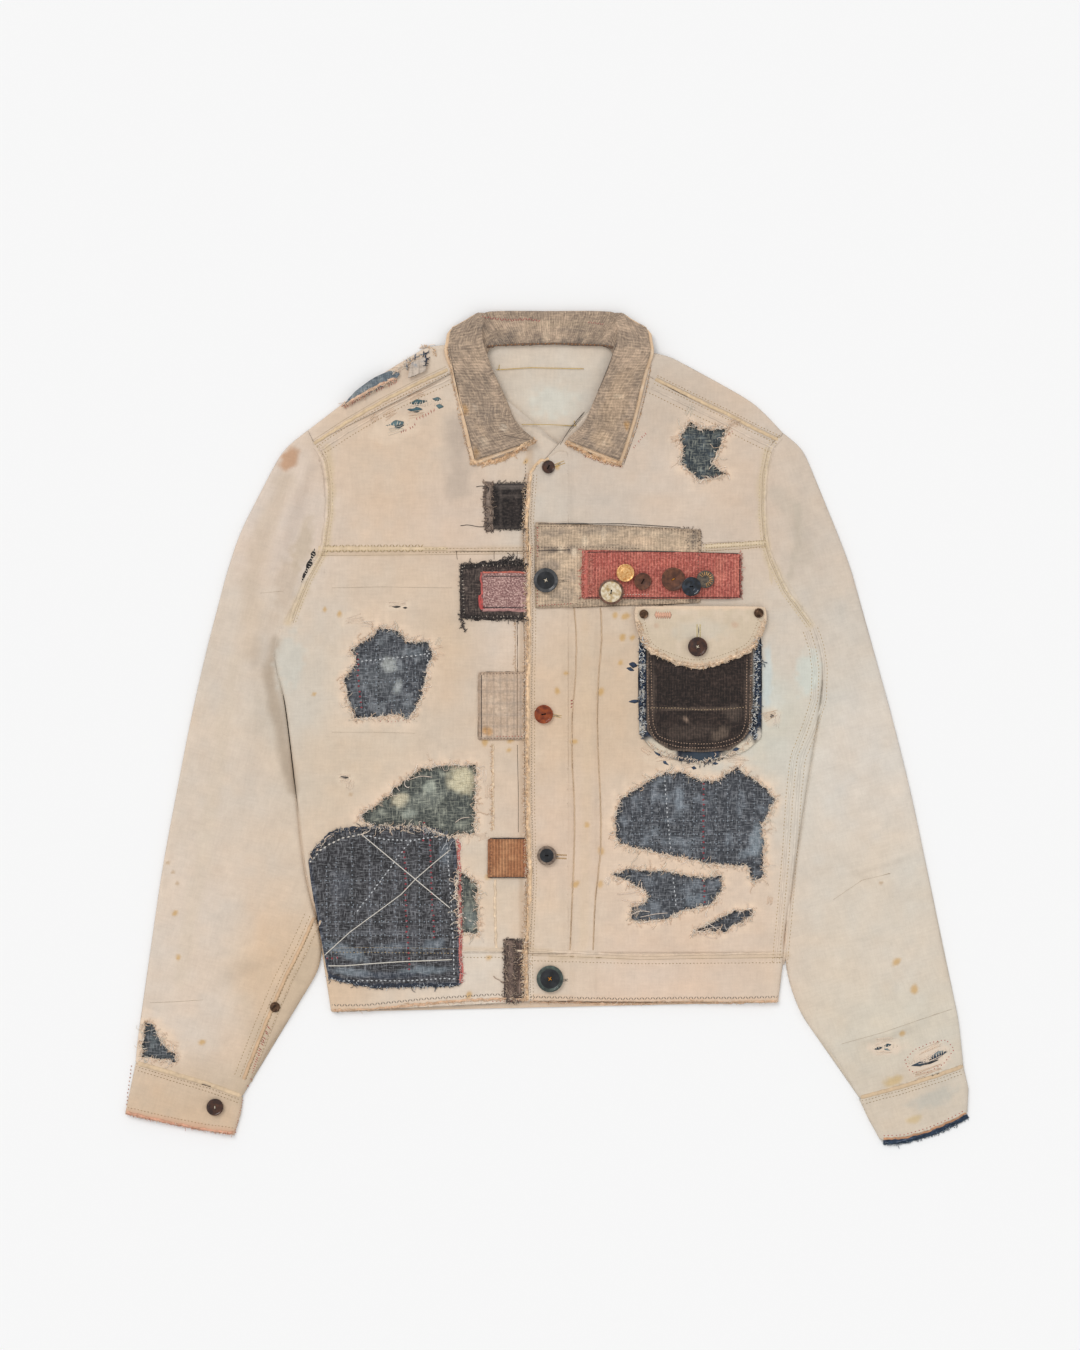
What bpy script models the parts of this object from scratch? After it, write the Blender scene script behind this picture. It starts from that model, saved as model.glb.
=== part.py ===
"""Patched boro jacket, buttoned and laid flat on its back: every cut piece, patch, button and rivet.

Metres, +Z up, +Y towards the collar. The tables below are in millimetres, with x from the
button line and y from the waistband's middle hem, and MM turns them into metres. "right" and
"left" are the wearer's, so the right half has negative x. The cloth lies in layers: the back
rests on the floor, the denim behind the holes lies on it, then come the fronts and upper
sleeves, which fold down to the floor at the sides, and then what is sewn on them.
"""

from collections import namedtuple
from math import cos, hypot, pi, sin

import bmesh
import bpy
from mathutils import Vector

MM = 0.001
CLOTH = 1.1
GAP = 0.3
LAYER = CLOTH + GAP
BACK, BACKING, FRONT, ON_FRONT, ON_LAP, ON_PLACKET = range(6)
FRONT_TOP = FRONT * LAYER + CLOTH

# Side folds: how far in, and how high, the cloth has turned from the floor to its top.
FOLD_DEPTH = 3.2
FOLD_SECTION = ((0.0, 0.05), (0.0, 0.42), (0.28, 0.84), (1.0, 1.0))
SEAM_SHIFT = 0.25
# How far the cloth below stays in from a fold, clear of the wall that comes down there.
INSET = CLOTH + GAP + 0.2
CURVE_STEPS = 2

# Rows of the sleeves, shoulder to cuff seam, across from the outer fold to the inner edge.
# The inner edge is the armhole down to the underarm row, and the body's side down to the waist.
YOKE_ROW, UNDERARM_ROW, WAIST_ROW = 3, 6, 10
Row = namedtuple("Row", "outer_x outer_y inner_x inner_y")
SLEEVE_ROWS = {
    "right": (
        Row(-231, 551, -225, 539),
        Row(-255, 530, -216, 509),
        Row(-276, 492, -215, 476),
        Row(-295, 454, -219, 436),
        Row(-308, 416, -234, 408),
        Row(-318, 378, -250, 376),
        Row(-328, 340, -263, 342),
        Row(-341, 283, -253, 290),
        Row(-356, 207, -243, 209),
        Row(-370, 131, -234, 133),
        Row(-381, 55, -218, 54),
        Row(-389, -2, -241, 5),
        Row(-393, -28, -267, -35),
        Row(-395, -50, -293, -82),
    ),
    "left": (
        Row(221, 548, 214, 539),
        Row(240, 530, 204, 504),
        Row(256, 492, 201, 473),
        Row(272, 454, 203, 446),
        Row(286, 416, 216, 415),
        Row(296, 378, 242, 379),
        Row(307, 340, 257, 337),
        Row(323, 283, 256, 290),
        Row(342, 207, 242, 201),
        Row(358, 131, 230, 119),
        Row(373, 55, 222, 54),
        Row(386, -2, 237, -2),
        Row(390, -33, 271, -48),
        Row(392, -52, 293, -84),
    ),
}
SLEEVE_COLUMNS = 6
SLEEVE_LOFT = 2.0
# Folds of each sleeve: a ridge from its start to its end, as high as given in its middle.
Fold = namedtuple("Fold", "start_x start_y end_x end_y height width")
SLEEVE_FOLDS = {
    "right": (
        Fold(-226, 532, -254, 466, 4.0, 11),
        Fold(-240, 505, -262, 418, 5.5, 13),
        Fold(-268, 400, -300, 250, 5.0, 18),
        Fold(-274, 310, -318, 150, 3.5, 17),
        Fold(-250, 70, -330, 24, 4.0, 15),
    ),
    "left": (
        Fold(222, 520, 246, 440, 4.0, 12),
        Fold(236, 440, 268, 350, 4.5, 15),
        Fold(270, 330, 300, 190, 4.5, 18),
        Fold(262, 160, 340, 110, 3.0, 15),
        Fold(274, -34, 366, 0, 4.0, 13),
    ),
}

# Cuffs, seam to lower edge, as the sleeve's rows.
CUFF_ROWS = {
    "right": (Row(-395, -51, -293, -83), Row(-400, -75, -295, -99), Row(-405, -99, -301, -119)),
    "left": (Row(392, -53, 293, -85), Row(397, -75, 302, -104), Row(396, -97, 313, -124)),
}
CUFF_COLUMNS = 4
CUFF_BOW = {"right": 1.0, "left": 5.0}

# Front edges. Each yoke row starts on the armhole and ends at the neck or the front edge.
Point = namedtuple("Point", "x y")
YOKE_ENDS = {
    "right": (
        Point(-79, 611),
        Point(-66, 585),
        Point(-48, 562),
        Point(-31, 547),
        Point(-8, 538),
        Point(12, 534),
        Point(13, 436.3),
    ),
    "left": (
        Point(74, 611),
        Point(62, 585),
        Point(46, 562),
        Point(28, 547),
        Point(9, 536),
        Point(-13, 515),
        Point(-19, 437.3),
    ),
}
FRONT_EDGE = {"right": 13, "left": -19}
LAP_END, LAP_DOWN = 17, 25
PLEAT_VALLEY, PLEAT_START, PLEAT_END, PLEAT_DOWN = 20.5, 23, 41, 45
PLEAT_TOP = 372
PLEAT_FADE = 14
FRONT_COLUMNS = 4

# Waistband and hem.
HEM = {"right": Row(-209, -2, 13, 10), "left": Row(216, 7, -21, 9)}

# Back yoke, armhole to neck on each side: the shoulder fold and the seam on the front.
YOKE_BACK_ROW = 2
Shoulder = namedtuple("Shoulder", "fold_x fold_y seam_x seam_y back_x")
SHOULDER = {
    "right": (
        Shoulder(-231, 551, -225, 539, -215),
        Shoulder(-201, 574, -196, 555, -190),
        Shoulder(-164, 602, -162, 574, -158),
        Shoulder(-140, 617, -135, 586, -130),
        Shoulder(-119, 629, -106, 600, -104),
        Shoulder(-99, 632, -79, 612, -76),
    ),
    "left": (
        Shoulder(221, 548, 214, 539, 201),
        Shoulder(194, 575, 190, 552, 180),
        Shoulder(163, 594, 158, 568, 152),
        Shoulder(137, 608, 130, 583, 126),
        Shoulder(114, 620, 101, 597, 100),
        Shoulder(94, 625, 74, 612, 74),
    ),
}
NECK_BACK = (Point(-56, 624), Point(-28, 626), Point(0, 626), Point(28, 626), Point(54, 624))
YOKE_SHARES = (0.0, 0.4, 0.74, 0.895, 1.0)
YOKE_TURN = ((1.9, 0.0), (0.3, 0.28), (0.3, 0.72), (1.9, 1.0))
# The collar's fall lies under the back yoke, which rises over it near the neck.
COLLAR_LAYER = CLOTH + 0.75
COLLAR_LIFT = CLOTH + COLLAR_LAYER + GAP
LIFT_LOW_Y, LIFT_HIGH_Y = 588, 610
LIFT_FAR_X, LIFT_NEAR_X = 128, 97

# Collar, from the end of one leaf to the middle of the back: where it is sewn on, where it
# rolls over, and its outer edge, with the heights of its outer face.
Station = namedtuple(
    "Station", "neck_x neck_y neck_z roll_x roll_y radius stand_z fall_z rise edge_x edge_y edge_z"
)
COLLAR = (
    Station(-21, 537, 5.8, -14, 541, 3.6, 5.8, 13.2, 0.0, -76, 520, 8.2),
    Station(-38, 549, 4.9, -32, 557, 3.6, 4.9, 12.4, 0.0, -83, 552, 7.6),
    Station(-55, 566, 4.4, -43, 581, 3.8, 4.4, 12.0, 0.0, -89, 580, 7.6),
    Station(-68, 590, 5.0, -54, 604, 4.2, 6.4, 13.0, 0.3, -95, 604, 9.6),
    Station(-60, 608, 7.2, -61, 624, 4.7, 10.6, 15.2, 1.2, -101, 623, 12.0),
    Station(-50, 619, 8.3, -66, 640, 6.8, 12.2, 12.8, 3.2, -100, 636, 9.6),
    Station(-43, 621, 8.3, -69, 652, 6.0, 11.0, 9.4, 3.0, -98, 645, 5.6),
    Station(-37, 622, 8.1, -65, 660, 5.0, 9.8, 4.4, 2.0, -90, 648, 1.6),
    Station(-30, 622, 8.0, -52, 664, 3.9, 8.0, 0.0, 0.0, -64, 624, 0.0),
    Station(0, 623, 8.0, 0, 664, 3.9, 8.0, 0.0, 0.0, 0, 613, 0.0),
)
COLLAR_LEFT_SCALE = 0.965
ROLL_ANGLES = (-90, -45, 0, 45, 90)
UNDER_COLLAR_SHOWS = 3.5

# Holes worn through the cloth, each backed by older denim.
HOLES = {
    "front_right": (
        (
            (-162, 364), (-142, 359), (-138, 350), (-116, 350), (-112, 339), (-118, 323),
            (-121, 301), (-135, 276), (-145, 280), (-187, 277), (-197, 313), (-185, 331),
            (-190, 342), (-169, 357),
        ),
        (
            (-184, 183), (-162, 198), (-143, 216), (-122, 230), (-96, 232), (-71, 233),
            (-73, 168), (-98, 165), (-120, 175), (-167, 175),
        ),
        ((-89, 133), (-76, 126), (-70, 121), (-70, 73), (-86, 73)),
    ),
    "yoke_left": (
        (
            (133, 559), (141, 551), (168, 553), (159, 533), (153, 520), (168, 508),
            (141, 504), (123, 520), (125, 536), (121, 542),
        ),
    ),
    "front_left": (
        (
            (176, 231), (194, 218), (214, 201), (200, 176), (203, 155), (201, 127), (191, 122),
            (186, 137), (145, 140), (91, 152), (64, 158), (59, 180), (68, 203), (85, 213),
            (103, 224), (122, 226), (142, 218), (158, 218),
        ),
        (
            (59, 129), (73, 134), (109, 132), (133, 127), (162, 127), (163, 112), (148, 99),
            (124, 94), (109, 86), (77, 84), (77, 97), (92, 106), (87, 114),
        ),
        ((135, 75), (151, 83), (171, 93), (191, 96), (192, 90), (166, 75)),
    ),
    "sleeve_right_upper": (
        ((-386, -12), (-378, -14), (-369, -33), (-357, -42), (-357, -49), (-388, -44)),
    ),
}

# Colour, roughness and metallic value of each finish.
FINISHES = {
    "ecru denim": ((0.70, 0.60, 0.47), 0.9, 0.0),
    "ribbed grey cloth": ((0.30, 0.25, 0.20), 0.9, 0.0),
    "coral corduroy": ((0.55, 0.17, 0.13), 0.85, 0.0),
    "brown corduroy": ((0.050, 0.033, 0.026), 0.9, 0.0),
    "tan corduroy": ((0.34, 0.17, 0.09), 0.85, 0.0),
    "indigo denim": ((0.050, 0.070, 0.11), 0.9, 0.0),
    "green denim": ((0.085, 0.11, 0.10), 0.9, 0.0),
    "black plaid": ((0.025, 0.020, 0.020), 0.9, 0.0),
    "mauve cloth": ((0.30, 0.14, 0.17), 0.85, 0.0),
    "faded check": ((0.52, 0.44, 0.36), 0.9, 0.0),
    "black button": ((0.010, 0.011, 0.012), 0.25, 0.0),
    "brown button": ((0.10, 0.030, 0.014), 0.3, 0.0),
    "shell button": ((0.62, 0.52, 0.38), 0.25, 0.0),
    "brass": ((0.55, 0.36, 0.12), 0.35, 1.0),
    "aged copper": ((0.12, 0.075, 0.05), 0.5, 1.0),
}

# Flat pieces: finish, layer and outline.
PLATES = {
    "backing_chest_right": (
        "indigo denim",
        BACKING,
        ((-206, 268), (-103, 268), (-103, 372), (-206, 372)),
    ),
    "backing_side_right": ("green denim", BACKING, ((-192, 66), (-62, 66), (-62, 242), (-192, 242))),
    "backing_yoke_left": ("green denim", BACKING, ((113, 495), (178, 495), (178, 567), (113, 567))),
    "backing_front_left": ("indigo denim", BACKING, ((51, 66), (213, 66), (222, 238), (51, 238))),
    "backing_sleeve_right": (
        "indigo denim",
        BACKING,
        ((-389, -48), (-346, -60), (-346, -6), (-387, -6)),
    ),
    "cuff_left_lining": (
        "indigo denim",
        BACKING,
        (
            (300, -90), (390, -62), (392, -84), (393.5, -99), (388, -105), (351, -120),
            (322, -128), (317, -127),
        ),
    ),
    "placket": (
        "ecru denim",
        ON_LAP,
        ((-21, 54.2), (16, 54.2), (16, 530), (8, 531), (-10, 520), (-21, 507)),
    ),
    "patch_plaid": ("black plaid", ON_FRONT, ((-60, 457), (-20.5, 457), (-20.5, 500), (-60, 500))),
    "patch_black": ("black plaid", ON_FRONT, ((-86, 372), (-20.5, 372), (-20.5, 423), (-86, 423))),
    "patch_mauve": ("mauve cloth", ON_LAP, ((-66, 380), (-22, 380), (-22, 416), (-66, 416))),
    "patch_check": ("faded check", ON_FRONT, ((-69, 257), (-20.5, 257), (-20.5, 321), (-69, 321))),
    "patch_tan": ("tan corduroy", ON_FRONT, ((-60, 126), (-20.5, 126), (-20.5, 163), (-60, 163))),
    "patch_dark": ("brown corduroy", ON_FRONT, ((-44, 11), (-26, 11), (-26, 66), (-44, 66))),
    "patch_sashiko": (
        "indigo denim",
        ON_FRONT,
        (
            (-211, 31), (-182, 24), (-157, 22), (-120, 23), (-85, 24), (-87, 86), (-91, 162),
            (-98, 166), (-120, 174), (-167, 174), (-204, 172), (-219, 160), (-231, 141),
        ),
    ),
    "patch_coral": ("coral corduroy", ON_LAP, ((31, 391), (180, 391), (180, 433), (31, 437))),
    "pocket_underlay": (
        "indigo denim",
        ON_FRONT,
        ((84, 262), (100, 245), (124, 237), (153, 237), (184, 245), (199, 258), (199, 359), (84, 359)),
    ),
    "pocket": (
        "brown corduroy",
        ON_LAP,
        (
            (91, 266), (100, 255), (113, 247), (142, 245), (170, 247), (182, 256), (191, 270),
            (191, 366), (91, 366),
        ),
    ),
    "pocket_flap": (
        "ecru denim",
        ON_PLACKET,
        (
            (80, 383), (80, 366), (91, 342), (119, 329), (139, 326), (156, 329), (180, 336),
            (196, 347), (204, 368), (204, 383),
        ),
    ),
    "patch_shoulder_indigo": (
        "indigo denim",
        ON_FRONT,
        ((-189, 574), (-178, 578), (-147, 597), (-142, 604), (-150, 603), (-165, 593)),
    ),
    "patch_shoulder_stripe": (
        "faded check",
        ON_LAP,
        ((-136, 600), (-119, 607), (-117, 621), (-133, 614)),
    ),
}

RIBBED_PATCH = (Row(-15, 463, 142, 456), Row(-15, 381.5, 142, 387))

Button = namedtuple("Button", "finish x y radius height layer")
BUTTONS = {
    "button_neck": Button("brown button", -3, 515, 6.2, 3.0, ON_PLACKET),
    "button_chest": Button("black button", -5, 408, 11.6, 3.6, ON_PLACKET + 1),
    "button_middle": Button("brown button", -7, 281, 8.6, 3.2, ON_PLACKET),
    "button_belly": Button("aged copper", -4, 147, 9.2, 3.4, ON_PLACKET),
    "button_hem": Button("black button", -1, 30, 12.7, 3.8, ON_LAP),
    "button_pocket": Button("brown button", 139, 345, 9.2, 3.4, ON_PLACKET + 1),
    "button_cuff_right": Button("brown button", -319, -92, 8.0, 3.4, ON_FRONT),
    "button_shell": Button("shell button", 57, 397, 12.0, 4.0, ON_PLACKET),
    "button_gold": Button("brass", 70.5, 415, 8.0, 3.4, ON_PLACKET + 1),
    "button_horn_small": Button("brown button", 87, 407, 7.6, 3.0, ON_PLACKET),
    "button_horn_large": Button("brown button", 116, 409, 10.9, 3.2, ON_PLACKET),
    "button_navy": Button("black button", 133, 402, 9.1, 3.4, ON_PLACKET + 2),
    "button_brass": Button("brass", 146.5, 409, 8.0, 3.0, ON_PLACKET),
    "rivet_flap_right": Button("aged copper", 88, 376, 4.3, 1.6, ON_PLACKET + 1),
    "rivet_flap_left": Button("aged copper", 197, 377, 4.6, 1.6, ON_PLACKET + 1),
    "rivet_sleeve_right": Button("aged copper", -262, 3, 4.8, 1.6, ON_FRONT + 0.6),
}
# Turned section of a button, axis to rim, as shares of its radius and height.
BUTTON_SECTION = ((0.0, 0.72), (0.58, 0.76), (0.82, 1.0), (1.0, 0.55), (0.8, 0.0), (0.0, 0.0))
BUTTON_SIDES = 14


def smooth(points, steps=CURVE_STEPS):
    """Points on a curve through the given ones, with `steps` spans between each pair."""
    ends = [points[0], *points, points[-1]]
    curve = []
    for before, start, end, after in zip(ends, ends[1:], ends[2:], ends[3:]):
        for step in range(steps):
            t = step / steps
            weights = (
                (2 - t) * t * t - t,
                (3 * t - 5) * t * t + 2,
                ((4 - 3 * t) * t + 1) * t,
                (t - 1) * t * t,
            )
            near = zip(before, start, end, after)
            curve.append(tuple(sum(w * c for w, c in zip(weights, four)) / 2 for four in near))
    curve.append(tuple(points[-1]))
    return curve


def mix(start, end, share):
    """The value or point a share of the way between two."""
    if isinstance(start, (int, float)):
        return start + (end - start) * share
    return tuple(a + (b - a) * share for a, b in zip(start, end))


def ramp(value, low, high):
    """0 at low and beyond it, 1 at high and beyond it, straight between."""
    return min(1.0, max(0.0, (value - low) / (high - low)))


def finish(name):
    """The material of a finish, made once."""
    if name in bpy.data.materials:
        return bpy.data.materials[name]
    colour, roughness, metallic = FINISHES[name]
    material = bpy.data.materials.new(name)
    material.use_nodes = True
    shader = material.node_tree.nodes["Principled BSDF"]
    shader.inputs["Base Color"].default_value = (*colour, 1.0)
    shader.inputs["Roughness"].default_value = roughness
    shader.inputs["Metallic"].default_value = metallic
    material.diffuse_color = (*colour, 1.0)
    return material


def add_object(name, data, finish_name):
    """Put a piece in the jacket's collection, under its empty."""
    piece = bpy.data.objects.new(name, data)
    piece.data.materials.append(finish(finish_name))
    piece.parent = bpy.data.objects["jacket"]
    bpy.data.collections["patched jacket"].objects.link(piece)
    return piece


def add_sheet(name, finish_name, rows, outside_up=True, keep=None):
    """A cloth piece from rows of points on its outer face, with its wall going inwards."""
    row_count, column_count = len(rows), len(rows[0])
    mesh = bpy.data.meshes.new(name)
    grid = bmesh.new()
    bmesh.ops.create_grid(grid, x_segments=column_count - 1, y_segments=row_count - 1, size=0.5)
    for vert in list(grid.verts):
        column = round((vert.co.x + 0.5) * (column_count - 1))
        row = round((vert.co.y + 0.5) * (row_count - 1))
        vert.co = Vector(rows[row][column]) * MM
        if keep and not keep(row, column):
            grid.verts.remove(vert)
    grid.normal_update()
    up = sum(face.normal.z * face.calc_area() for face in grid.faces)
    if (up > 0) != outside_up:
        bmesh.ops.reverse_faces(grid, faces=grid.faces)
    bmesh.ops.triangulate(grid, faces=grid.faces, quad_method="FIXED")
    grid.to_mesh(mesh)
    grid.free()
    piece = add_object(name, mesh, finish_name)
    wall = piece.modifiers.new("wall", "SOLIDIFY")
    wall.thickness = CLOTH * MM
    wall.offset = -1
    return piece


def add_plate(name, finish_name, layer, outline):
    """A flat piece of cloth of the given outline, on its layer."""
    curve = bpy.data.curves.new(name, "CURVE")
    curve.dimensions = "2D"
    curve.fill_mode = "BOTH"
    curve.extrude = CLOTH * MM / 2
    spline = curve.splines.new("POLY")
    spline.points.add(len(outline) - 1)
    for point, (x, y) in zip(spline.points, outline):
        point.co = (x * MM, y * MM, 0, 1)
    spline.use_cyclic_u = True
    piece = add_object(name, curve, finish_name)
    piece.location.z = (layer * LAYER + CLOTH / 2) * MM
    return piece


def add_button(name, button):
    """A turned button or rivet lying on its layer."""
    mesh = bpy.data.meshes.new(name)
    profile = bmesh.new()
    verts = [
        profile.verts.new((across * button.radius * MM, 0, up * button.height * MM))
        for across, up in BUTTON_SECTION
    ]
    for start, end in zip(verts, verts[1:]):
        profile.edges.new((start, end))
    profile.to_mesh(mesh)
    profile.free()
    piece = add_object(name, mesh, button.finish)
    piece.location = Vector((button.x, button.y, button.layer * LAYER)) * MM
    turn = piece.modifiers.new("turn", "SCREW")
    turn.steps = turn.render_steps = BUTTON_SIDES
    turn.use_merge_vertices = True
    turn.merge_threshold = 0.00001
    return piece


def cut_holes(piece, outlines):
    """Cut worn holes of the given outlines through a piece."""
    for number, outline in enumerate(outlines):
        curve = bpy.data.curves.new("hole", "CURVE")
        curve.dimensions = "2D"
        curve.fill_mode = "BOTH"
        curve.extrude = 20 * MM
        spline = curve.splines.new("POLY")
        spline.points.add(len(outline) - 1)
        for point, (x, y) in zip(spline.points, outline):
            point.co = (x * MM, y * MM, 0, 1)
        spline.use_cyclic_u = True
        shape = bpy.data.objects.new("hole shape", curve)
        bpy.context.scene.collection.objects.link(shape)
        bpy.context.view_layer.update()
        graph = bpy.context.evaluated_depsgraph_get()
        mesh = bpy.data.meshes.new_from_object(shape.evaluated_get(graph))
        bpy.data.objects.remove(shape)
        welded = bmesh.new()
        welded.from_mesh(mesh)
        bmesh.ops.remove_doubles(welded, verts=welded.verts, dist=0.00001)
        bmesh.ops.recalc_face_normals(welded, faces=welded.faces)
        welded.to_mesh(mesh)
        welded.free()
        cutter = bpy.data.objects.new(f"cutter_{piece.name}_{number}", mesh)
        cutter.hide_render = True
        cutter.display_type = "WIRE"
        cutter.parent = bpy.data.objects["jacket"]
        bpy.data.collections["hole cutters"].objects.link(cutter)
        cut = piece.modifiers.new("hole", "BOOLEAN")
        cut.operation = "DIFFERENCE"
        cut.solver = "EXACT"
        cut.object = cutter


def seam(side):
    """The sleeve's inner edge, which the body shares down to the waist."""
    return smooth([(row.inner_x, row.inner_y) for row in SLEEVE_ROWS[side]])


def outer_fold(side):
    """The sleeve's outer fold."""
    return smooth([(row.outer_x, row.outer_y) for row in SLEEVE_ROWS[side]])


def side_fold(index):
    """How far the cloth folds down to the floor at a point of the seam: not at all in the armhole."""
    return ramp(index, UNDERARM_ROW * CURVE_STEPS, (UNDERARM_ROW + 1) * CURVE_STEPS)


def shifted(point, side, shift):
    """A point moved across the seam, outwards when the shift is positive."""
    return (point[0] + (shift if side == "left" else -shift), point[1])


def fold_columns(edge, towards, amount, top):
    """Points from a folded or cut edge up to the top of the cloth, ready for a row."""
    length = hypot(towards[0] - edge[0], towards[1] - edge[1])
    points = []
    for number, (depth, height) in enumerate(FOLD_SECTION):
        flat_depth = number / (len(FOLD_SECTION) - 1)
        share = mix(flat_depth, depth, amount) * FOLD_DEPTH / length
        x, y = mix(edge, towards, share)
        points.append((x, y, mix(1.0, height, amount) * top))
    return points


def fold_height(side, x, y):
    """Height of the sleeve's folds over its plain form."""
    total = 0.0
    for fold in SLEEVE_FOLDS[side]:
        along = Vector((fold.end_x - fold.start_x, fold.end_y - fold.start_y))
        away = Vector((x - fold.start_x, y - fold.start_y))
        share = away.dot(along) / along.length_squared
        if 0 < share < 1:
            beside = (away - share * along).length / fold.width
            total += fold.height * sin(pi * share) * max(0.0, 1 - beside * beside) ** 2
    return total


def add_sleeve(side):
    """Upper sleeve with its folds, and the flat sleeve under it."""
    outer, inner = outer_fold(side), seam(side)
    rows = []
    for index, (out, into) in enumerate(zip(outer, inner)):
        out = shifted(out, side, SEAM_SHIFT) if index == 0 else out
        into = shifted(into, side, SEAM_SHIFT)
        left = fold_columns(out, into, 1.0, FRONT_TOP)
        right = fold_columns(into, out, side_fold(index), FRONT_TOP)
        middle = []
        for column in range(1, SLEEVE_COLUMNS + 1):
            share = column / (SLEEVE_COLUMNS + 1)
            x, y = mix(left[-1][:2], right[-1][:2], share)
            length = min(1.0, index / (2 * CURVE_STEPS), (len(outer) - 1 - index) / CURVE_STEPS)
            folds = fold_height(side, x, y) * min(1, 3 * share, 3 - 3 * share)
            loft = SLEEVE_LOFT * sin(pi * share) + folds
            middle.append((x, y, FRONT_TOP + loft * length))
        rows.append(left + middle + right[::-1])
    upper = add_sheet(f"sleeve_{side}_upper", "ecru denim", rows)
    cut_holes(upper, HOLES.get(upper.name, ()))

    out_line = [
        mix(out, into, INSET / hypot(out[0] - into[0], out[1] - into[1]))
        for out, into in zip(outer, inner)
    ]
    in_line = [
        shifted(into, side, mix(SEAM_SHIFT, INSET + SEAM_SHIFT, side_fold(index + CURVE_STEPS)))
        for index, into in enumerate(inner)
    ]
    out_line[0] = shifted(out_line[0], side, SEAM_SHIFT)
    add_plate(f"sleeve_{side}_under", "ecru denim", BACK, out_line + in_line[::-1])


def add_cuff(side):
    """Cuff: the layer that shows and the layer under it."""
    table = smooth(CUFF_ROWS[side], 1)
    rows = []
    for number, row in enumerate(table):
        out, into = row[:2], row[2:]
        left = fold_columns(out, into, 1.0, FRONT_TOP)
        right = fold_columns(into, out, 1.0, FRONT_TOP)
        middle = [mix(left[-1], right[-1], (n + 1) / (CUFF_COLUMNS + 1)) for n in range(CUFF_COLUMNS)]
        bow = CUFF_BOW[side] * number / (len(table) - 1)
        span = hypot(out[0] - into[0], out[1] - into[1])
        rows.append([
            (x, y - bow * sin(pi * hypot(x - out[0], y - out[1]) / span), z)
            for x, y, z in left + middle + right[::-1]
        ])
    add_sheet(f"cuff_{side}_upper", "ecru denim", rows)
    out_line, in_line = [], []
    for row in table:
        out, into = row[:2], row[2:]
        share = INSET / hypot(out[0] - into[0], out[1] - into[1])
        out_line.append(mix(out, into, share))
        in_line.append(mix(into, out, share))
    add_plate(f"cuff_{side}_under", "ecru denim", BACK, out_line + in_line[::-1])


def lift(x, y):
    """How far the cloth near the neck rises over the collar's fall."""
    return COLLAR_LIFT * ramp(y, LIFT_LOW_Y, LIFT_HIGH_Y) * ramp(-abs(x), -LIFT_FAR_X, -LIFT_NEAR_X)


def left_front_height(x, y):
    """Top of the left front: over the right front's lap, then down, with the pleat beside it."""
    lap = 1 - ramp(x, LAP_END, PLEAT_VALLEY)
    pleat = ramp(x, PLEAT_VALLEY, PLEAT_START) * (1 - ramp(x, PLEAT_END, PLEAT_DOWN))
    pleat *= 1 - ramp(y, PLEAT_TOP - PLEAT_FADE, PLEAT_TOP)
    return FRONT_TOP + LAYER * max(lap, pleat)


def front_row(side, edge, end, amount):
    """One row of a front or yoke, from its side fold or armhole to its front or neck edge."""
    fold = fold_columns(edge, end, amount, FRONT_TOP)
    start = fold[-1]
    if side == "left":
        breaks = (PLEAT_DOWN, PLEAT_END, PLEAT_START, PLEAT_VALLEY, LAP_END)
        points, last = [], start
        near = max(end[0] + 6, PLEAT_DOWN + 0.1)
        stops = [mix(start[0], near, n / FRONT_COLUMNS) for n in range(1, FRONT_COLUMNS)]
        for number, stop in enumerate((*stops, *breaks)):
            stop = max(stop, end[0] + 0.8 * (FRONT_COLUMNS - 1 + len(breaks) - number))
            share = (stop - start[0]) / (end[0] - start[0])
            points.append(mix(start[:2], end, share))
        points.append(tuple(end))
        row = [(x, y, left_front_height(x, y) + lift(x, y)) for x, y in points]
    else:
        points = [mix(start[:2], end, n / (FRONT_COLUMNS + 1)) for n in range(1, FRONT_COLUMNS + 2)]
        row = [(x, y, FRONT_TOP + lift(x, y)) for x, y in points]
    return fold + row


def add_fronts(side):
    """Front yoke, front and waistband of one side."""
    edges = [shifted(point, side, -SEAM_SHIFT) for point in seam(side)]
    yoke_end, waist = YOKE_ROW * CURVE_STEPS, WAIST_ROW * CURVE_STEPS

    rows = []
    for index, end in enumerate(YOKE_ENDS[side]):
        edge = edges[index]
        if index == 0:
            edge, end = (edge[0], edge[1] - GAP), (end[0], end[1] - GAP)
        if index == yoke_end:
            edge = (edge[0], edge[1] + GAP / 2)
        rows.append(front_row(side, edge, end, 0.0))
    yoke = add_sheet(f"yoke_{side}", "ecru denim", rows)
    cut_holes(yoke, HOLES.get(yoke.name, ()))

    rows = []
    top = YOKE_ENDS[side][-1][1] - GAP
    for index in range(yoke_end, waist + 1):
        edge = edges[index]
        y = edge[1]
        if index == yoke_end:
            edge, y = (edge[0], edge[1] - GAP / 2), top
        if index == waist:
            edge, y = (edge[0], edge[1] + GAP / 2), edge[1] + GAP / 2
        rows.append(front_row(side, edge, (FRONT_EDGE[side], y), side_fold(index)))
    front = add_sheet(f"front_{side}", "ecru denim", rows)
    cut_holes(front, HOLES.get(front.name, ()))

    hem = HEM[side]
    start, end = edges[waist], (hem.outer_x, hem.outer_y)
    rows = [
        front_row(side, (start[0], start[1] - GAP / 2), (hem.inner_x, start[1] - GAP / 2), 1.0),
        front_row(side, mix(start, end, 0.5), (hem.inner_x, mix(start[1], hem.inner_y, 0.5)), 1.0),
        front_row(side, end, (hem.inner_x, hem.inner_y), 1.0),
    ]
    add_sheet(f"waistband_{side}", "ecru denim", rows)


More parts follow.
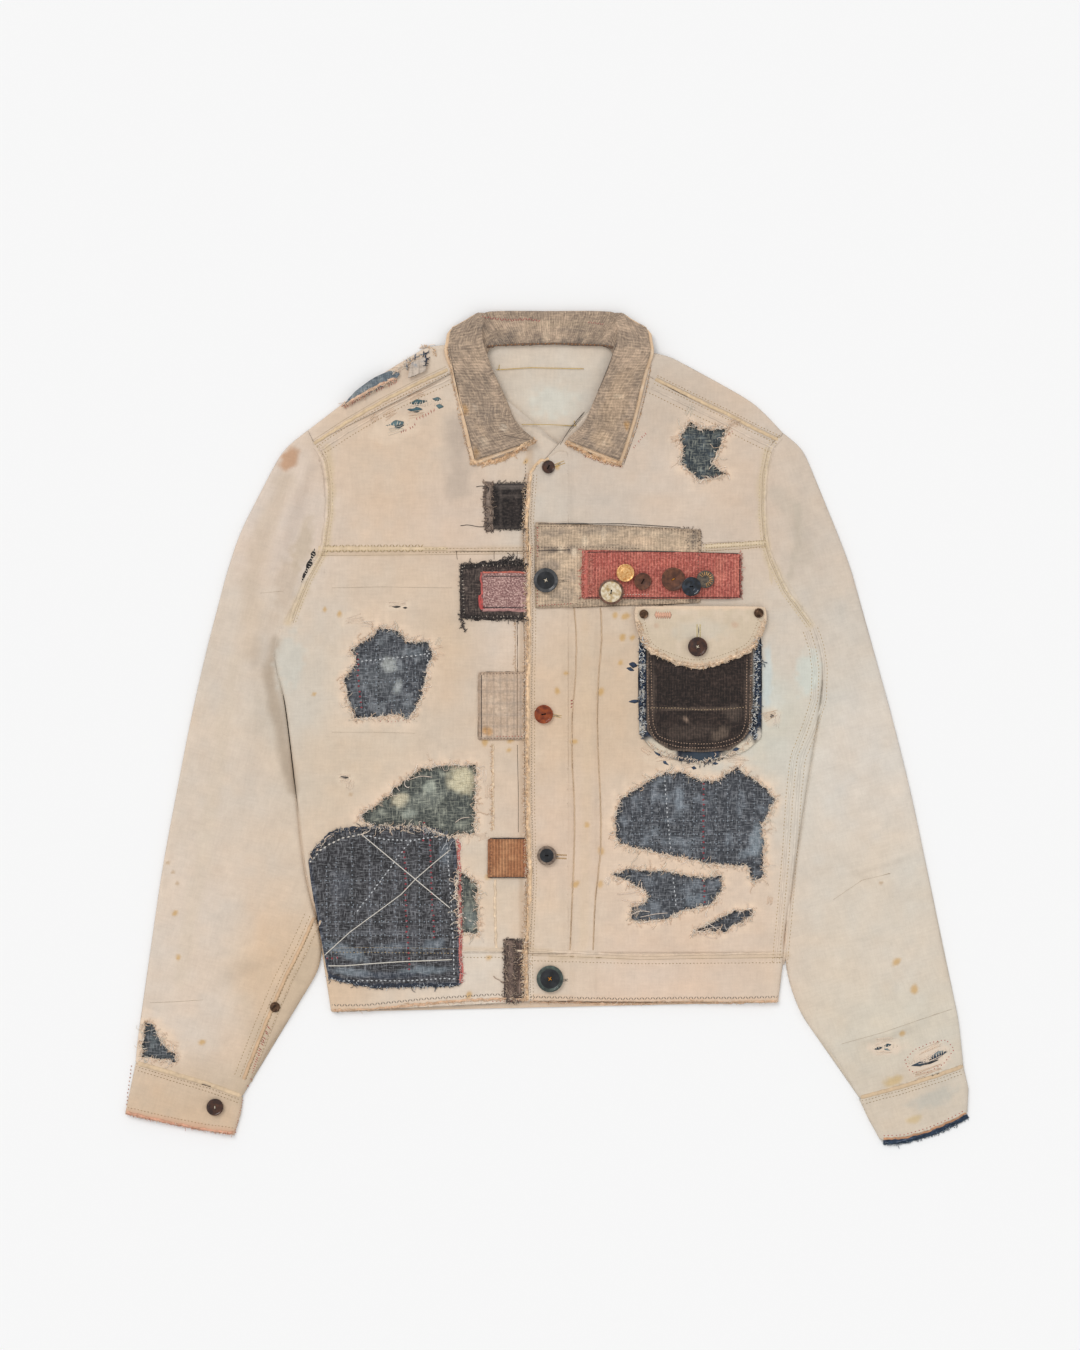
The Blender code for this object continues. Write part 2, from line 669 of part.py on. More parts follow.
def add_back():
    """Back panel, back waistband, and the back yoke that turns over the shoulders to the front."""
    first, last = YOKE_BACK_ROW * CURVE_STEPS, WAIST_ROW * CURVE_STEPS
    lines = {}
    for side in ("right", "left"):
        lines[side] = [
            shifted(point, side, -mix(SEAM_SHIFT, INSET, side_fold(index + CURVE_STEPS)))
            for index, point in enumerate(seam(side))
        ]
    outline = []
    for side, order in (("right", 1), ("left", -1)):
        line = lines[side][first : last + 1]
        line[0] = (line[0][0], line[0][1] - GAP)
        line[-1] = (line[-1][0], line[-1][1] + GAP / 2)
        outline += line[::order]
    add_plate("back_panel", "ecru denim", BACK, outline)

    right, left = HEM["right"], HEM["left"]
    top = lines["right"][last][1] - GAP / 2
    outline = (
        (right.outer_x + INSET, right.outer_y),
        (0, right.inner_y),
        (left.outer_x - INSET, left.outer_y),
        (lines["left"][last][0], top),
        (lines["right"][last][0], top),
    )
    add_plate("waistband_back", "ecru denim", BACK, outline)

    bottom = (lines["right"][first], lines["left"][first])
    places = range(len(SHOULDER["right"]))
    columns = [yoke_column("right", place, lines["right"], bottom) for place in places]
    neck = len(columns)
    for point in NECK_BACK:
        columns.append(neck_column(point, bottom, len(columns[0])))
    columns += [yoke_column("left", place, lines["left"], bottom) for place in reversed(places)]
    under = YOKE_BACK_ROW * CURVE_STEPS
    rows = [[column[row] for column in columns] for row in range(len(columns[0]))]
    neck_columns = range(neck, neck + len(NECK_BACK))
    add_sheet(
        "back_yoke",
        "ecru denim",
        rows,
        outside_up=False,
        keep=lambda row, column: row <= under or column not in neck_columns,
    )


def yoke_bottom(x, bottom):
    """The point of the back yoke's straight lower seam at x."""
    start, end = bottom
    return mix(start, end, (x - start[0]) / (end[0] - start[0]))


def yoke_column(side, place, line, bottom):
    """One column of the back yoke: up under the shoulder, round the fold and on to the seam."""
    shoulder = SHOULDER[side][place]
    first = YOKE_BACK_ROW * CURVE_STEPS
    fold, seam_end = (shoulder.fold_x, shoulder.fold_y), (shoulder.seam_x, shoulder.seam_y)
    points = []
    if place == 0:
        points = [(*line[index], 0.0) for index in range(first, -1, -1)]
        fold, seam_end = shifted(fold, side, -SEAM_SHIFT), shifted(seam_end, side, -SEAM_SHIFT)
    else:
        start = yoke_bottom(shoulder.back_x, bottom)
        for share in YOKE_SHARES:
            points.append((*mix(start, seam_end, share), 0.0))
    length = hypot(fold[0] - seam_end[0], fold[1] - seam_end[1])
    for depth, height in YOKE_TURN:
        points.append((*mix(fold, seam_end, depth / length), height * FRONT_TOP))
    points.append((*seam_end, FRONT_TOP))
    return [(x, y, z + lift(x, y)) for x, y, z in points]


def neck_column(point, bottom, count):
    """One column of the back yoke below the neck, its rows past the neck edge left out later."""
    first = YOKE_BACK_ROW * CURVE_STEPS
    start = yoke_bottom(point[0], bottom)
    points = [mix(start, point, share) for share in YOKE_SHARES]
    points += [(point[0], point[1] + step) for step in range(1, count - first)]
    return [(x, y, lift(x, y)) for x, y in points]


def collar_stations():
    """The whole collar's stations, one leaf end to the other."""
    mirrored = []
    for row in COLLAR[-2::-1]:
        places = {name: getattr(row, name) for name in ("neck_x", "roll_x", "edge_x")}
        scaled = {name: -place * COLLAR_LEFT_SCALE for name, place in places.items()}
        mirrored.append(row._replace(**scaled))
    return [Station(*row) for row in smooth([*COLLAR, *mirrored])]


def collar_section(row, along, trim):
    """Points round the collar at one station, from the neck seam over the roll to the edge."""
    roll = Vector((row.roll_x, row.roll_y))
    to_neck = Vector((row.neck_x, row.neck_y)) - roll
    to_edge = Vector((row.edge_x, row.edge_y)) - roll
    to_edge *= 1 - trim / to_edge.length
    out = Vector((-along.y, along.x)).normalized()
    neck_side, edge_side = (
        max(-1.0, min(1.0, way.dot(out) / (2 * row.radius))) for way in (to_neck, to_edge)
    )
    lean, spread = (edge_side + neck_side) / 2, (edge_side - neck_side) / 2
    middle, half = (row.stand_z + row.fall_z) / 2, (row.fall_z - row.stand_z) / 2
    points = [(row.neck_x, row.neck_y, row.neck_z)]
    for degrees in ROLL_ANGLES:
        angle = degrees * pi / 180
        reach = row.radius * (lean * (1 - cos(angle)) + spread * sin(angle))
        place = roll + out * reach
        points.append((*place, middle + half * sin(angle) + row.rise * cos(angle)))
    edge = roll + to_edge
    points.append((*mix(points[-1][:2], edge, 0.5), mix(row.fall_z, row.edge_z, 0.62)))
    points.append((*edge, row.edge_z))
    return [(x, y, max(0.0, z)) for x, y, z in points]


def collar_sections(stations, trim):
    """The collar's points at all its stations, its edge trimmed back."""
    rolls = [Vector((row.roll_x, row.roll_y)) for row in stations]
    ways = [after - before for before, after in zip([rolls[0], *rolls], [*rolls[1:], rolls[-1]])]
    return [collar_section(row, way, trim) for row, way in zip(stations, ways)]


def add_collar():
    """Top collar, and the under collar a layer further in that shows round its edge."""
    stations = collar_stations()
    step = UNDER_COLLAR_SHOWS / hypot(
        stations[1].edge_x - stations[0].edge_x, stations[1].edge_y - stations[0].edge_y
    )
    trimmed = list(stations)
    trimmed[0] = Station(*mix(stations[0], stations[1], step))
    trimmed[-1] = Station(*mix(stations[-1], stations[-2], step))
    add_sheet("collar_top", "ribbed grey cloth", collar_sections(trimmed, UNDER_COLLAR_SHOWS))

    above_seam = [row[1:] for row in collar_sections(stations, 0.0)]
    under = add_sheet("collar_under", "ecru denim", above_seam)
    mesh = under.data
    inner = bmesh.new()
    inner.from_mesh(mesh)
    inner.normal_update()
    for vert in inner.verts:
        vert.co -= vert.normal * COLLAR_LAYER * MM
    inner.to_mesh(mesh)
    inner.free()


def add_ribbed_patch():
    """The ribbed patch, which lies over the placket and down on to the left front."""
    rise = {-15: ON_PLACKET, LAP_END: ON_PLACKET, LAP_DOWN: ON_FRONT, 70: ON_FRONT, 142: ON_FRONT}
    rows = []
    for row in RIBBED_PATCH[::-1]:
        line = []
        for x, layer in rise.items():
            share = (x - row.outer_x) / (row.inner_x - row.outer_x)
            line.append((x, mix(row.outer_y, row.inner_y, share), layer * LAYER + CLOTH))
        rows.append(line)
    add_sheet("patch_ribbed", "ribbed grey cloth", rows)


def stand_on_origin():
    """Move the jacket so that its box stands on the origin, centred."""
    bpy.context.view_layer.update()
    graph = bpy.context.evaluated_depsgraph_get()
    xs, ys = [], []
    for piece in bpy.data.collections["patched jacket"].objects:
        if piece.type == "EMPTY":
            continue
        built = piece.evaluated_get(graph)
        points = [piece.matrix_world @ vert.co for vert in built.to_mesh().vertices]
        built.to_mesh_clear()
        xs += [point.x for point in points]
        ys += [point.y for point in points]
    middle = Vector(((min(xs) + max(xs)) / 2, (min(ys) + max(ys)) / 2, 0))
    bpy.data.objects["jacket"].location = -middle


def main():
    """Build the jacket."""
    for old in list(bpy.data.objects):
        bpy.data.objects.remove(old)
    for name in ("patched jacket", "hole cutters"):
        bpy.context.scene.collection.children.link(bpy.data.collections.new(name))
    bpy.data.collections["patched jacket"].objects.link(bpy.data.objects.new("jacket", None))

    add_back()
    for side in ("right", "left"):
        add_fronts(side)
        add_sleeve(side)
        add_cuff(side)
    add_collar()
    add_ribbed_patch()
    for name, (finish_name, layer, outline) in PLATES.items():
        add_plate(name, finish_name, layer, outline)
    for name, button in BUTTONS.items():
        add_button(name, button)
    stand_on_origin()


main()
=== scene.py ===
"""Looks of the patched boro jacket: worn ecru denim, patches, frayed holes, stitches and buttons.

The jacket lies flat on its back. The tables are in millimetres, x from the button line and y
from the waistband's middle hem, and `world` turns them into the frame's metres. "right" and
"left" are the wearer's, so the right half has negative x.
"""

from collections import namedtuple
from math import cos, hypot, pi, radians, sin

import bmesh
import bpy
import numpy as np
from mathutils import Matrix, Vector
from mathutils.bvhtree import BVHTree
from mathutils.geometry import delaunay_2d_cdt
from mathutils.kdtree import KDTree

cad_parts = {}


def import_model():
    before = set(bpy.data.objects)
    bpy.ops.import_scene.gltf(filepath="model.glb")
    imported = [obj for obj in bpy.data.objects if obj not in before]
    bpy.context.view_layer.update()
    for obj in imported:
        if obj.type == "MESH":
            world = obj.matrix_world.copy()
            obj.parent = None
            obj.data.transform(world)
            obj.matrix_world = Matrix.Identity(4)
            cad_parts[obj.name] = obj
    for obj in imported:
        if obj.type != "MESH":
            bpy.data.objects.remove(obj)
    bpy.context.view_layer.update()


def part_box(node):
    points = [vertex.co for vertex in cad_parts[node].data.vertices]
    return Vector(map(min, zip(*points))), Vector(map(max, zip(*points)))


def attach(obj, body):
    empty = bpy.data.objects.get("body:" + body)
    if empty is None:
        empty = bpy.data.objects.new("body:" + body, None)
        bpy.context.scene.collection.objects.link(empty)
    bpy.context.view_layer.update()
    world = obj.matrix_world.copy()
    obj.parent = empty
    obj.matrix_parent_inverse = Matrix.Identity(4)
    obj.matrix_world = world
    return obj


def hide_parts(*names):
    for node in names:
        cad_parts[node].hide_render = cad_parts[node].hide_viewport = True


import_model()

MM = 0.001
PLACKET_LOW = (-21, 54.2)
placket_corner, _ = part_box("placket")
ORIGIN = (placket_corner.x / MM - PLACKET_LOW[0], placket_corner.y / MM - PLACKET_LOW[1])

# Layers of cloth, as they lie on the back, which is layer 0.
CLOTH = 1.1
GAP = 0.3
LAYER = CLOTH + GAP
BACKING, FRONT, ON_FRONT, ON_LAP, ON_PLACKET = range(1, 6)
FRONT_TOP = FRONT * LAYER + CLOTH
# A cloth's thickness here; its solid is CLOTH thick.
WALL = 1.0
# The narrowest side that a piece of cloth is stated with.
INSET = CLOTH + GAP + 0.2
SEAM_SHIFT = 0.25
STEP = 2.0
CURVE_STEPS = 8

Row = namedtuple("Row", "outer_x outer_y inner_x inner_y")
Crease = namedtuple("Crease", "start_x start_y end_x end_y height width")

# Rows of the sleeves, shoulder to cuff seam, from the outer fold to the inner edge, which is
# the armhole down to the underarm row and the body's side down to the waist row.
YOKE_ROW, UNDERARM_ROW, WAIST_ROW = 3, 6, 10
SLEEVE_ROWS = {
    "right": (
        Row(-231, 551, -225, 539), Row(-255, 530, -216, 509), Row(-276, 492, -215, 476),
        Row(-295, 454, -219, 436), Row(-308, 416, -234, 408), Row(-318, 378, -250, 376),
        Row(-328, 340, -263, 342), Row(-341, 283, -253, 290), Row(-356, 207, -243, 209),
        Row(-370, 131, -234, 133), Row(-381, 55, -218, 54), Row(-389, -2, -241, 5),
        Row(-393, -28, -267, -35), Row(-395, -50, -293, -82),
    ),
    "left": (
        Row(221, 548, 214, 539), Row(240, 530, 204, 504), Row(256, 492, 201, 473),
        Row(272, 454, 203, 446), Row(286, 416, 216, 415), Row(296, 378, 242, 379),
        Row(307, 340, 257, 337), Row(323, 283, 256, 290), Row(342, 207, 242, 201),
        Row(358, 131, 230, 119), Row(373, 55, 222, 54), Row(386, -2, 237, -2),
        Row(390, -33, 271, -48), Row(392, -52, 293, -84),
    ),
}
SLEEVE_LOFT = 2.0
SLEEVE_FOLDS = {
    "right": (
        Crease(-226, 532, -254, 466, 4.0, 11),
        Crease(-240, 505, -262, 418, 5.5, 13),
        Crease(-268, 400, -300, 250, 5.0, 18),
        Crease(-274, 310, -318, 150, 3.5, 17),
        Crease(-250, 70, -330, 24, 4.0, 15),
    ),
    "left": (
        Crease(222, 520, 246, 440, 4.0, 12),
        Crease(236, 440, 268, 350, 4.5, 15),
        Crease(270, 330, 300, 190, 4.5, 18),
        Crease(262, 160, 340, 110, 3.0, 15),
        Crease(274, -34, 366, 0, 4.0, 13),
    ),
}
# Smaller creases of the sleeves and the body: ridges, and troughs where the height is negative.
SMALL_CREASES = (
    Crease(-232, 180, -262, 240, 0.9, 6), Crease(-262, 250, -268, 330, -0.8, 7),
    Crease(-330, 10, -385, 2, 0.9, 5), Crease(-300, 120, -362, 96, 0.7, 9),
    Crease(-280, 470, -240, 440, 0.6, 8), Crease(-320, 200, -300, 60, -0.7, 12),
    Crease(-250, 40, -300, -30, 0.8, 8), Crease(-350, 60, -320, -20, 0.7, 10),
    Crease(270, 126, 352, 152, 1.3, 5), Crease(262, 60, 330, 90, 0.6, 8),
    Crease(234, 480, 226, 412, -1.0, 7), Crease(330, 30, 372, -20, 0.6, 8),
    Crease(300, 250, 330, 120, -0.7, 13), Crease(280, 20, 330, -30, 0.7, 8),
    Crease(-200, 420, -140, 360, 0.5, 12), Crease(-180, 400, -60, 404, 0.3, 5),
    Crease(-190, 262, -110, 268, 0.5, 6), Crease(-220, 250, -150, 300, -0.4, 9),
    Crease(-100, 520, -70, 460, 0.5, 11), Crease(-180, 530, -120, 500, 0.4, 10),
    Crease(60, 330, 62, 100, 0.35, 6), Crease(150, 470, 190, 440, 0.5, 9),
    Crease(90, 520, 60, 470, 0.5, 11), Crease(210, 300, 200, 220, 0.6, 8),
    Crease(60, 240, 180, 236, 0.5, 7), Crease(-80, 340, -74, 250, 0.3, 6),
    Crease(200, 100, 120, 70, 0.4, 9), Crease(-60, 230, -66, 70, 0.35, 6),
    Crease(40, 60, 190, 66, 0.35, 5), Crease(-190, 30, -80, 26, 0.4, 6),
)

# Cuffs, seam to lower edge, as the sleeve's rows.
CUFF_ROWS = {
    "right": (Row(-395, -51, -293, -83), Row(-400, -75, -295, -99), Row(-405, -99, -301, -119)),
    "left": (Row(392, -53, 293, -85), Row(397, -75, 302, -104), Row(396, -97, 313, -124)),
}
CUFF_BOW = {"right": 1.0, "left": 5.0}

# Neck and front edges of the yokes, the fronts' edges, the lap, the pleat and the hem.
YOKE_ENDS = {
    "right": (
        (-79, 611), (-66, 585), (-48, 562), (-31, 547), (-8, 538), (12, 534), (13, 436.3),
    ),
    "left": (
        (74, 611), (62, 585), (46, 562), (28, 547), (9, 536), (-13, 515), (-19, 437.3),
    ),
}
FRONT_EDGE = {"right": 13, "left": -19}
LAP_END, PLEAT_VALLEY, PLEAT_START, PLEAT_END, PLEAT_DOWN = 17, 20.5, 23, 41, 45
PLEAT_TOP, PLEAT_FADE = 372, 14
HEM = {"right": Row(-209, -2, 13, 10), "left": Row(216, 7, -21, 9)}

# Back yoke, armhole to neck on each side: the shoulder fold and the seam on the front.
YOKE_BACK_ROW = 2
Shoulder = namedtuple("Shoulder", "fold_x fold_y seam_x seam_y")
SHOULDER = {
    "right": (
        Shoulder(-231, 551, -225, 539), Shoulder(-201, 574, -196, 555),
        Shoulder(-164, 602, -162, 574), Shoulder(-140, 617, -135, 586),
        Shoulder(-119, 629, -106, 600), Shoulder(-99, 632, -79, 612),
    ),
    "left": (
        Shoulder(221, 548, 214, 539), Shoulder(194, 575, 190, 552),
        Shoulder(163, 594, 158, 568), Shoulder(137, 608, 130, 583),
        Shoulder(114, 620, 101, 597), Shoulder(94, 625, 74, 612),
    ),
}
NECK_BACK = ((-62, 628), (-40, 634), (0, 635), (40, 634), (60, 628))
COLLAR_LAYER = CLOTH + 0.75
COLLAR_LIFT = CLOTH + COLLAR_LAYER + GAP
LIFT_LOW_Y, LIFT_HIGH_Y = 588, 610
LIFT_FAR_X, LIFT_NEAR_X = 128, 97

# Collar, from the end of one leaf to the middle of the back: where it is sewn on, where it
# rolls over, and its outer edge, with the heights of its outer face.
Station = namedtuple(
    "Station", "neck_x neck_y neck_z roll_x roll_y radius stand_z fall_z rise edge_x edge_y edge_z"
)
COLLAR = (
    Station(-21, 536, 5.8, -14, 541, 3.6, 5.8, 13.2, 0.0, -75, 517, 8.2),
    Station(-38, 549, 4.9, -32, 557, 3.6, 4.9, 12.4, 0.0, -83, 552, 7.6),
    Station(-55, 566, 4.4, -43, 581, 3.8, 4.4, 12.0, 0.0, -89, 580, 7.6),
    Station(-68, 590, 5.0, -54, 604, 4.2, 6.4, 13.0, 0.3, -95, 604, 9.6),
    Station(-63, 612, 7.2, -62, 626, 4.7, 10.6, 15.2, 1.2, -101, 623, 12.0),
    Station(-60, 624, 8.3, -67, 641, 6.8, 12.2, 12.8, 3.2, -100, 636, 9.6),
    Station(-54, 630, 8.3, -69, 652, 6.0, 11.0, 9.4, 3.0, -98, 645, 5.6),
    Station(-46, 631, 8.1, -65, 660, 5.0, 9.8, 4.4, 2.0, -90, 648, 1.6),
    Station(-36, 631, 8.0, -52, 664, 3.9, 8.0, 0.0, 0.0, -64, 624, 0.0),
    Station(0, 632, 8.0, 0, 664, 3.9, 8.0, 0.0, 0.0, 0, 613, 0.0),
)
COLLAR_LEFT_SCALE = 0.965
ROLL_ANGLES = (-90, -68, -45, -22, 0, 22, 45, 68, 90)
UNDER_COLLAR_SHOWS = 3.5

# Holes worn through the cloth, each backed by older denim.
HOLES = {
    "front_right": (
        (-162, 364, -142, 359, -138, 350, -116, 350, -112, 339, -118, 323, -121, 301, -135, 276,
            -145, 280, -187, 277, -197, 313, -185, 331, -190, 342, -169, 357),
        (-184, 183, -162, 198, -143, 216, -122, 230, -96, 232, -71, 233, -73, 168, -98, 165, -120, 175,
            -167, 175),
        (-89, 133, -76, 126, -70, 121, -70, 73, -86, 73),
    ),
    "yoke_left": (
        (133, 559, 141, 551, 168, 553, 159, 533, 153, 520, 168, 508, 141, 504, 123, 520, 125, 536, 121, 542),
    ),
    "front_left": (
        (176, 231, 194, 218, 214, 201, 200, 176, 203, 155, 201, 127, 191, 122, 186, 137, 145, 140,
            91, 152, 64, 158, 59, 180, 68, 203, 85, 213, 103, 224, 122, 226, 142, 218, 158, 218),
        (59, 129, 73, 134, 109, 132, 133, 127, 162, 127, 163, 112, 148, 99, 124, 94, 109, 86, 77, 84,
            77, 97, 92, 106, 87, 114),
        (135, 75, 151, 83, 171, 93, 191, 96, 192, 90, 166, 75),
    ),
    "sleeve_right_upper": (
        (-386, -12, -378, -14, -369, -33, -357, -42, -357, -49, -388, -44),
    ),
}

# Flat pieces: finish, layer and outline.
PLATES = {
    "backing_chest_right": (BACKING, (-206, 268, -103, 268, -103, 372, -206, 372)),
    "backing_side_right": (BACKING, (-192, 66, -62, 66, -62, 242, -192, 242)),
    "backing_yoke_left": (BACKING, (113, 495, 178, 495, 178, 567, 113, 567)),
    "backing_front_left": (BACKING, (51, 66, 213, 66, 222, 238, 51, 238)),
    "backing_sleeve_right": (BACKING, (-389, -48, -346, -60, -346, -6, -387, -6)),
    "cuff_left_lining": (BACKING, (300, -90, 390, -62, 392, -84, 393.5, -99, 388, -105, 351, -120,
        322, -128, 317, -127)),
    "placket": (ON_LAP, (-21, 54.2, 16, 54.2, 16, 530, 8, 531, -10, 520, -21, 507)),
    "patch_plaid": (ON_FRONT, (-60, 457, -20.5, 457, -20.5, 500, -60, 500)),
    "patch_black": (ON_FRONT, (-86, 372, -20.5, 372, -20.5, 423, -86, 423)),
    "patch_mauve": (ON_LAP, (-66, 380, -22, 380, -22, 416, -66, 416)),
    "patch_check": (ON_FRONT, (-69, 257, -20.5, 257, -20.5, 321, -69, 321)),
    "patch_tan": (ON_FRONT, (-60, 126, -20.5, 126, -20.5, 163, -60, 163)),
    "patch_dark": (ON_FRONT, (-44, 11, -26, 11, -26, 66, -44, 66)),
    "patch_sashiko": (ON_FRONT, (-211, 31, -182, 24, -157, 22, -120, 23, -85, 24, -87, 86, -91, 162,
        -98, 166, -120, 174, -167, 174, -204, 172, -219, 160, -231, 141)),
    "patch_coral": (ON_LAP, (31, 391, 180, 391, 180, 433, 31, 437)),
    "pocket_underlay": (ON_FRONT, (84, 262, 100, 245, 124, 237, 153, 237, 184, 245, 199, 258, 199, 359,
        84, 359)),
    "pocket": (ON_LAP, (91, 266, 100, 255, 113, 247, 142, 245, 170, 247, 182, 256, 191, 270, 191, 366,
        91, 366)),
    "pocket_flap": (ON_PLACKET, (80, 383, 80, 366, 91, 342, 119, 329, 139, 326, 156, 329, 180, 336,
        196, 347, 204, 368, 204, 383)),
    "patch_shoulder_indigo": (ON_FRONT, (-198, 573, -184, 580, -163, 592, -147, 599, -143, 605,
        -153, 607, -171, 599, -187, 586)),
    "patch_shoulder_stripe": (ON_LAP, (-136, 600, -119, 607, -117, 621, -133, 614)),
}
RIBBED_PATCH = (-15, 463, -15, 381.5, 142, 387, 142, 456)


# ---------------------------------------------------------------- lines and noise


def pairs(line):
    """A line's points, which the tables give as one row of numbers."""
    line = np.asarray(line, float)
    return line.reshape(-1, 2) if line.ndim == 1 else line


def curve_through(points, steps=CURVE_STEPS):
    """Points on a smooth curve through the given ones, with `steps` spans between each pair."""
    points = pairs(points).tolist() if isinstance(points[0], (int, float)) else points
    ends = [points[0], *points, points[-1]]
    curve = []
    for before, start, end, after in zip(ends, ends[1:], ends[2:], ends[3:]):
        for step in range(steps):
            t = step / steps
            weights = (
                (2 - t) * t * t - t,
                (3 * t - 5) * t * t + 2,
                ((4 - 3 * t) * t + 1) * t,
                (t - 1) * t * t,
            )
            near = zip(before, start, end, after)
            curve.append(tuple(sum(w * c for w, c in zip(weights, four)) / 2 for four in near))
    curve.append(tuple(points[-1]))
    return curve


def mix(start, end, share):
    """The value or point a share of the way between two."""
    if isinstance(start, (int, float)):
        return start + (end - start) * share
    return tuple(a + (b - a) * share for a, b in zip(start, end))


def ramp(value, low, high):
    """0 at low and beyond it, 1 at high and beyond it, eased between."""
    t = np.clip((value - low) / (high - low), 0.0, 1.0)
    return t * t * (3 - 2 * t)


def evenly(line, step, closed=False):
    """The same line with its points about `step` apart."""
    line = pairs(line)
    line = np.vstack((line, line[:1])) if closed else line
    spans = np.hypot(*(line[1:, :2] - line[:-1, :2]).T)
    far = np.concatenate(([0.0], np.cumsum(spans)))
    count = max(2, round(far[-1] / step))
    stops = np.linspace(0, far[-1], count + 1)
    out = np.stack([np.interp(stops, far, line[:, axis]) for axis in range(line.shape[1])], axis=1)
    return out[:-1] if closed else out


def wobble(x, y, size, seed):
    """Smooth noise from -1 to 1 with lumps of the given size."""
    grid = np.random.default_rng(seed).uniform(-1, 1, (97, 97))
    u, v = np.asarray(x, float) / size + 1000, np.asarray(y, float) / size + 1000
    column, row = np.floor(u).astype(int), np.floor(v).astype(int)
    u, v = u - column, v - row
    u, v = u * u * (3 - 2 * u), v * v * (3 - 2 * v)
    a, b = grid[row % 97, column % 97], grid[row % 97, (column + 1) % 97]
    c, d = grid[(row + 1) % 97, column % 97], grid[(row + 1) % 97, (column + 1) % 97]
    return (a * (1 - u) + b * u) * (1 - v) + (c * (1 - u) + d * u) * v


def torn(outline, amount, seed, closed=True, step=1.1):
    """A cut edge as wear leaves it: stepped finely and moved in and out."""
    line = evenly(outline, step, closed)
    away = np.roll(line, -1, 0) - np.roll(line, 1, 0)
    away = np.stack((away[:, 1], -away[:, 0]), 1)
    away /= np.maximum(np.hypot(*away.T), 1e-6)[:, None]
    x, y = line.T
    move = 0.6 * wobble(x, y, 5.5, seed) + 0.45 * wobble(x, y, 1.9, seed + 1)
    if not closed:
        move[0] = move[-1] = 0
    return line + away * (move * amount)[:, None]


def within(x, y, outline):
    """Which of the points lie inside the outline."""
    found = np.zeros(len(x), bool)
    line = np.asarray(outline, float)[:, :2]
    for (x0, y0), (x1, y1) in zip(line, np.roll(line, -1, 0)):
        if y0 == y1:
            continue
        crossed = (y0 > y) != (y1 > y)
        found ^= crossed & (x < (x1 - x0) * (y - y0) / (y1 - y0) + x0)
    return found


def line_distance(x, y, line):
    """Distance to a line, and the line's third value at the nearest place if it has one."""
    line = pairs(line)
    best = np.full(len(x), 1e9)
    value = np.ones(len(x))
    for start, end in zip(line, line[1:]):
        along = end[:2] - start[:2]
        length = max(along @ along, 1e-9)
        t = np.clip(((x - start[0]) * along[0] + (y - start[1]) * along[1]) / length, 0, 1)
        gap = np.hypot(x - start[0] - t * along[0], y - start[1] - t * along[1])
        near = gap < best
        best = np.where(near, gap, best)
        if line.shape[1] > 2:
            value = np.where(near, start[2] + t * (end[2] - start[2]), value)
    return best, value


# ---------------------------------------------------------------- materials


def linear(code):
    """Linear colour of an sRGB hex value such as "#d7c5b3"."""
    parts = [int(code[n : n + 2], 16) / 255 for n in (1, 3, 5)]
    return [c / 12.92 if c <= 0.04045 else ((c + 0.055) / 1.055) ** 2.4 for c in parts]


def add(tree, kind, settings=None, out=0, **inputs):
    """Add a node with its settings and its inputs, values, colours or links, and give its output."""
    node = tree.nodes.new(kind)
    for name, value in (settings or {}).items():
        setattr(node, name, value)
    for name, value in inputs.items():
        key = int(name[1:]) if name[1:].isdigit() else name.replace("_", " ")
        if isinstance(value, bpy.types.NodeSocket):
            tree.links.new(value, node.inputs[key])
        else:
            code = isinstance(value, str)
            node.inputs[key].default_value = (*linear(value), 1.0) if code else value
    return node.outputs[out]


def start_material(name, roughness, metallic=0.0, sheen=0.0):
    """A material with its shader, ready for its nodes."""
    material = bpy.data.materials.new(name)
    material.use_nodes = True
    shader = material.node_tree.nodes["Principled BSDF"]
    shader.inputs["Roughness"].default_value = roughness
    shader.inputs["Metallic"].default_value = metallic
    if sheen:
        shader.inputs["Sheen Weight"].default_value = sheen
        shader.inputs["Sheen Roughness"].default_value = 0.6
    return material, material.node_tree, shader


SUM, LARGER = ({"operation": kind} for kind in ("ADD", "MAXIMUM"))
BLEND = {"data_type": "RGBA", "blend_type": "MIX"}
TINT = {"data_type": "RGBA", "blend_type": "MULTIPLY"}
MATH, SCALED, MIXED = "ShaderNodeMath", "ShaderNodeMapRange", "ShaderNodeMix"


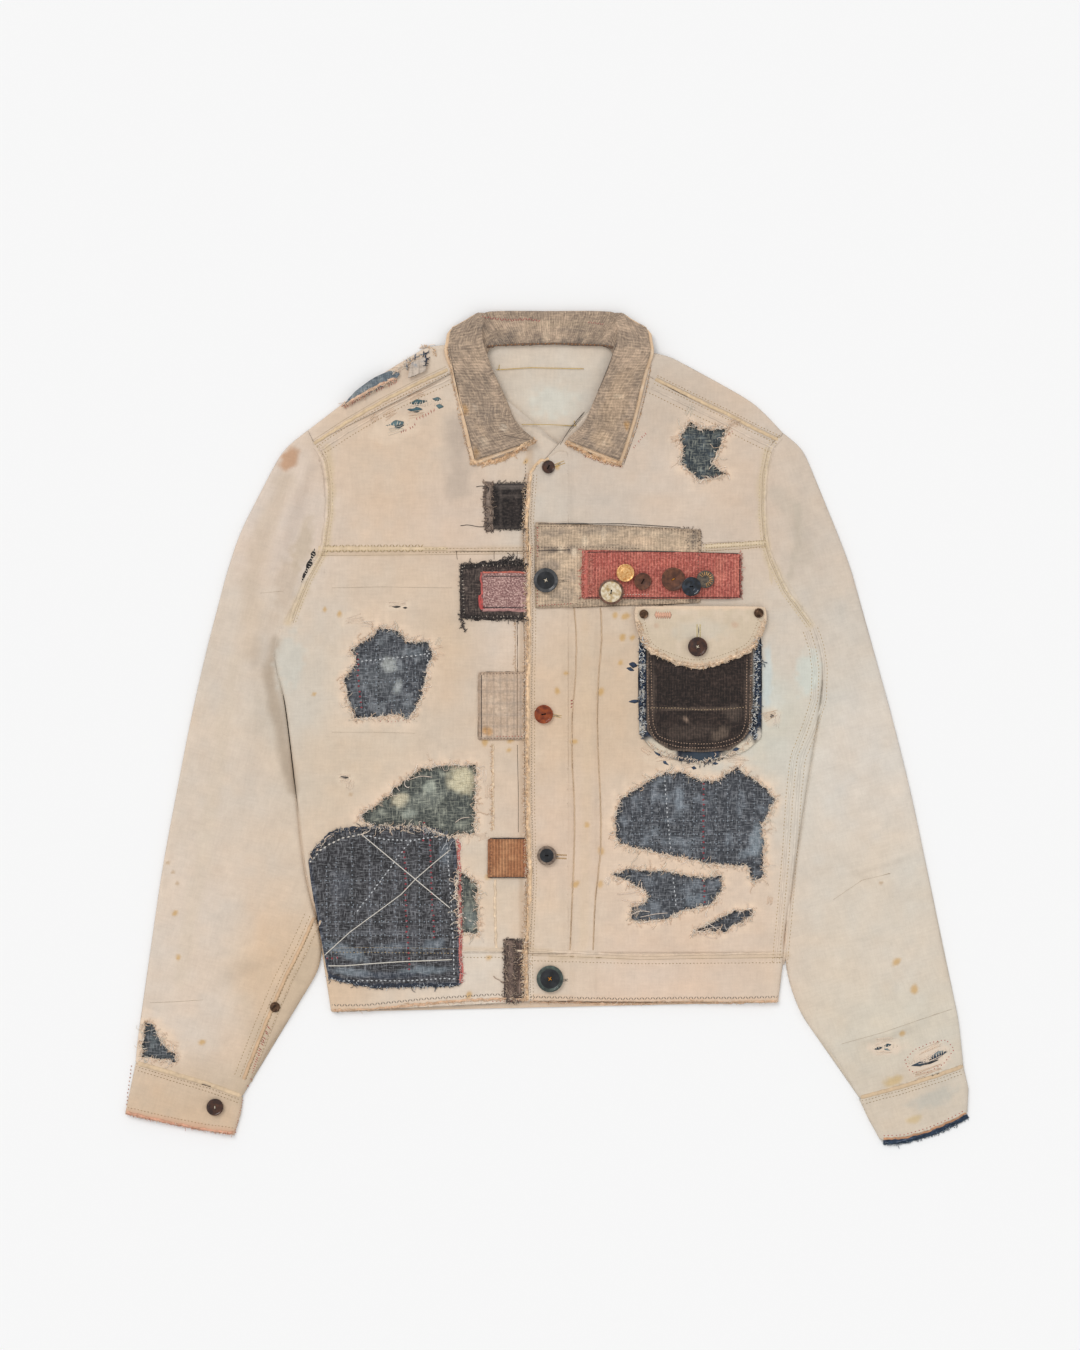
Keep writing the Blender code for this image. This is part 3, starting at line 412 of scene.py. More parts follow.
def cloth_material(
    name, mottle, slub, thread=2.0, long=7.0, fibre=None, wales=None, checks=(), depth=0.25
):
    """Woven cotton whose colour comes from the piece's own dye.

    mottle and slub are how strongly washing and thick threads vary the colour. The threads of
    real cloth are 0.6 mm apart, too fine to show, so they are drawn `thread` millimetres wide
    and `long` times as long. fibre is the colour and share of threads whose dye has worn off,
    wales the spacing, axis and depth of shade of corduroy's ridges, and checks lists woven
    lines in the same way with their colour.
    """
    material, tree, shader = start_material(name, 0.93, sheen=0.06)
    uv = add(tree, "ShaderNodeUVMap", {"uv_map": "grain"})
    colour = add(tree, "ShaderNodeAttribute", {"attribute_name": "dye"})
    lumps = []
    for size, along, across in (
        (thread, long, 1), (thread, 1, long), (26, 1, 1), (7.5, 1, 1), (0.7 * thread, 1, 1),
    ):
        scale = (1000 / size / along, 1000 / size / across, 1000 / size)
        mapped = add(tree, "ShaderNodeMapping", Vector=uv, Scale=scale)
        lumps.append(
            add(tree, "ShaderNodeTexNoise", Vector=mapped, Scale=1.0, Detail=3.0, Roughness=0.6)
        )
    weft, warp, washed, cloud, grain = lumps
    weave = add(tree, MATH, SUM, i0=warp, i1=weft)
    shades = [
        (washed, 0.3, 0.7, mottle), (cloud, 0.3, 0.7, 0.8 * mottle), (weave, 0.8, 1.2, slub),
        (grain, 0.3, 0.7, 0.8 * slub),
    ]
    relief = weave
    if wales:
        period, axis, shade = wales
        ridges = add(
            tree, "ShaderNodeTexWave", {"bands_direction": axis}, Vector=uv, Distortion=0.5,
            Scale=100 / period * pi,
        )
        # The ridges' colour: painted light on their tops and painted shade between them.
        shades.append((ridges, 0, 1, shade))
        relief = add(tree, MATH, SUM, i0=weave, i1=ridges)
    light = 1.0
    for value, low, high, amount in shades:
        shade = add(tree, SCALED, i0=value, i1=low, i2=high, i3=-amount, i4=amount)
        light = add(tree, MATH, SUM, i0=light, i1=shade)
    for period, axis, shade, code in checks:
        lines = add(
            tree, "ShaderNodeTexWave", {"bands_direction": axis}, Vector=uv, Distortion=0.3,
            Scale=100 / period * pi,
        )
        share = add(tree, SCALED, i0=lines, i1=0.7, i2=0.95, i3=0.0, i4=shade)
        colour = add(tree, MIXED, BLEND, 2, i0=share, i6=colour, i7=code)
    if fibre:
        code, share = fibre
        bare = add(tree, MATH, LARGER, i0=warp, i1=weft)
        bare = add(tree, SCALED, i0=bare, i1=0.5, i2=0.68, i3=0.0, i4=share)
        colour = add(tree, MIXED, BLEND, 2, i0=bare, i6=colour, i7=code)
    colour = add(tree, MIXED, TINT, 2, i0=1.0, i6=colour, i7=light)
    tree.links.new(colour, shader.inputs["Base Color"])
    raised = add(tree, "ShaderNodeBump", Height=relief, Distance=depth * MM)
    tree.links.new(raised, shader.inputs["Normal"])
    return material


# ---------------------------------------------------------------- cloth

PIECES = {}
RIMS = {}
WORN_EDGE = "#e8cfb6"


def world(points):
    """Millimetres of the tables as metres of the frame."""
    points = np.array(points, float).reshape(-1, 3)
    return (points + (*ORIGIN, 0)) * MM


def make_object(name, points, faces, material, uv=None, dye=None, wall=0.0):
    """An object from points in millimetres and its faces, riding on the jacket."""
    mesh = bpy.data.meshes.new(name)
    mesh.from_pydata(world(points).tolist(), [], [tuple(face) for face in faces])
    if uv is not None:
        layer = mesh.uv_layers.new(name="grain")
        order = np.empty(len(mesh.loops), int)
        mesh.loops.foreach_get("vertex_index", order)
        layer.data.foreach_set("uv", (np.asarray(uv, float)[order] * MM).ravel())
    if dye is not None:
        # The dye attribute holds each point's colour, and on the ecru cloth and the seam strips also painted
        # shade, with a painted highlight on the strips.
        attribute = mesh.color_attributes.new("dye", "FLOAT_COLOR", "POINT")
        rgba = np.ones((len(mesh.vertices), 4))
        rgba[:, :3] = dye
        attribute.data.foreach_set("color", rgba.ravel())
    mesh.shade_smooth()
    mesh.materials.append(material)
    piece = bpy.data.objects.new(name, mesh)
    bpy.context.scene.collection.objects.link(piece)
    if wall:
        thick = piece.modifiers.new("wall", "SOLIDIFY")
        thick.thickness = wall * MM
        thick.offset = -1
    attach(piece, "root")
    PIECES[name] = piece
    return piece


def net(outline, holes, step, rows=()):
    """A net of triangles that fills an outline, less its holes: its points and faces."""
    outline = np.asarray(outline, float)[:, :2]
    rims = [outline, *[np.asarray(hole, float)[:, :2] for hole in holes]]
    low, high = outline.min(0), outline.max(0)
    high_step = step * 0.866
    ys = np.arange(low[1] + high_step / 2, high[1], high_step)
    xs = np.arange(low[0] + step / 2, high[0], step)
    grid_x, grid_y = np.meshgrid(xs, ys)
    grid_x = grid_x + (np.arange(len(ys)) % 2 * step / 2)[:, None]
    x, y = grid_x.ravel(), grid_y.ravel()
    keep = within(x, y, outline)
    for hole in holes:
        keep &= ~within(x, y, hole)
    x, y = x[keep], y[keep]
    rows = [row for row in rows if len(row)]
    fixed = np.concatenate([*rims, *rows])
    tree = KDTree(len(fixed))
    for number, (px, py) in enumerate(fixed):
        tree.insert((px, py, 0), number)
    tree.balance()
    far = np.array([tree.find((px, py, 0))[2] > step * 0.55 for px, py in zip(x, y)], bool)
    points = [*rims, *rows, np.stack((x[far], y[far]), 1)]
    edges, start = [], 0
    for rim in rims:
        count = len(rim)
        edges += [(start + n, start + (n + 1) % count) for n in range(count)]
        start += count
    flat = [Vector(point) for point in np.concatenate(points)]
    verts, _, faces, *_ = delaunay_2d_cdt(flat, edges, [], 1, 1e-4, False)
    verts = np.array([tuple(v) for v in verts])
    faces = np.array([f for f in faces if len(f) == 3])
    for hole in rims[1:]:
        middle = verts[faces].mean(1)
        faces = faces[~within(middle[:, 0], middle[:, 1], hole)]
    used = np.unique(faces)
    renumber = np.full(len(verts), -1)
    renumber[used] = np.arange(len(used))
    return verts[used], renumber[faces]


FOLD_DEPTH = 4.4
FOLD_LEAST = 0.06
FOLD_ROWS = (0.35, 0.95, 1.9, 3.1)


def heading(line):
    """The direction of a line at each of its points."""
    way = np.gradient(line[:, :2], axis=0)
    return way / np.maximum(np.hypot(*way.T), 1e-6)[:, None]


def fold_rows(line, outline):
    """Rows of points just inside a folded edge, where the cloth turns down."""
    line = evenly(np.asarray(line, float), STEP)
    way = heading(line)
    across = np.stack((-way[:, 1], way[:, 0]), 1)
    rows = []
    for depth in FOLD_ROWS:
        for side in (1, -1):
            row = line[1:-1, :2] + across[1:-1] * depth * side
            inside = within(row[:, 0], row[:, 1], outline)
            if inside.mean() > 0.6:
                rows.append(row[inside])
    return rows


def height_left(distance):
    """The share of its height that cloth keeps near a fold, rounding down to least at the fold."""
    turn = np.clip(distance / FOLD_DEPTH, 0, 1)
    return FOLD_LEAST + (1 - FOLD_LEAST) * np.sqrt(np.maximum(0, 1 - (1 - turn) ** 2))


def folded(z, x, y, folds):
    """Heights with the cloth turned down to the floor at its folded edges."""
    for line in folds:
        distance, amount = line_distance(x, y, line)
        z = z * (1 - amount * (1 - height_left(distance)))
    return z


def sheet_of(outline):
    """Work out the smallest box round a piece of cloth's outline, turning in steps of 5 degrees; the box is
    not returned or kept.
    """
    line = np.asarray(outline, float)[:, :2]
    best = None
    for degrees in range(0, 90, 5):
        turn = radians(degrees)
        spin = np.array(((cos(turn), -sin(turn)), (sin(turn), cos(turn))))
        size = np.ptp(line @ spin, axis=0)
        if best is None or size[0] * size[1] < best[0] * best[1]:
            best = size


def facing(flat, triangles, up):
    """The triangles of a flat net, all turned to face up, or all down."""
    a, b, c = flat[triangles[:, 0]], flat[triangles[:, 1]], flat[triangles[:, 2]]
    cross = (b - a)[:, 0] * (c - a)[:, 1] - (b - a)[:, 1] * (c - a)[:, 0]
    wrong = cross < 0 if up else cross > 0
    turned = triangles.copy()
    turned[wrong] = turned[wrong][:, ::-1]
    return turned


def cut_cloth(
    name, outline, height, material, dye, nodes=(), holes=(), folds=(), step=STEP, grain=0.0,
    wall=WALL, ragged=0.35,
):
    """Cut a piece of cloth and lay it: its outline and worn holes, its surface and its dye."""
    seed = sum(ord(letter) for letter in name)
    edge = torn(outline, ragged, seed, step=max(1.3, step * 0.7))
    if len(folds):
        edge = evenly(outline, step * 0.8, True)
    rims = [torn(hole, 2.0, seed + 7 * n) for n, hole in enumerate(holes, 1)]
    rows = [row for line in folds for row in fold_rows(line, edge)]
    flat, faces = net(edge, rims, step, rows)
    x, y = flat.T
    z = folded(height(x, y), x, y, folds)
    turned = facing(flat, faces, True)
    spin = radians(grain)
    uv = np.stack((x * cos(spin) + y * sin(spin), -x * sin(spin) + y * cos(spin)), 1)
    colours = dye(x, y, z)
    if rims:
        RIMS[name] = rims
        away = np.min([line_distance(x, y, np.vstack((rim, rim[:1])))[0] for rim in rims], 0)
        worn = np.exp(-away / 3.4)
        z = z + worn * (0.35 + 0.35 * wobble(x, y, 3.2, 41))
        share = np.clip(1.7 * np.exp(-away / 6.5) * (0.6 + 0.5 * wobble(x, y, 5, 42)), 0, 0.9)[:, None]
        colours = colours * (1 - share) + np.array(linear(WORN_EDGE)) * share
    piece = make_object(name, np.stack((x, y, z), 1), turned, material, uv, colours, wall)
    if nodes:
        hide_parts(*nodes)
    sheet_of(edge)
    return piece


# ---------------------------------------------------------------- how the jacket lies


def crease_height(crease, x, y):
    """Height of one crease, uneven along its length, over its surroundings."""
    along = np.array((crease.end_x - crease.start_x, crease.end_y - crease.start_y), float)
    length = np.hypot(*along)
    along /= length
    t = ((x - crease.start_x) * along[0] + (y - crease.start_y) * along[1]) / length
    beside = (y - crease.start_y) * along[0] - (x - crease.start_x) * along[1]
    beside = beside + 0.35 * crease.width * wobble(t * length, beside * 0, 24, 11)
    body = np.where((t > 0) & (t < 1), np.sin(pi * np.clip(t, 0, 1)) ** 0.8, 0)
    side = np.where(beside > 0, crease.width * 1.25, crease.width * 0.8)
    return crease.height * body * np.maximum(0, 1 - (beside / side) ** 2) ** 2


def lie(x, y):
    """How the cloth lies over its plain form: soft lumps and the listed creases, never below."""
    rise = 0.6 + 0.34 * wobble(x, y, 41, 3) + 0.26 * wobble(x, y, 15, 5)
    rise += 0.13 * wobble(x, y, 6.5, 9)
    for crease in SMALL_CREASES:
        rise = rise + crease_height(crease, x, y)
    return np.maximum(rise, 0.03)


def lift(x, y):
    """How far the cloth near the neck rises over the collar's fall."""
    up = np.clip((y - LIFT_LOW_Y) / (LIFT_HIGH_Y - LIFT_LOW_Y), 0, 1)
    across = np.clip((LIFT_FAR_X - np.abs(x)) / (LIFT_FAR_X - LIFT_NEAR_X), 0, 1)
    return COLLAR_LIFT * up * across


def right_front(x, y):
    """Top of the right front."""
    return FRONT_TOP + lift(x, y) + lie(x, y) * ramp(x, 17, 5)


def left_front(x, y):
    """Top of the left front: over the right front's lap, then down, with the pleat beside it."""
    lap = 1 - np.clip((x - LAP_END) / (PLEAT_VALLEY - LAP_END), 0, 1)
    pleat = ramp(x, PLEAT_VALLEY, PLEAT_START) * (1 - ramp(x, PLEAT_END, PLEAT_DOWN))
    pleat = pleat * (1 - ramp(y, PLEAT_TOP - PLEAT_FADE, PLEAT_TOP))
    return FRONT_TOP + LAYER * np.maximum(lap, pleat) + lift(x, y) + lie(x, y)


def on_layer(layer):
    """The top of cloth lying on a layer of the jacket."""
    return lambda x, y: layer * LAYER + CLOTH + lie(x, y)


def seam(side):
    """The sleeve's inner edge, which the body shares down to the waist."""
    return curve_through([(row.inner_x, row.inner_y) for row in SLEEVE_ROWS[side]])


def outer_fold(side):
    """The sleeve's outer fold."""
    return curve_through([(row.outer_x, row.outer_y) for row in SLEEVE_ROWS[side]])


def side_fold(index):
    """How far the cloth folds down at a point of the seam: not at all in the armhole."""
    low = UNDERARM_ROW * CURVE_STEPS
    return min(1.0, max(0.0, (index - low) / CURVE_STEPS))


def shifted(point, side, shift):
    """A point moved across the seam, outwards when the shift is positive."""
    return (point[0] + (shift if side == "left" else -shift), point[1])


def sleeve_height(side):
    """Top of a sleeve: its loft and folds over its plain form."""
    outer, inner = np.array(outer_fold(side)), np.array(seam(side))

    def height(x, y):
        far, _ = line_distance(x, y, outer)
        near, _ = line_distance(x, y, inner)
        share = far / np.maximum(far + near, 1e-6)
        end, _ = line_distance(x, y, [outer[-1], inner[-1]])
        top, _ = line_distance(x, y, [outer[0], inner[0]])
        length = np.clip(end / 40, 0, 1) * np.clip(top / 22, 0, 1)
        total = SLEEVE_LOFT * np.sin(pi * share)
        for fold in SLEEVE_FOLDS[side]:
            total = total + crease_height(fold, x, y) * np.minimum(1, np.minimum(3 * share, 3 - 3 * share))
        return FRONT_TOP + total * length + lie(x, y)

    return height


# ---------------------------------------------------------------- how wash and wear left the dye

# Colours of the ecru cloth at places: its washed tone, which also carries painted shade from the folds and
# hollows there.
Wash = namedtuple("Wash", "x y colour")
WASHES_AND_SHADE = (
    Wash(-262, 470, "#d8c7b8"), Wash(-290, 340, "#d5c5b4"), Wash(-320, 220, "#d7c6b4"),
    Wash(-350, 80, "#dac9b8"), Wash(-345, 0, "#dac9b8"), Wash(-350, -90, "#d0b89e"),
    Wash(-150, 520, "#d7bfa7"), Wash(-86, 465, "#d6c1ae"), Wash(-130, 400, "#d6c1ab"),
    Wash(-60, 350, "#dac8b7"), Wash(-230, 300, "#d2c6b6"), Wash(-60, 120, "#d5c3ae"),
    Wash(-60, 30, "#dccdbc"), Wash(-4, 460, "#d2c4b4"), Wash(-4, 300, "#d6bea5"),
    Wash(-4, 150, "#d8c1ac"), Wash(-4, 80, "#dac4ad"), Wash(100, 32, "#dec6b1"),
    Wash(40, 300, "#d2baa0"), Wash(235, 340, "#d3c6b7"), Wash(203, 294, "#cecabc"),
    Wash(120, 70, "#d6bfaa"), Wash(50, 500, "#cebeae"), Wash(110, 520, "#d8c5b3"),
    Wash(190, 480, "#d2beab"), Wash(250, 480, "#d1c1b0"), Wash(300, 250, "#dbcfc1"),
    Wash(330, 60, "#d7cbbb"), Wash(340, -20, "#d5cab8"), Wash(350, -85, "#d1c3b1"),
    Wash(0, 596, "#d4cabb"), Wash(0, 618, "#d8c8b6"), Wash(-86, 351, "#cfb79c"),
    Wash(-262, 28, "#d6bca0"), Wash(-196, 238, "#d4c1ab"), Wash(108, 551, "#ccb8a4"),
)
# Stains, faded places and painted shade: middle, half length, half width, turn in degrees, colour, strength.
Spot = namedtuple("Spot", "x y length width turn colour strength")
SPOTS = (
    Spot(-249, 523, 14, 9, 60, "#b98a64", 0.75),
    Spot(324, -68, 12, 6, 20, "#c9ab74", 0.7),
    Spot(-249, 332, 34, 16, 85, "#cbc8bd", 0.7), Spot(244, 321, 26, 13, 80, "#cdd0c6", 0.85),
    # Spot(-251, 404) is painted shade in the fold at the right armpit.
    Spot(203, 294, 22, 16, 0, "#d3d2c8", 0.6), Spot(-251, 404, 34, 12, 80, "#c2ae99", 0.5),
    Spot(205, 314, 34, 6, 88, "#c4d0d0", 0.6), Spot(-236, 440, 30, 10, 75, "#c2b09a", 0.7),
    Spot(-88, 600, 10, 8, 0, "#c9b096", 0.6), Spot(2, 578, 26, 20, 0, "#d2d1c6", 0.7),
    Spot(52, 610, 8, 14, 0, "#c3b8aa", 0.6), Spot(362, -84, 26, 9, 20, "#bab6ab", 0.7),
    Spot(345, -104, 10, 4, 15, "#c9b083", 0.7), Spot(-150, 552, 34, 14, 20, "#e2cdb6", 0.5),
    Spot(-190, 371, 18, 8, 10, "#e0cbb4", 0.5), Spot(-146, 384, 16, 5, 5, "#e3cfb8", 0.6),
    Spot(-195, 220, 12, 9, 0, "#e0cdb6", 0.6), Spot(140, 240, 56, 8, 0, "#e2cfb8", 0.7),
    Spot(318, -35, 20, 9, 5, "#e2cdb8", 0.7), Spot(360, -46, 26, 14, 20, "#e2cdb8", 0.7),
    Spot(208, 279, 14, 10, 0, "#dccbb6", 0.7), Spot(-366, -28, 20, 12, -30, "#e2c8ae", 0.6),
)
# Small amber stains, by place and size.
SPOTS += tuple(
    Spot(x, y, 0.85 * size, 0.6 * size, 13 * x % 90, "#c79c56" if size > 3.5 else "#b79a78", 0.7)
    for x, y, size in (
        (-357, 92, 4), (-354, 50, 4), (-331, -30, 5), (-215, 381, 4), (-201, 376, 4), (-364, 140, 3),
        (-359, 131, 3), (-355, 120, 3), (328, 46, 6.5), (345, 20, 6.5), (333, -22, 5), (313, 121, 3),
        (61, 375, 5), (71, 374, 6), (68, 354, 5), (78, 354, 4.5), (6, 303, 5), (22, 255, 5),
        (47, 302, 6), (-63, 255, 6), (-39, 256, 5), (-59, 127, 5), (-78, 14, 5), (-59, 50, 4),
        (23, 120, 6), (47, 120, 6), (48, 151, 6), (-24, 521, 5), (6, 516, 4), (-40, 247, 4),
        (66, 330, 4), (34, 176, 3.6), (14, 320, 3.6), (-190, 205, 3), (-225, 300, 3.6),
    )
)
ECRU_LIGHT = 0.985
# Soiled bands, and painted shade in folds, hollows and gaps, along a line: its points, half width, colour and
# strength.
Band = namedtuple("Band", "line width colour strength")
BANDS = (
    Band((-251, 503, -272, 456, -284, 408, -286, 337), 15, "#cbb7a1", 0.6),
    # Painted shadow in the fold where the right sleeve goes under the body.
    Band((-262, 350, -268, 316, -256, 262, -246, 210), 9, "#ac9a86", 0.75),
    Band((-224, 56, -244, 5, -270, -35, -292, -78), 26, "#c2ae95", 0.7),
    Band((-300, 330, -330, 150, -352, 30), 12, "#d2c1ac", 0.4),
    # Painted shade in the hollow and the crease beside the left armhole.
    Band((214, 490, 232, 470, 240, 430), 13, "#c3b6a6", 0.6),
    Band((234, 478, 234, 442, 226, 411), 5, "#c0b3a2", 0.6),
    Band((-20, 530, -20, 60), 5, "#c6ab8e", 0.5),
    Band((-225, 62, 0, 56), 4, "#cdb598", 0.5),
    Band((225, 52, 0, 50), 4, "#cdb598", 0.5),
    Band((-225, 434, 0, 438), 5, "#c8ae90", 0.55),
    Band((205, 442, 140, 438), 5, "#cbb394", 0.5),
    Band((-88, 552, -88, 494), 17, "#bcab9b", 0.85),
    # Painted shadow in the gap beside the placket's edge.
    Band((-27, 500, -26, 380), 4, "#a98f76", 0.5), Band((-28, 372, -28, 68), 3.5, "#b89c80", 0.5),
    Band((-212, 534, -209, 499, -209, 473, -214, 437, -232, 404, -250, 368), 6, "#cdb58f", 0.5),
    Band((205, 530, 200, 499, 200, 473, 206, 430, 224, 396, 246, 366), 6, "#cdb894", 0.45),
        Band((-404, -97, -371, -105, -301, -117), 6, "#cfa183", 0.6),
    Band((-207, 2, -120, 8, -22, 12), 3, "#dcc3aa", 0.2), Band((-16, 12, 66, 8, 214, 9), 5, "#d9b899", 0.5),
    Band((32, 376, 34, 240, 31, 60), 7, "#d6bda0", 0.4),
)


def spotted(dye, x, y, spots):
    """A dye with stains, faded places and painted shade on it."""
    for spot in spots:
        turn = radians(spot.turn)
        u = (x - spot.x) * cos(turn) + (y - spot.y) * sin(turn)
        v = (y - spot.y) * cos(turn) - (x - spot.x) * sin(turn)
        away = np.hypot(u / spot.length, v / spot.width) + 0.25 * wobble(x, y, 4.5, 31)
        share = spot.strength * ramp(-away, -1.15, -0.45)[:, None]
        dye = dye * (1 - share) + np.array(linear(spot.colour)) * share
    return dye


def ecru_dye_and_shade(x, y, z):
    """The ecru denim's dye at places on the jacket: its washes, stains and soiled bands, and the painted
    shade of folds, hollows and gaps that some of them carry.
    """
    total = np.zeros((len(x), 3))
    weight = np.zeros(len(x))
    for wash_and_shade in WASHES_AND_SHADE:
        near = 1 / (((x - wash_and_shade.x) ** 2 + (y - wash_and_shade.y) ** 2) / 900 + 1) ** 2
        total += near[:, None] * np.array(linear(wash_and_shade.colour))
        weight += near
    dye = total / weight[:, None]
    cloud = (0.6 * wobble(x, y, 34, 35) + 0.4 * wobble(x, y, 11, 36))[:, None]
    dye = dye * (ECRU_LIGHT + cloud * np.array((0.035, -0.005, -0.045)))
    for band in BANDS:
        away, _ = line_distance(x, y, band.line)
        away = away / band.width + 0.2 * wobble(x, y, 12, 33)
        share = band.strength * ramp(-away, -1.1, -0.1)[:, None]
        dye = dye * (1 - share) + np.array(linear(band.colour)) * share
    return spotted(dye, x, y, SPOTS)


def plain_dye(code, paler=None, size=14, seed=50, spots=(), rim=None):
    """A dye faded to a paler colour in clouds of the given size, with spots and a worn rim."""

    def dye(x, y, z):
        colour = np.ones((len(x), 1)) * np.array(linear(code))
        if paler:
            cloud = 0.65 * wobble(x, y, size, seed) + 0.35 * wobble(x, y, size / 3, seed + 1)
            amount = ramp(cloud, 0.0, 0.7)[:, None]
            colour = colour * (1 - amount) + np.array(linear(paler)) * amount
        if rim:
            line, width, worn, strength = rim
            away, _ = line_distance(x, y, np.vstack((line, line[:1])))
            away = away / width + 0.3 * wobble(x, y, 3.5, seed + 2)
            amount = strength * ramp(-away, -1.2, -0.3)[:, None]
            colour = colour * (1 - amount) + np.array(linear(worn)) * amount
        return spotted(colour, x, y, spots)

    return dye


# ---------------------------------------------------------------- the denim pieces


def cut_fronts(side, denim):
    """Front yoke, front and waistband of one side."""
    line = [shifted(point, side, -SEAM_SHIFT) for point in seam(side)]
    height = left_front if side == "left" else right_front
    yoke_end, waist = YOKE_ROW * CURVE_STEPS, WAIST_ROW * CURVE_STEPS
    neck = curve_through(YOKE_ENDS[side][:-1], 4) + [YOKE_ENDS[side][-1]]
    shoulder = curve_through([(s.seam_x, s.seam_y) for s in SHOULDER[side]], 4)[1:-1]
    seam_y = YOKE_ENDS[side][-1][1]
    armhole = line[: yoke_end + 1]
    outline = armhole[::-1] + [(x, y - 2 * GAP) for x, y in shoulder] + neck
    holes = HOLES.get(f"yoke_{side}", ())
    cut_cloth(
        f"front_yoke_{side}", outline, height, denim, ecru_dye_and_shade, (f"yoke_{side}",), holes,
        ragged=0.1,
    )

    edge = FRONT_EDGE[side]
    body = [(line[yoke_end][0], line[yoke_end][1] - 0.05), *line[yoke_end + 1 : waist + 1]]
    bottom = line[waist][1]
    body[-1] = (line[waist][0], bottom + 0.03)
    outline = [(edge, seam_y - 0.05), *body, (edge, bottom + 0.03)]
    fold = [
        (x, y, side_fold(yoke_end + n)) for n, (x, y) in enumerate(body) if side_fold(yoke_end + n) > 0
    ]
    cut_cloth(
        f"front_panel_{side}", outline, height, denim, ecru_dye_and_shade, (f"front_{side}",),
        HOLES.get(f"front_{side}", ()), [fold], ragged=0.1,
    )

    hem = HEM[side]
    start = (line[waist][0], bottom - 0.03)
    outline = [start, (hem.outer_x, hem.outer_y), (hem.inner_x, hem.inner_y), (hem.inner_x, start[1])]
    fold = [(*start, 1.0), (hem.outer_x, hem.outer_y, 1.0)]
    cut_cloth(
        f"waistband_front_{side}", outline, height, denim, ecru_dye_and_shade, (f"waistband_{side}",),
        (), [fold], ragged=0.1,
    )


def cut_sleeve(side, denim):
    """Upper sleeve with its folds, and the flat sleeve under it."""
    outer, inner = outer_fold(side), seam(side)
    out = [shifted(outer[0], side, SEAM_SHIFT), *outer[1:]]
    into = [shifted(point, side, SEAM_SHIFT) for point in inner]
    folds = [
        [(x, y, 1.0) for x, y in out],
        [(x, y, side_fold(n)) for n, (x, y) in enumerate(into) if side_fold(n) > 0],
    ]
    cut_cloth(
        f"sleeve_top_{side}", out + into[::-1], sleeve_height(side), denim, ecru_dye_and_shade,
        (f"sleeve_{side}_upper",), HOLES.get(f"sleeve_{side}_upper", ()), folds,
        grain=-15 if side == "right" else 15,
    )
    out_line = [
        mix(a, b, INSET / hypot(a[0] - b[0], a[1] - b[1])) for a, b in zip(outer, inner)
    ]
    in_line = [
        shifted(b, side, mix(SEAM_SHIFT, INSET + SEAM_SHIFT, side_fold(n + CURVE_STEPS)))
        for n, b in enumerate(inner)
    ]
    lay_under(f"sleeve_below_{side}", out_line + in_line[::-1], denim, f"sleeve_{side}_under")


def lay_under(name, outline, denim, node):
    """A piece of the jacket's back, flat on what it lies on."""
    flat = lambda x, y: CLOTH + 0 * x
    cut_cloth(
        name, outline, flat, denim, ecru_dye_and_shade, (node,), step=7, ragged=0,
    )


def cut_cuff(side, denim):
    """Cuff: the layer that shows and the layer under it."""
    rows = CUFF_ROWS[side]
    low = rows[-1]
    bow = CUFF_BOW[side]
    bottom = [
        (x, y - bow * sin(pi * share))
        for share in (n / 12 for n in range(13))
        for x, y in [mix((low.outer_x, low.outer_y), (low.inner_x, low.inner_y), share)]
    ]
    outer = [(row.outer_x, row.outer_y) for row in rows[:-1]]
    inner = [(row.inner_x, row.inner_y) for row in rows[-2::-1]]
    folds = [
        [(x, y, 1.0) for x, y in [*outer, bottom[0]]],
        [(x, y, 1.0) for x, y in [bottom[-1], *inner]],
    ]
    cut_cloth(
        f"cuff_top_{side}", [*outer, *bottom, *inner], on_layer(FRONT), denim, ecru_dye_and_shade,
        (f"cuff_{side}_upper",), (), folds,
        grain=-17 if side == "right" else 17,
    )
    out_line, in_line = [], []
    for row in rows:
        out, into = row[:2], row[2:]
        share = INSET / hypot(out[0] - into[0], out[1] - into[1])
        out_line.append(mix(out, into, share))
        in_line.append(mix(into, out, share))
    lay_under(f"cuff_below_{side}", out_line + in_line[::-1], denim, f"cuff_{side}_under")


def cut_back(denim):
    """Back panel and waistband, flat on the floor, and the yoke that turns over the shoulders."""
    first, last = YOKE_BACK_ROW * CURVE_STEPS, WAIST_ROW * CURVE_STEPS
    lines = {
        side: [
            shifted(point, side, -mix(SEAM_SHIFT, INSET, side_fold(n + CURVE_STEPS)))
            for n, point in enumerate(seam(side))
        ]
        for side in ("right", "left")
    }
    outline = []
    for side, order in (("right", 1), ("left", -1)):
        line = lines[side][first : last + 1]
        line[0] = (line[0][0], line[0][1] - GAP)
        line[-1] = (line[-1][0], line[-1][1] + GAP / 2)
        outline += line[::order]
    lay_under("back_body", outline, denim, "back_panel")

    right, left = HEM["right"], HEM["left"]
    top = lines["right"][last][1] - GAP / 2
    outline = [
        (right.outer_x + INSET, right.outer_y), (0, right.inner_y),
        (left.outer_x - INSET, left.outer_y), (lines["left"][last][0], top),
        (lines["right"][last][0], top),
    ]
    lay_under("waistband_behind", outline, denim, "waistband_back")
    cut_back_yoke(lines, first, denim)


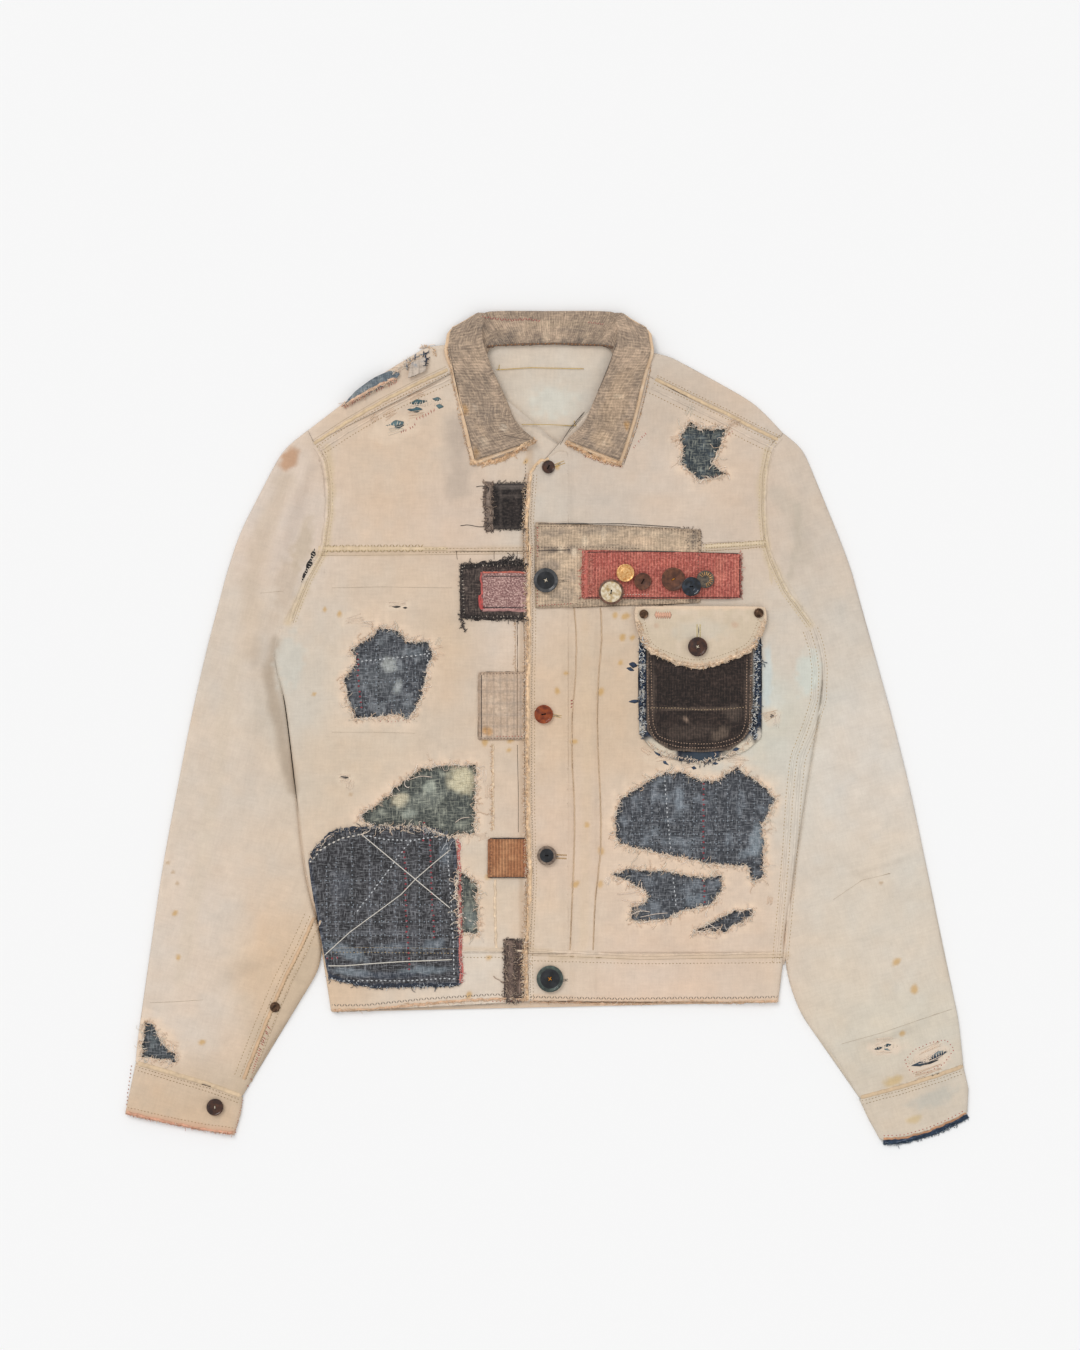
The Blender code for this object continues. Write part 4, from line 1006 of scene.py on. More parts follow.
def cut_back_yoke(lines, first, denim):
    """The back yoke: its flat part, whose inside shows in the neck, and its turned shoulders."""
    points, faces, uvs = [], [], []

    def join(flat, triangles, z, up):
        x, y = flat.T
        faces.append(facing(flat, triangles, up) + sum(len(p) for p in points))
        points.append(np.stack((x, y, z), 1))
        uvs.append(flat)

    outline = []
    for side in ("right", "left"):
        folds = [(s.fold_x, s.fold_y) for s in SHOULDER[side]]
        shoulder = curve_through(folds, 4)
        inner = [(x + (0.6 if side == "right" else -0.6), y - 0.9) for x, y in shoulder[1:]]
        line = lines[side][: first + 1][::-1] + inner
        outline += line if side == "right" else line[::-1]
        if side == "right":
            outline += list(NECK_BACK)
    flat, triangles = net(evenly(outline, 2.2, True), (), 2.6)
    below = lift(*flat.T) + 0.12 * np.abs(wobble(*flat.T, 14, 77))
    join(flat, triangles, below, False)
    cut = outline
    for side in ("right", "left"):
        shoulder = curve_through([(s.fold_x, s.fold_y) for s in SHOULDER[side]], 6)
        seams = curve_through([(s.seam_x, s.seam_y) for s in SHOULDER[side]], 6)
        flat, triangles = net(
            evenly(shoulder + seams[::-1], 1.6, True), (), STEP,
            fold_rows([(*p, 1.0) for p in shoulder], shoulder + seams[::-1]),
        )
        x, y = flat.T
        away, _ = line_distance(x, y, shoulder)
        join(flat, triangles, (FRONT_TOP + lie(x, y)) * height_left(away) + lift(x, y), True)
    points, faces, uvs = (np.concatenate(part) for part in (points, faces, uvs))
    piece = make_object(
        "yoke_over_shoulders", points, faces, denim, uvs, ecru_dye_and_shade(*points.T), 0.9
    )
    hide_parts("back_yoke")
    # The flat part's outline as an array, which nothing uses.
    line = np.asarray(cut, float)


# ---------------------------------------------------------------- collar

COLLAR_SPOTS = (
    Spot(-73, 572, 3.2, 2.4, 0, "#d5c3ae", 0.9), Spot(-45, 553, 2.6, 4, 0, "#d5c3ae", 0.9),
    Spot(-63, 539, 4, 3.4, 0, "#d0bba3", 0.9), Spot(66, 582, 7, 1.8, -8, "#d8c5ac", 0.9),
    Spot(50, 538, 4, 2.2, 10, "#d0c0ac", 0.8), Spot(-82, 570, 4, 5, 0, "#b98a4c", 0.7),
    Spot(72, 555, 3, 5, 0, "#b98a4c", 0.7), Spot(-72, 528, 4, 6, 0, "#b98a4c", 0.6),
    Spot(-66, 648, 5, 3, 0, "#6f645c", 0.5), Spot(-50, 634, 13, 5, 10, "#74685f", 0.7),
    Spot(-20, 632, 15, 5, 0, "#786c62", 0.7), Spot(12, 632, 14, 5, 0, "#786c62", 0.65),
    Spot(45, 630, 18, 5, -4, "#74685f", 0.7), Spot(-35, 645, 10, 4, 20, "#8a7b6d", 0.6),
    Spot(20, 646, 16, 4, 0, "#86776a", 0.6), Spot(-5, 640, 2, 7, 0, "#c9b299", 0.6),
    Spot(-60, 600, 16, 8, 70, "#8b7a6b", 0.6), Spot(-80, 600, 12, 6, 80, "#988573", 0.5),
    Spot(-60, 565, 14, 7, 30, "#85766a", 0.5), Spot(-66, 550, 12, 3, -50, "#b89f86", 0.6),
    Spot(66, 600, 14, 6, -60, "#8b7a6b", 0.5), Spot(56, 560, 13, 7, 20, "#857668", 0.55),
    Spot(70, 570, 8, 5, 0, "#7f7064", 0.5), Spot(38, 542, 9, 5, -20, "#80736a", 0.6),
    Spot(-70, 620, 6, 14, -20, "#a8927c", 0.6), Spot(86, 606, 6, 16, 20, "#a9937d", 0.5),
    Spot(-30, 640, 3, 6, 20, "#c2aa90", 0.5), Spot(34, 640, 3, 6, 10, "#c2aa90", 0.5),
    Spot(60, 575, 40, 14, 70, "#bfa386", 0.5), Spot(48, 541, 16, 8, -20, "#c6a98a", 0.55),
    Spot(-38, 638, 5, 8, 0, "#695e57", 0.5), Spot(-10, 636, 4, 7, 0, "#6d625a", 0.5),
    Spot(28, 636, 5, 8, 0, "#6d625a", 0.5), Spot(4, 650, 40, 3, 0, "#bfa88e", 0.45),
)


def collar_stations(steps):
    """The whole collar's stations, one leaf end to the other."""
    mirrored = []
    for row in COLLAR[-2::-1]:
        places = {name: getattr(row, name) for name in ("neck_x", "roll_x", "edge_x")}
        scaled = {name: -place * COLLAR_LEFT_SCALE for name, place in places.items()}
        mirrored.append(row._replace(**scaled))
    return [Station(*row) for row in curve_through([*COLLAR, *mirrored], steps)]


def collar_section(row, along, trim, fall_steps=14):
    """Points round the collar at one station, from the neck seam over the roll to the edge."""
    roll = Vector((row.roll_x, row.roll_y))
    to_neck = Vector((row.neck_x, row.neck_y)) - roll
    to_edge = Vector((row.edge_x, row.edge_y)) - roll
    to_edge *= 1 - trim / to_edge.length
    out = Vector((-along.y, along.x)).normalized()
    neck_side, edge_side = (
        max(-1.0, min(1.0, way.dot(out) / (2 * row.radius))) for way in (to_neck, to_edge)
    )
    lean, spread_out = (edge_side + neck_side) / 2, (edge_side - neck_side) / 2
    middle, half = (row.stand_z + row.fall_z) / 2, (row.fall_z - row.stand_z) / 2
    turned = []
    for degrees in ROLL_ANGLES:
        angle = radians(degrees)
        reach = row.radius * (lean * (1 - cos(angle)) + spread_out * sin(angle))
        place = roll + out * reach
        turned.append((*place, middle + half * sin(angle) + row.rise * cos(angle)))
    neck = (row.neck_x, row.neck_y, row.neck_z)
    edge = (*(roll + to_edge), row.edge_z)
    belly = (*mix(turned[-1][:2], edge[:2], 0.5), mix(row.fall_z, row.edge_z, 0.62))
    points = [mix(neck, turned[0], n / 6) for n in range(6)] + turned
    half_fall = fall_steps // 2
    points += [mix(turned[-1], belly, n / half_fall) for n in range(1, half_fall + 1)]
    points += [mix(belly, edge, n / half_fall) for n in range(1, half_fall + 1)]
    return [(x, y, max(0.0, z)) for x, y, z in points]


def collar_grid(name, stations, trim, material, dye, node, skip=0, inwards=0.0, bumps=0.25):
    """One layer of the collar from its sections, with worn edges and soft dents."""
    rolls = [Vector((row.roll_x, row.roll_y)) for row in stations]
    ways = [after - before for before, after in zip([rolls[0], *rolls], [*rolls[1:], rolls[-1]])]
    rows = [collar_section(row, way, trim)[skip:] for row, way in zip(stations, ways)]
    points = np.array(rows)
    count, across = points.shape[:2]
    du, dv = np.gradient(points, axis=0), np.gradient(points, axis=1)
    normal = np.cross(du, dv)
    normal /= np.maximum(np.linalg.norm(normal, axis=2), 1e-9)[:, :, None]
    if normal[:, -2, 2].mean() < 0:
        normal = -normal
    along = np.concatenate(([0], np.cumsum(np.linalg.norm(np.diff(points[:, -8], axis=0), axis=1))))
    over = np.concatenate(
        (np.zeros((count, 1)), np.cumsum(np.linalg.norm(np.diff(points, axis=1), axis=2), axis=1)), 1
    )
    u, v = np.repeat(along[:, None], across, 1), over
    dents = bumps * wobble(u, v, 13, 71) + 0.4 * bumps * wobble(u, v, 4, 72)
    fade = np.minimum(1, np.arange(across) / 4)[None, :]
    points = points + normal * ((dents * fade) - inwards)[:, :, None]
    points[:, :, 2] = np.maximum(points[:, :, 2], 0.05)
    faces = []
    for row in range(count - 1):
        for column in range(across - 1):
            a = row * across + column
            faces.append((a, a + across, a + across + 1, a + 1))
    flat = points.reshape(-1, 3)
    a, b, c = flat[faces[across][0]], flat[faces[across][1]], flat[faces[across][2]]
    if np.dot(np.cross(b - a, c - a), normal.reshape(-1, 3)[faces[across][0]]) < 0:
        faces = [face[::-1] for face in faces]
    uv = np.stack((u.ravel(), v.ravel()), 1)
    piece = make_object(name, flat, faces, material, uv, dye(*flat.T), WALL)
    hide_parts(node)
    return piece


def cut_collar(ribbed, denim):
    """Top collar, and the under collar that shows round its edge."""
    stations = collar_stations(CURVE_STEPS)
    # The left leaf's point lies further in than the right one's.
    for back in range(2 * CURVE_STEPS):
        row = stations[-1 - back]
        pull = 6.0 * (1 - back / (2 * CURVE_STEPS)) ** 2
        stations[-1 - back] = row._replace(edge_x=row.edge_x - pull)
    step = UNDER_COLLAR_SHOWS / hypot(
        stations[1].edge_x - stations[0].edge_x, stations[1].edge_y - stations[0].edge_y
    )
    trimmed = list(stations)
    first = int(step)
    trimmed = trimmed[first : len(trimmed) - first]
    trimmed[0] = Station(*mix(trimmed[0], trimmed[1], step - first))
    trimmed[-1] = Station(*mix(trimmed[-1], trimmed[-2], step - first))
    collar_grid(
        "collar_ribbed", trimmed, UNDER_COLLAR_SHOWS, ribbed,
        plain_dye("#948170", "#b59d87", 13, 81, COLLAR_SPOTS), "collar_top",
    )
    collar_grid(
        "collar_below", stations, 0.0, denim, plain_dye("#dfbf9d", "#e9cfb2", 5, 83), "collar_under", 6,
        COLLAR_LAYER, 0.35,
    )


# ---------------------------------------------------------------- patches

# Every flat piece sewn on or laid behind a hole: its name, node and cloth, its dye and a paler
# one, the size of the faded clouds, the worn rim's colour and width, what it lies on, how ragged
# its edge is, and its spots.
Patch = namedtuple(
    "Patch", "name node cloth dye paler cloud rim width rests_on ragged spots", defaults=((),)
)
BEHIND, FRONT_RIGHT = "back_body", "front_panel_right"
PATCHES = (
    Patch("indigo_behind_chest", "backing_chest_right", "indigo denim", "#373a40", "#666a6e", 9, None,
        0, BEHIND, 0.2, (
        Spot(-154, 327, 8, 9, 0, "#b1b3ae", 0.85), Spot(-146, 307, 10, 5, 70, "#9ea2a0", 0.75),
        Spot(-128, 340, 9, 6, 20, "#6a7177", 0.6), Spot(-160, 318, 26, 20, 20, "#74797b", 0.3),
    )),
    Patch("green_behind_side", "backing_side_right", "green denim", "#434846", "#84877c", 8, None, 0,
        BEHIND, 0.2, (
        Spot(-84, 218, 15, 15, 0, "#cfc4a4", 0.95), Spot(-143, 200, 10, 8, 30, "#cabfa4", 0.95),
        Spot(-115, 211, 8, 8, 60, "#a3a89b", 0.8), Spot(-135, 187, 9, 5, 10, "#9aa096", 0.7),
        Spot(-120, 200, 26, 10, 20, "#7c8078", 0.5),
        Spot(-76, 86, 8, 14, 0, "#7e8785", 0.6),
    )),
    Patch("green_behind_yoke", "backing_yoke_left", "green denim", "#313a41", "#59646b", 8, None, 0,
        BEHIND, 0.2),
    Patch("indigo_behind_front", "backing_front_left", "indigo denim", "#393c42", "#686e75", 10, None,
        0, BEHIND, 0.2, (
        Spot(122, 200, 5, 14, 0, "#87919a", 0.6), Spot(196, 160, 8, 18, 0, "#8d99a1", 0.6),
        Spot(188, 150, 12, 5, 20, "#87929b", 0.5), Spot(140, 104, 14, 7, 10, "#77828b", 0.5),
    )),
    Patch("indigo_behind_sleeve", "backing_sleeve_right", "indigo denim", "#3f4549", "#6d7678", 7, None,
        0, BEHIND, 0.2),
    Patch("cuff_lining", "cuff_left_lining", "indigo denim", "#2f3d52", "#50607a", 7, None, 0,
        "cuff_below_left", 0.2),
    Patch("plaid_patch", "patch_plaid", "dark plaid", "#150f0e", "#201816", 7, "#4d443f", 3,
        FRONT_RIGHT, 0.4, (
        Spot(-36, 497, 18, 3.0, 0, "#665d58", 0.7), Spot(-48, 478, 20, 1.8, 90, "#544a45", 0.6),
        Spot(-33, 478, 20, 1.4, 90, "#463c38", 0.6),
        Spot(-38, 488, 16, 1.2, 0, "#5d534d", 0.6), Spot(-36, 470, 14, 10, 0, "#1f1817", 0.7),
    )),
    Patch("black_patch", "patch_black", "black plaid", "#372d2a", "#544842", 8, "#201a19", 4,
        FRONT_RIGHT, 1.0),
    Patch("mauve_patch", "patch_mauve", "mauve cloth", "#8a6460", "#a5827a", 9, "#7a4f50", 1.6,
        "black_patch", 0.3),
    Patch("check_patch", "patch_check", "faded check", "#c0a790", "#ccb49d", 7, "#a68c76", 2.5,
        FRONT_RIGHT, 0.3, (
        Spot(-60, 265, 6, 5, 0, "#c08d4f", 0.7), Spot(-33, 290, 9, 14, 0, "#b09c8a", 0.5),
    )),
    Patch("tan_patch", "patch_tan", "tan corduroy", "#9c6745", "#b07d58", 9, "#7c4f34", 2.2,
        FRONT_RIGHT, 0.3),
    Patch("dark_patch", "patch_dark", "brown corduroy", "#54433c", "#7b685d", 6, "#3b302c", 2,
        "waistband_front_right", 1.0),
    Patch("sashiko_patch", "patch_sashiko", "indigo denim", "#2a292c", "#3b3a3e", 8, "#2e3442", 3,
        FRONT_RIGHT, 1.0, (
        Spot(-196, 56, 26, 7, -20, "#7c8790", 0.6), Spot(-150, 60, 22, 5, 5, "#727b84", 0.55),
        Spot(-112, 62, 16, 6, 10, "#7f8992", 0.5), Spot(-120, 38, 28, 4.5, 0, "#7d8890", 0.6),
        Spot(-188, 36, 24, 4.5, -8, "#858f97", 0.6), Spot(-200, 120, 12, 16, 0, "#54575e", 0.6),
        Spot(-204, 100, 3, 50, 0, "#55555a", 0.5), Spot(-172, 100, 3, 56, 0, "#55555a", 0.5),
        Spot(-148, 96, 3, 56, 0, "#55555a", 0.45), Spot(-130, 100, 3, 56, 0, "#55555a", 0.5),
        Spot(-160, 96, 60, 3, 0, "#55555a", 0.45), Spot(-160, 74, 60, 3, 0, "#62646a", 0.5),
        Spot(-100, 148, 7, 12, 0, "#7d8791", 0.5), Spot(-155, 33, 40, 4, 0, "#39414f", 0.6),
    )),
    Patch("ribbed_patch", "patch_ribbed", "ribbed cloth", "#b7a189", "#cdb498", 11, "#a08b76", 3,
        "front_placket", 0.4, (
        Spot(-2, 437, 15, 4, 0, "#655a54", 0.75), Spot(18, 436, 8, 4, 10, "#6f645d", 0.6),
        Spot(46, 455, 24, 5, 2, "#877a6e", 0.6), Spot(4, 453, 16, 4, 4, "#7f7267", 0.6),
        Spot(32, 446, 3.5, 7, 0, "#dcc7ac", 0.75), Spot(9, 437, 3, 4, 0, "#dcc7ac", 0.7),
        Spot(22, 434, 3, 5, 0, "#e2cfb6", 0.75), Spot(50, 452, 3, 8, 0, "#d9c4ab", 0.5),
        Spot(0, 420, 13, 9, 20, "#93857a", 0.5), Spot(12, 394, 16, 8, 0, "#8b7d70", 0.55),
        Spot(20, 412, 6, 7, 0, "#8b7f76", 0.45), Spot(100, 452, 26, 4, -4, "#a99986", 0.3),
        Spot(136, 446, 5, 10, 0, "#6f655d", 0.6), Spot(135, 389, 8, 3, 0, "#6f655d", 0.6),
        Spot(84, 445, 20, 6, 0, "#cdb195", 0.6), Spot(60, 440, 40, 3, 0, "#8e8071", 0.4),
        Spot(-8, 426, 4, 12, 0, "#a08e7e", 0.5), Spot(80, 389, 40, 3, 0, "#978877", 0.5),
    )),
    Patch("coral_patch", "patch_coral", "coral corduroy", "#a8554a", "#b56657", 16, "#9c4b41", 1.8,
        "ribbed_patch", 0.4, (
        Spot(35, 414, 5.5, 22, 0, "#c78171", 0.85), Spot(176, 412, 3.5, 20, 0, "#c4705f", 0.6),
        Spot(163, 412, 9, 5, 30, "#c97766", 0.5), Spot(110, 424, 30, 5, 0, "#b85f50", 0.5),
    )),
    Patch("pocket_lining", "pocket_underlay", "ecru denim", "#131b29", "#35425a", 3.5, None, 0,
        "front_panel_left", 1.6, (
        Spot(142, 241, 20, 7, 0, "#3a4550", 0.8), Spot(104, 247, 22, 11, -28, "#d3c6b2", 1.0),
        Spot(181, 248, 22, 11, 28, "#d3c6b2", 1.0), Spot(86, 300, 3, 5, 0, "#cfc6b8", 0.9),
        Spot(86, 326, 4, 4, 0, "#cfc6b8", 0.9),
        Spot(87, 284, 4, 3, 0, "#cfc6b8", 0.9), Spot(191, 320, 1.6, 30, 0, "#cfc6b8", 0.8),
        Spot(195, 288, 3, 4, 0, "#cfc6b8", 0.7),
        Spot(86, 268, 4, 9, 0, "#cfc6b8", 0.9), Spot(197, 262, 4, 8, 0, "#cfc6b8", 0.9),
    )),
    Patch("pocket_bag", "pocket", "brown corduroy", "#1f1511", "#2b1f1a", 13, "#6d5d50", 2.4,
        "pocket_lining", 0.3, (
        Spot(130, 264, 30, 9, 0, "#4d4038", 0.55), Spot(173, 282, 10, 9, 20, "#5f5147", 0.5),
        Spot(128, 276, 4, 2.6, -40, "#8a7464", 0.8), Spot(160, 262, 12, 6, 30, "#6d5d50", 0.6),
        Spot(142, 286, 50, 1.6, 0, "#6b5a4d", 0.6), Spot(97, 300, 3, 34, 0, "#5c4d43", 0.5),
        Spot(186, 300, 3, 34, 0, "#5c4d43", 0.5), Spot(120, 322, 24, 4, -20, "#2b211e", 0.6),
    )),
    Patch("flap", "pocket_flap", "ecru denim", "#cfbda5", "#d7c4ae", 18, "#e3c8ac", 3.5, "pocket_bag", 1.1, (
        Spot(140, 360, 30, 12, 0, "#ccc2b1", 0.6), Spot(100, 365, 3, 3, 0, "#c9a88e", 0.6),
        Spot(174, 366, 4, 3, 0, "#c9a88e", 0.6),
    )),
    Patch("shoulder_indigo", "patch_shoulder_indigo", "indigo denim", "#5d6870", "#83898a", 6, None, 0,
        "yoke_over_shoulders", 0.6),
    Patch("shoulder_stripe", "patch_shoulder_stripe", "faded check", "#c6b7a8", "#8f949a", 4, None, 0,
        "yoke_over_shoulders", 0.6),
)


def patch_height(patch, layer):
    """How a patch lies: flat on its layer, behind a hole, or over the placket's edge."""
    if layer == BACKING:
        return lambda x, y: BACKING * LAYER + CLOTH - 0.1 + 0 * x
    if patch.name == "ribbed_patch":
        return lambda x, y: (
            (ON_FRONT + (ON_PLACKET - ON_FRONT) * ramp(-x, -LAP_END - 8, -LAP_END + 4)) * LAYER
            + CLOTH + lie(x, y)
        )
    if patch.name.startswith("shoulder"):
        return lambda x, y: layer * LAYER + CLOTH + 1.2 + lie(x, y)
    return on_layer(layer)


def lay_patches(cloths):
    """The placket and all flat pieces sewn on the jacket or laid behind its holes."""
    layer, outline = PLATES["placket"]

    def placket_height(x, y):
        """Flat over the buttons' line, and down on to the front beside it."""
        down = ramp(x, 9, 15.6)
        return (layer * LAYER + CLOTH + lie(x, y)) * (1 - down) + (left_front(x, y) + 0.25) * down

    cut_cloth(
        "front_placket", evenly(outline, 3, True), placket_height, cloths["ecru denim"], ecru_dye_and_shade,
        ("placket",), step=1.9,
    )
    for seed, patch in enumerate(PATCHES):
        if patch.name == "ribbed_patch":
            layer, outline = ON_FRONT, RIBBED_PATCH
        else:
            layer, outline = PLATES[patch.node]
        outline = evenly(outline, 3, True)
        rim = (outline, patch.width, patch.rim, 0.85) if patch.rim else None
        cut_cloth(
            patch.name, outline, patch_height(patch, layer), cloths[patch.cloth],
            plain_dye(patch.dye, patch.paler, patch.cloud, 3 * seed, patch.spots, rim),
            (patch.node,), step=1.9, ragged=patch.ragged,
        )


def make_cloths():
    """Every woven material of the jacket."""
    return {
        # Washed ecru denim: pale, matt and soft, with a faint uneven weave.
        "ecru denim": cloth_material("washed ecru denim", 0.04, 0.03),
        # Indigo denim: dark warp over pale weft, so worn places turn speckled and blue-grey.
        "indigo denim": cloth_material(
            "faded indigo denim", 0.16, 0.3, 1.35, 5.5, ("#97989b", 0.45)
        ),
        "green denim": cloth_material(
            "bleached green denim", 0.14, 0.28, 1.35, 6.0, ("#a9a897", 0.45)
        ),
        # Ribbed cotton: fine raised cords, paler on top where the brown has worn off and by painted light,
        # with painted shade between them.
        "ribbed cloth": cloth_material(
            "ribbed cotton", 0.1, 0.2, 1.9, 4.0, ("#cfb497", 0.4), (2.8, "X", 0.1)
        ),
        "black plaid": cloth_material(
            "black plaid cotton", 0.14, 0.3, 1.5, 4.0, ("#85756a", 0.34), (2.9, "X", 0.12)
        ),
        # Plaid: even threads with few bare ones, so its dark checks stay clear.
        "dark plaid": cloth_material(
            "dark plaid cotton", 0.08, 0.16, 1.8, 1.8, ("#6d6058", 0.25), (2.9, "Y", 0.1)
        ),
        # Mauve cotton: a fine speckle of pale and red-brown threads.
        "mauve cloth": cloth_material(
            "mauve speckled cotton", 0.06, 0.3, 1.5, 1.3, ("#d2b3aa", 0.7)
        ),
        "faded check": cloth_material(
            "faded check cotton", 0.05, 0.14, 2.0, 3.0,
            checks=((6.4, "X", 0.32, "#8f8074"), (11.0, "Y", 0.26, "#9a8c80")),
        ),
        # Corduroy: cut pile in straight wales, with painted light on the ridges and painted shade between
        # them.
        "tan corduroy": cloth_material(
            "tan corduroy", 0.07, 0.14, 1.9, 3.0, ("#c9986f", 0.2), (2.9, "X", 0.24), depth=0.4
        ),
        "coral corduroy": cloth_material(
            "coral corduroy", 0.08, 0.24, 1.7, 2.0, ("#d99484", 0.42), (2.8, "X", 0.2), depth=0.4
        ),
        "brown corduroy": cloth_material(
            "dark brown corduroy", 0.12, 0.2, 1.8, 3.0, ("#6f5b51", 0.22), (2.6, "X", 0.24), depth=0.4
        ),
    }


def thread_material():
    """Spun cotton thread: dull and slightly fluffy, in each stitch's own dye."""
    material, tree, shader = start_material("cotton thread", 0.85, sheen=0.1)
    dye = add(tree, "ShaderNodeAttribute", {"attribute_name": "dye"})
    where = add(tree, "ShaderNodeTexCoord", out="Object")
    # The twist is drawn 0.9 mm long.
    twist = add(tree, "ShaderNodeTexNoise", Vector=where, Scale=1000 / 0.9)
    shade = add(tree, SCALED, i0=twist, i1=0.3, i2=0.7, i3=0.85, i4=1.1)
    colour = add(tree, MIXED, TINT, 2, i0=1.0, i6=dye, i7=shade)
    tree.links.new(colour, shader.inputs["Base Color"])
    return material


# ---------------------------------------------------------------- threads, seams and frays

ECRU, PEACH, CREAM, BROWN = "#cdb591", "#ecd3bb", "#e6dccb", "#7a6250"
GREY, DARK, RED, TEAL = "#7d7468", "#3d3835", "#a8443f", "#5a7276"


class Ground:
    """The cloth as it lies so far, on which threads and seams are laid."""

    def __init__(self):
        points, faces = [], []
        for piece in PIECES.values():
            start = len(points)
            points += [tuple(vert.co) for vert in piece.data.vertices]
            faces += [[start + v for v in face.vertices] for face in piece.data.polygons]
        self.tree = BVHTree.FromPolygons(points, faces)

    def top(self, x, y):
        """Height in millimetres of the uppermost cloth at a place."""
        place = ((x + ORIGIN[0]) * MM, (y + ORIGIN[1]) * MM, 0.05)
        hit = self.tree.ray_cast(Vector(place), Vector((0, 0, -1)))[0]
        return hit.z / MM if hit else 0.0


class Threads:
    """A collection of stitches and threads that becomes one piece."""

    def __init__(self, ground, seed):
        self.ground = ground
        self.random = np.random.default_rng(seed)
        self.points, self.faces, self.dyes = [], [], []

    def stitch(self, start, end, width, colour, rise=0.35):
        """One stitch, thick in its middle and sunk at its ends."""
        (x0, y0), (x1, y1) = start, end
        length = max(hypot(x1 - x0, y1 - y0), 1e-6)
        across = (-(y1 - y0) / length * width / 2, (x1 - x0) / length * width / 2)
        mx, my = (x0 + x1) / 2, (y0 + y1) / 2
        z = self.ground.top(mx, my)
        z0 = min(self.ground.top(x0, y0), z + 0.3)
        z1 = min(self.ground.top(x1, y1), z + 0.3)
        first = len(self.points)
        self.points += [
            (x0, y0, z0 - 0.05), (x1, y1, z1 - 0.05), (mx, my, z + rise),
            (mx + across[0], my + across[1], z + 0.02), (mx - across[0], my - across[1], z + 0.02),
        ]
        a, b, top, left, right = range(first, first + 5)
        self.faces += [(a, top, left), (top, b, left), (a, right, top), (top, right, b)]
        self.faces += [(a, left, b), (a, b, right)]
        self.dyes += [self.shade(colour)] * 5

    def shade(self, colour):
        """The colour, a little lighter or darker."""
        return np.array(linear(colour)) * self.random.uniform(0.85, 1.12)

    def run(self, line, long=2.6, gap=1.0, width=0.75, colour=ECRU, stray=0.15, rise=0.3, below=99):
        """A row of running stitches along a line, only where the cloth lies below a height."""
        line = evenly(line, long + gap)
        share = long / (long + gap)
        for start, end in zip(line, line[1:]):
            start = start + self.random.normal(0, stray, 2)
            if self.ground.top(*(start + (end - start) / 2)) > below:
                continue
            self.stitch(start, start + (end - start) * share, width, colour, rise)

    def zigzag(self, line, width=2.4, pitch=1.5, thread=0.5, colour=GREY):
        """A machine zigzag along a line."""
        line = evenly(line, pitch)
        way = heading(line)
        side = np.stack((-way[:, 1], way[:, 0]), 1) * width / 2
        turns = line + side * np.where(np.arange(len(line)) % 2, 1, -1)[:, None]
        for start, end in zip(turns, turns[1:]):
            self.stitch(start, end, thread, colour, 0.22)

    def whip(self, line, reach=3.0, spacing=2.2, colour=RED, width=0.6, lean=0.3, rise=0.35):
        """Hand stitches across an edge, uneven in length and place."""
        line = evenly(line, spacing)
        way = heading(line)
        for place, (wx, wy) in zip(line, way):
            if self.random.random() < 0.1:
                continue
            long = reach * self.random.uniform(0.6, 1.25)
            tilt = lean + self.random.normal(0, 0.22)
            step = np.array((-wy + wx * tilt, wx + wy * tilt)) * long
            start = place - step * 0.4 + self.random.normal(0, 0.25, 2)
            self.stitch(start, start + step, width, colour, rise)

    def thread(self, line, radius=0.26, colour=PEACH, rise=0.3, ends=0.0):
        """A loose thread along a line, standing `rise` over the cloth and more at its end."""
        line = pairs(line)
        first, sides = len(self.points), 3
        way = heading(line)
        dye = self.shade(colour)
        top = 0.0
        for number, ((x, y), (wx, wy)) in enumerate(zip(line[:, :2], way)):
            top = max(self.ground.top(x, y), top - 0.5) if number else self.ground.top(x, y)
            z = top + rise + ends * number / (len(line) - 1)
            for turn in (0, 2.1, 4.2):
                across, up = radius * cos(turn), radius * sin(turn)
                self.points.append((x - wy * across, y + wx * across, z + up))
            self.dyes += [dye] * sides
        for ring in range(len(line) - 1):
            a = first + ring * sides
            for n in range(sides):
                b = (n + 1) % sides
                self.faces.append((a + n, a + b, a + sides + b, a + sides + n))
        last = len(self.points)
        self.faces += [(first, first + 2, first + 1), (last - 3, last - 2, last - 1)]

    def loose(self, x, y, angle, length, radius=0.26, colour=PEACH, curl=0.8, rise=0.3):
        """A loose thread from a place in a direction, curling as it goes."""
        steps = max(3, int(length / 1.3))
        line, turn = [(x, y)], self.random.normal(0, curl)
        for _ in range(steps):
            angle += turn / steps + self.random.normal(0, curl * 0.25)
            x, y = x + cos(angle) * length / steps, y + sin(angle) * length / steps
            line.append((x, y))
        self.thread(line, radius, colour, rise, 0.4)

    def fray(self, line, length=3.0, spacing=0.8, colours=(PEACH,), side=1, closed=False,
             radius=0.26, spill=0.35, curl=0.9):
        """Short loose threads along a worn edge, to one side of the line."""
        line = evenly(line, spacing, closed)
        way = np.roll(line, -1, 0) - np.roll(line, 1, 0) if closed else np.gradient(line, axis=0)
        for (x, y), (wx, wy) in zip(line, way):
            if self.random.random() < 0.15:
                continue
            angle = np.arctan2(wy, wx) + side * pi / 2 + self.random.normal(0, 0.75)
            long = length * self.random.lognormal(-0.1, 0.45)
            back = self.random.uniform(0, spill) * long
            start = (x - cos(angle) * back, y - sin(angle) * back)
            colour = colours[self.random.integers(len(colours))]
            self.loose(*start, angle, long, radius * self.random.uniform(0.7, 1.3), colour, curl)

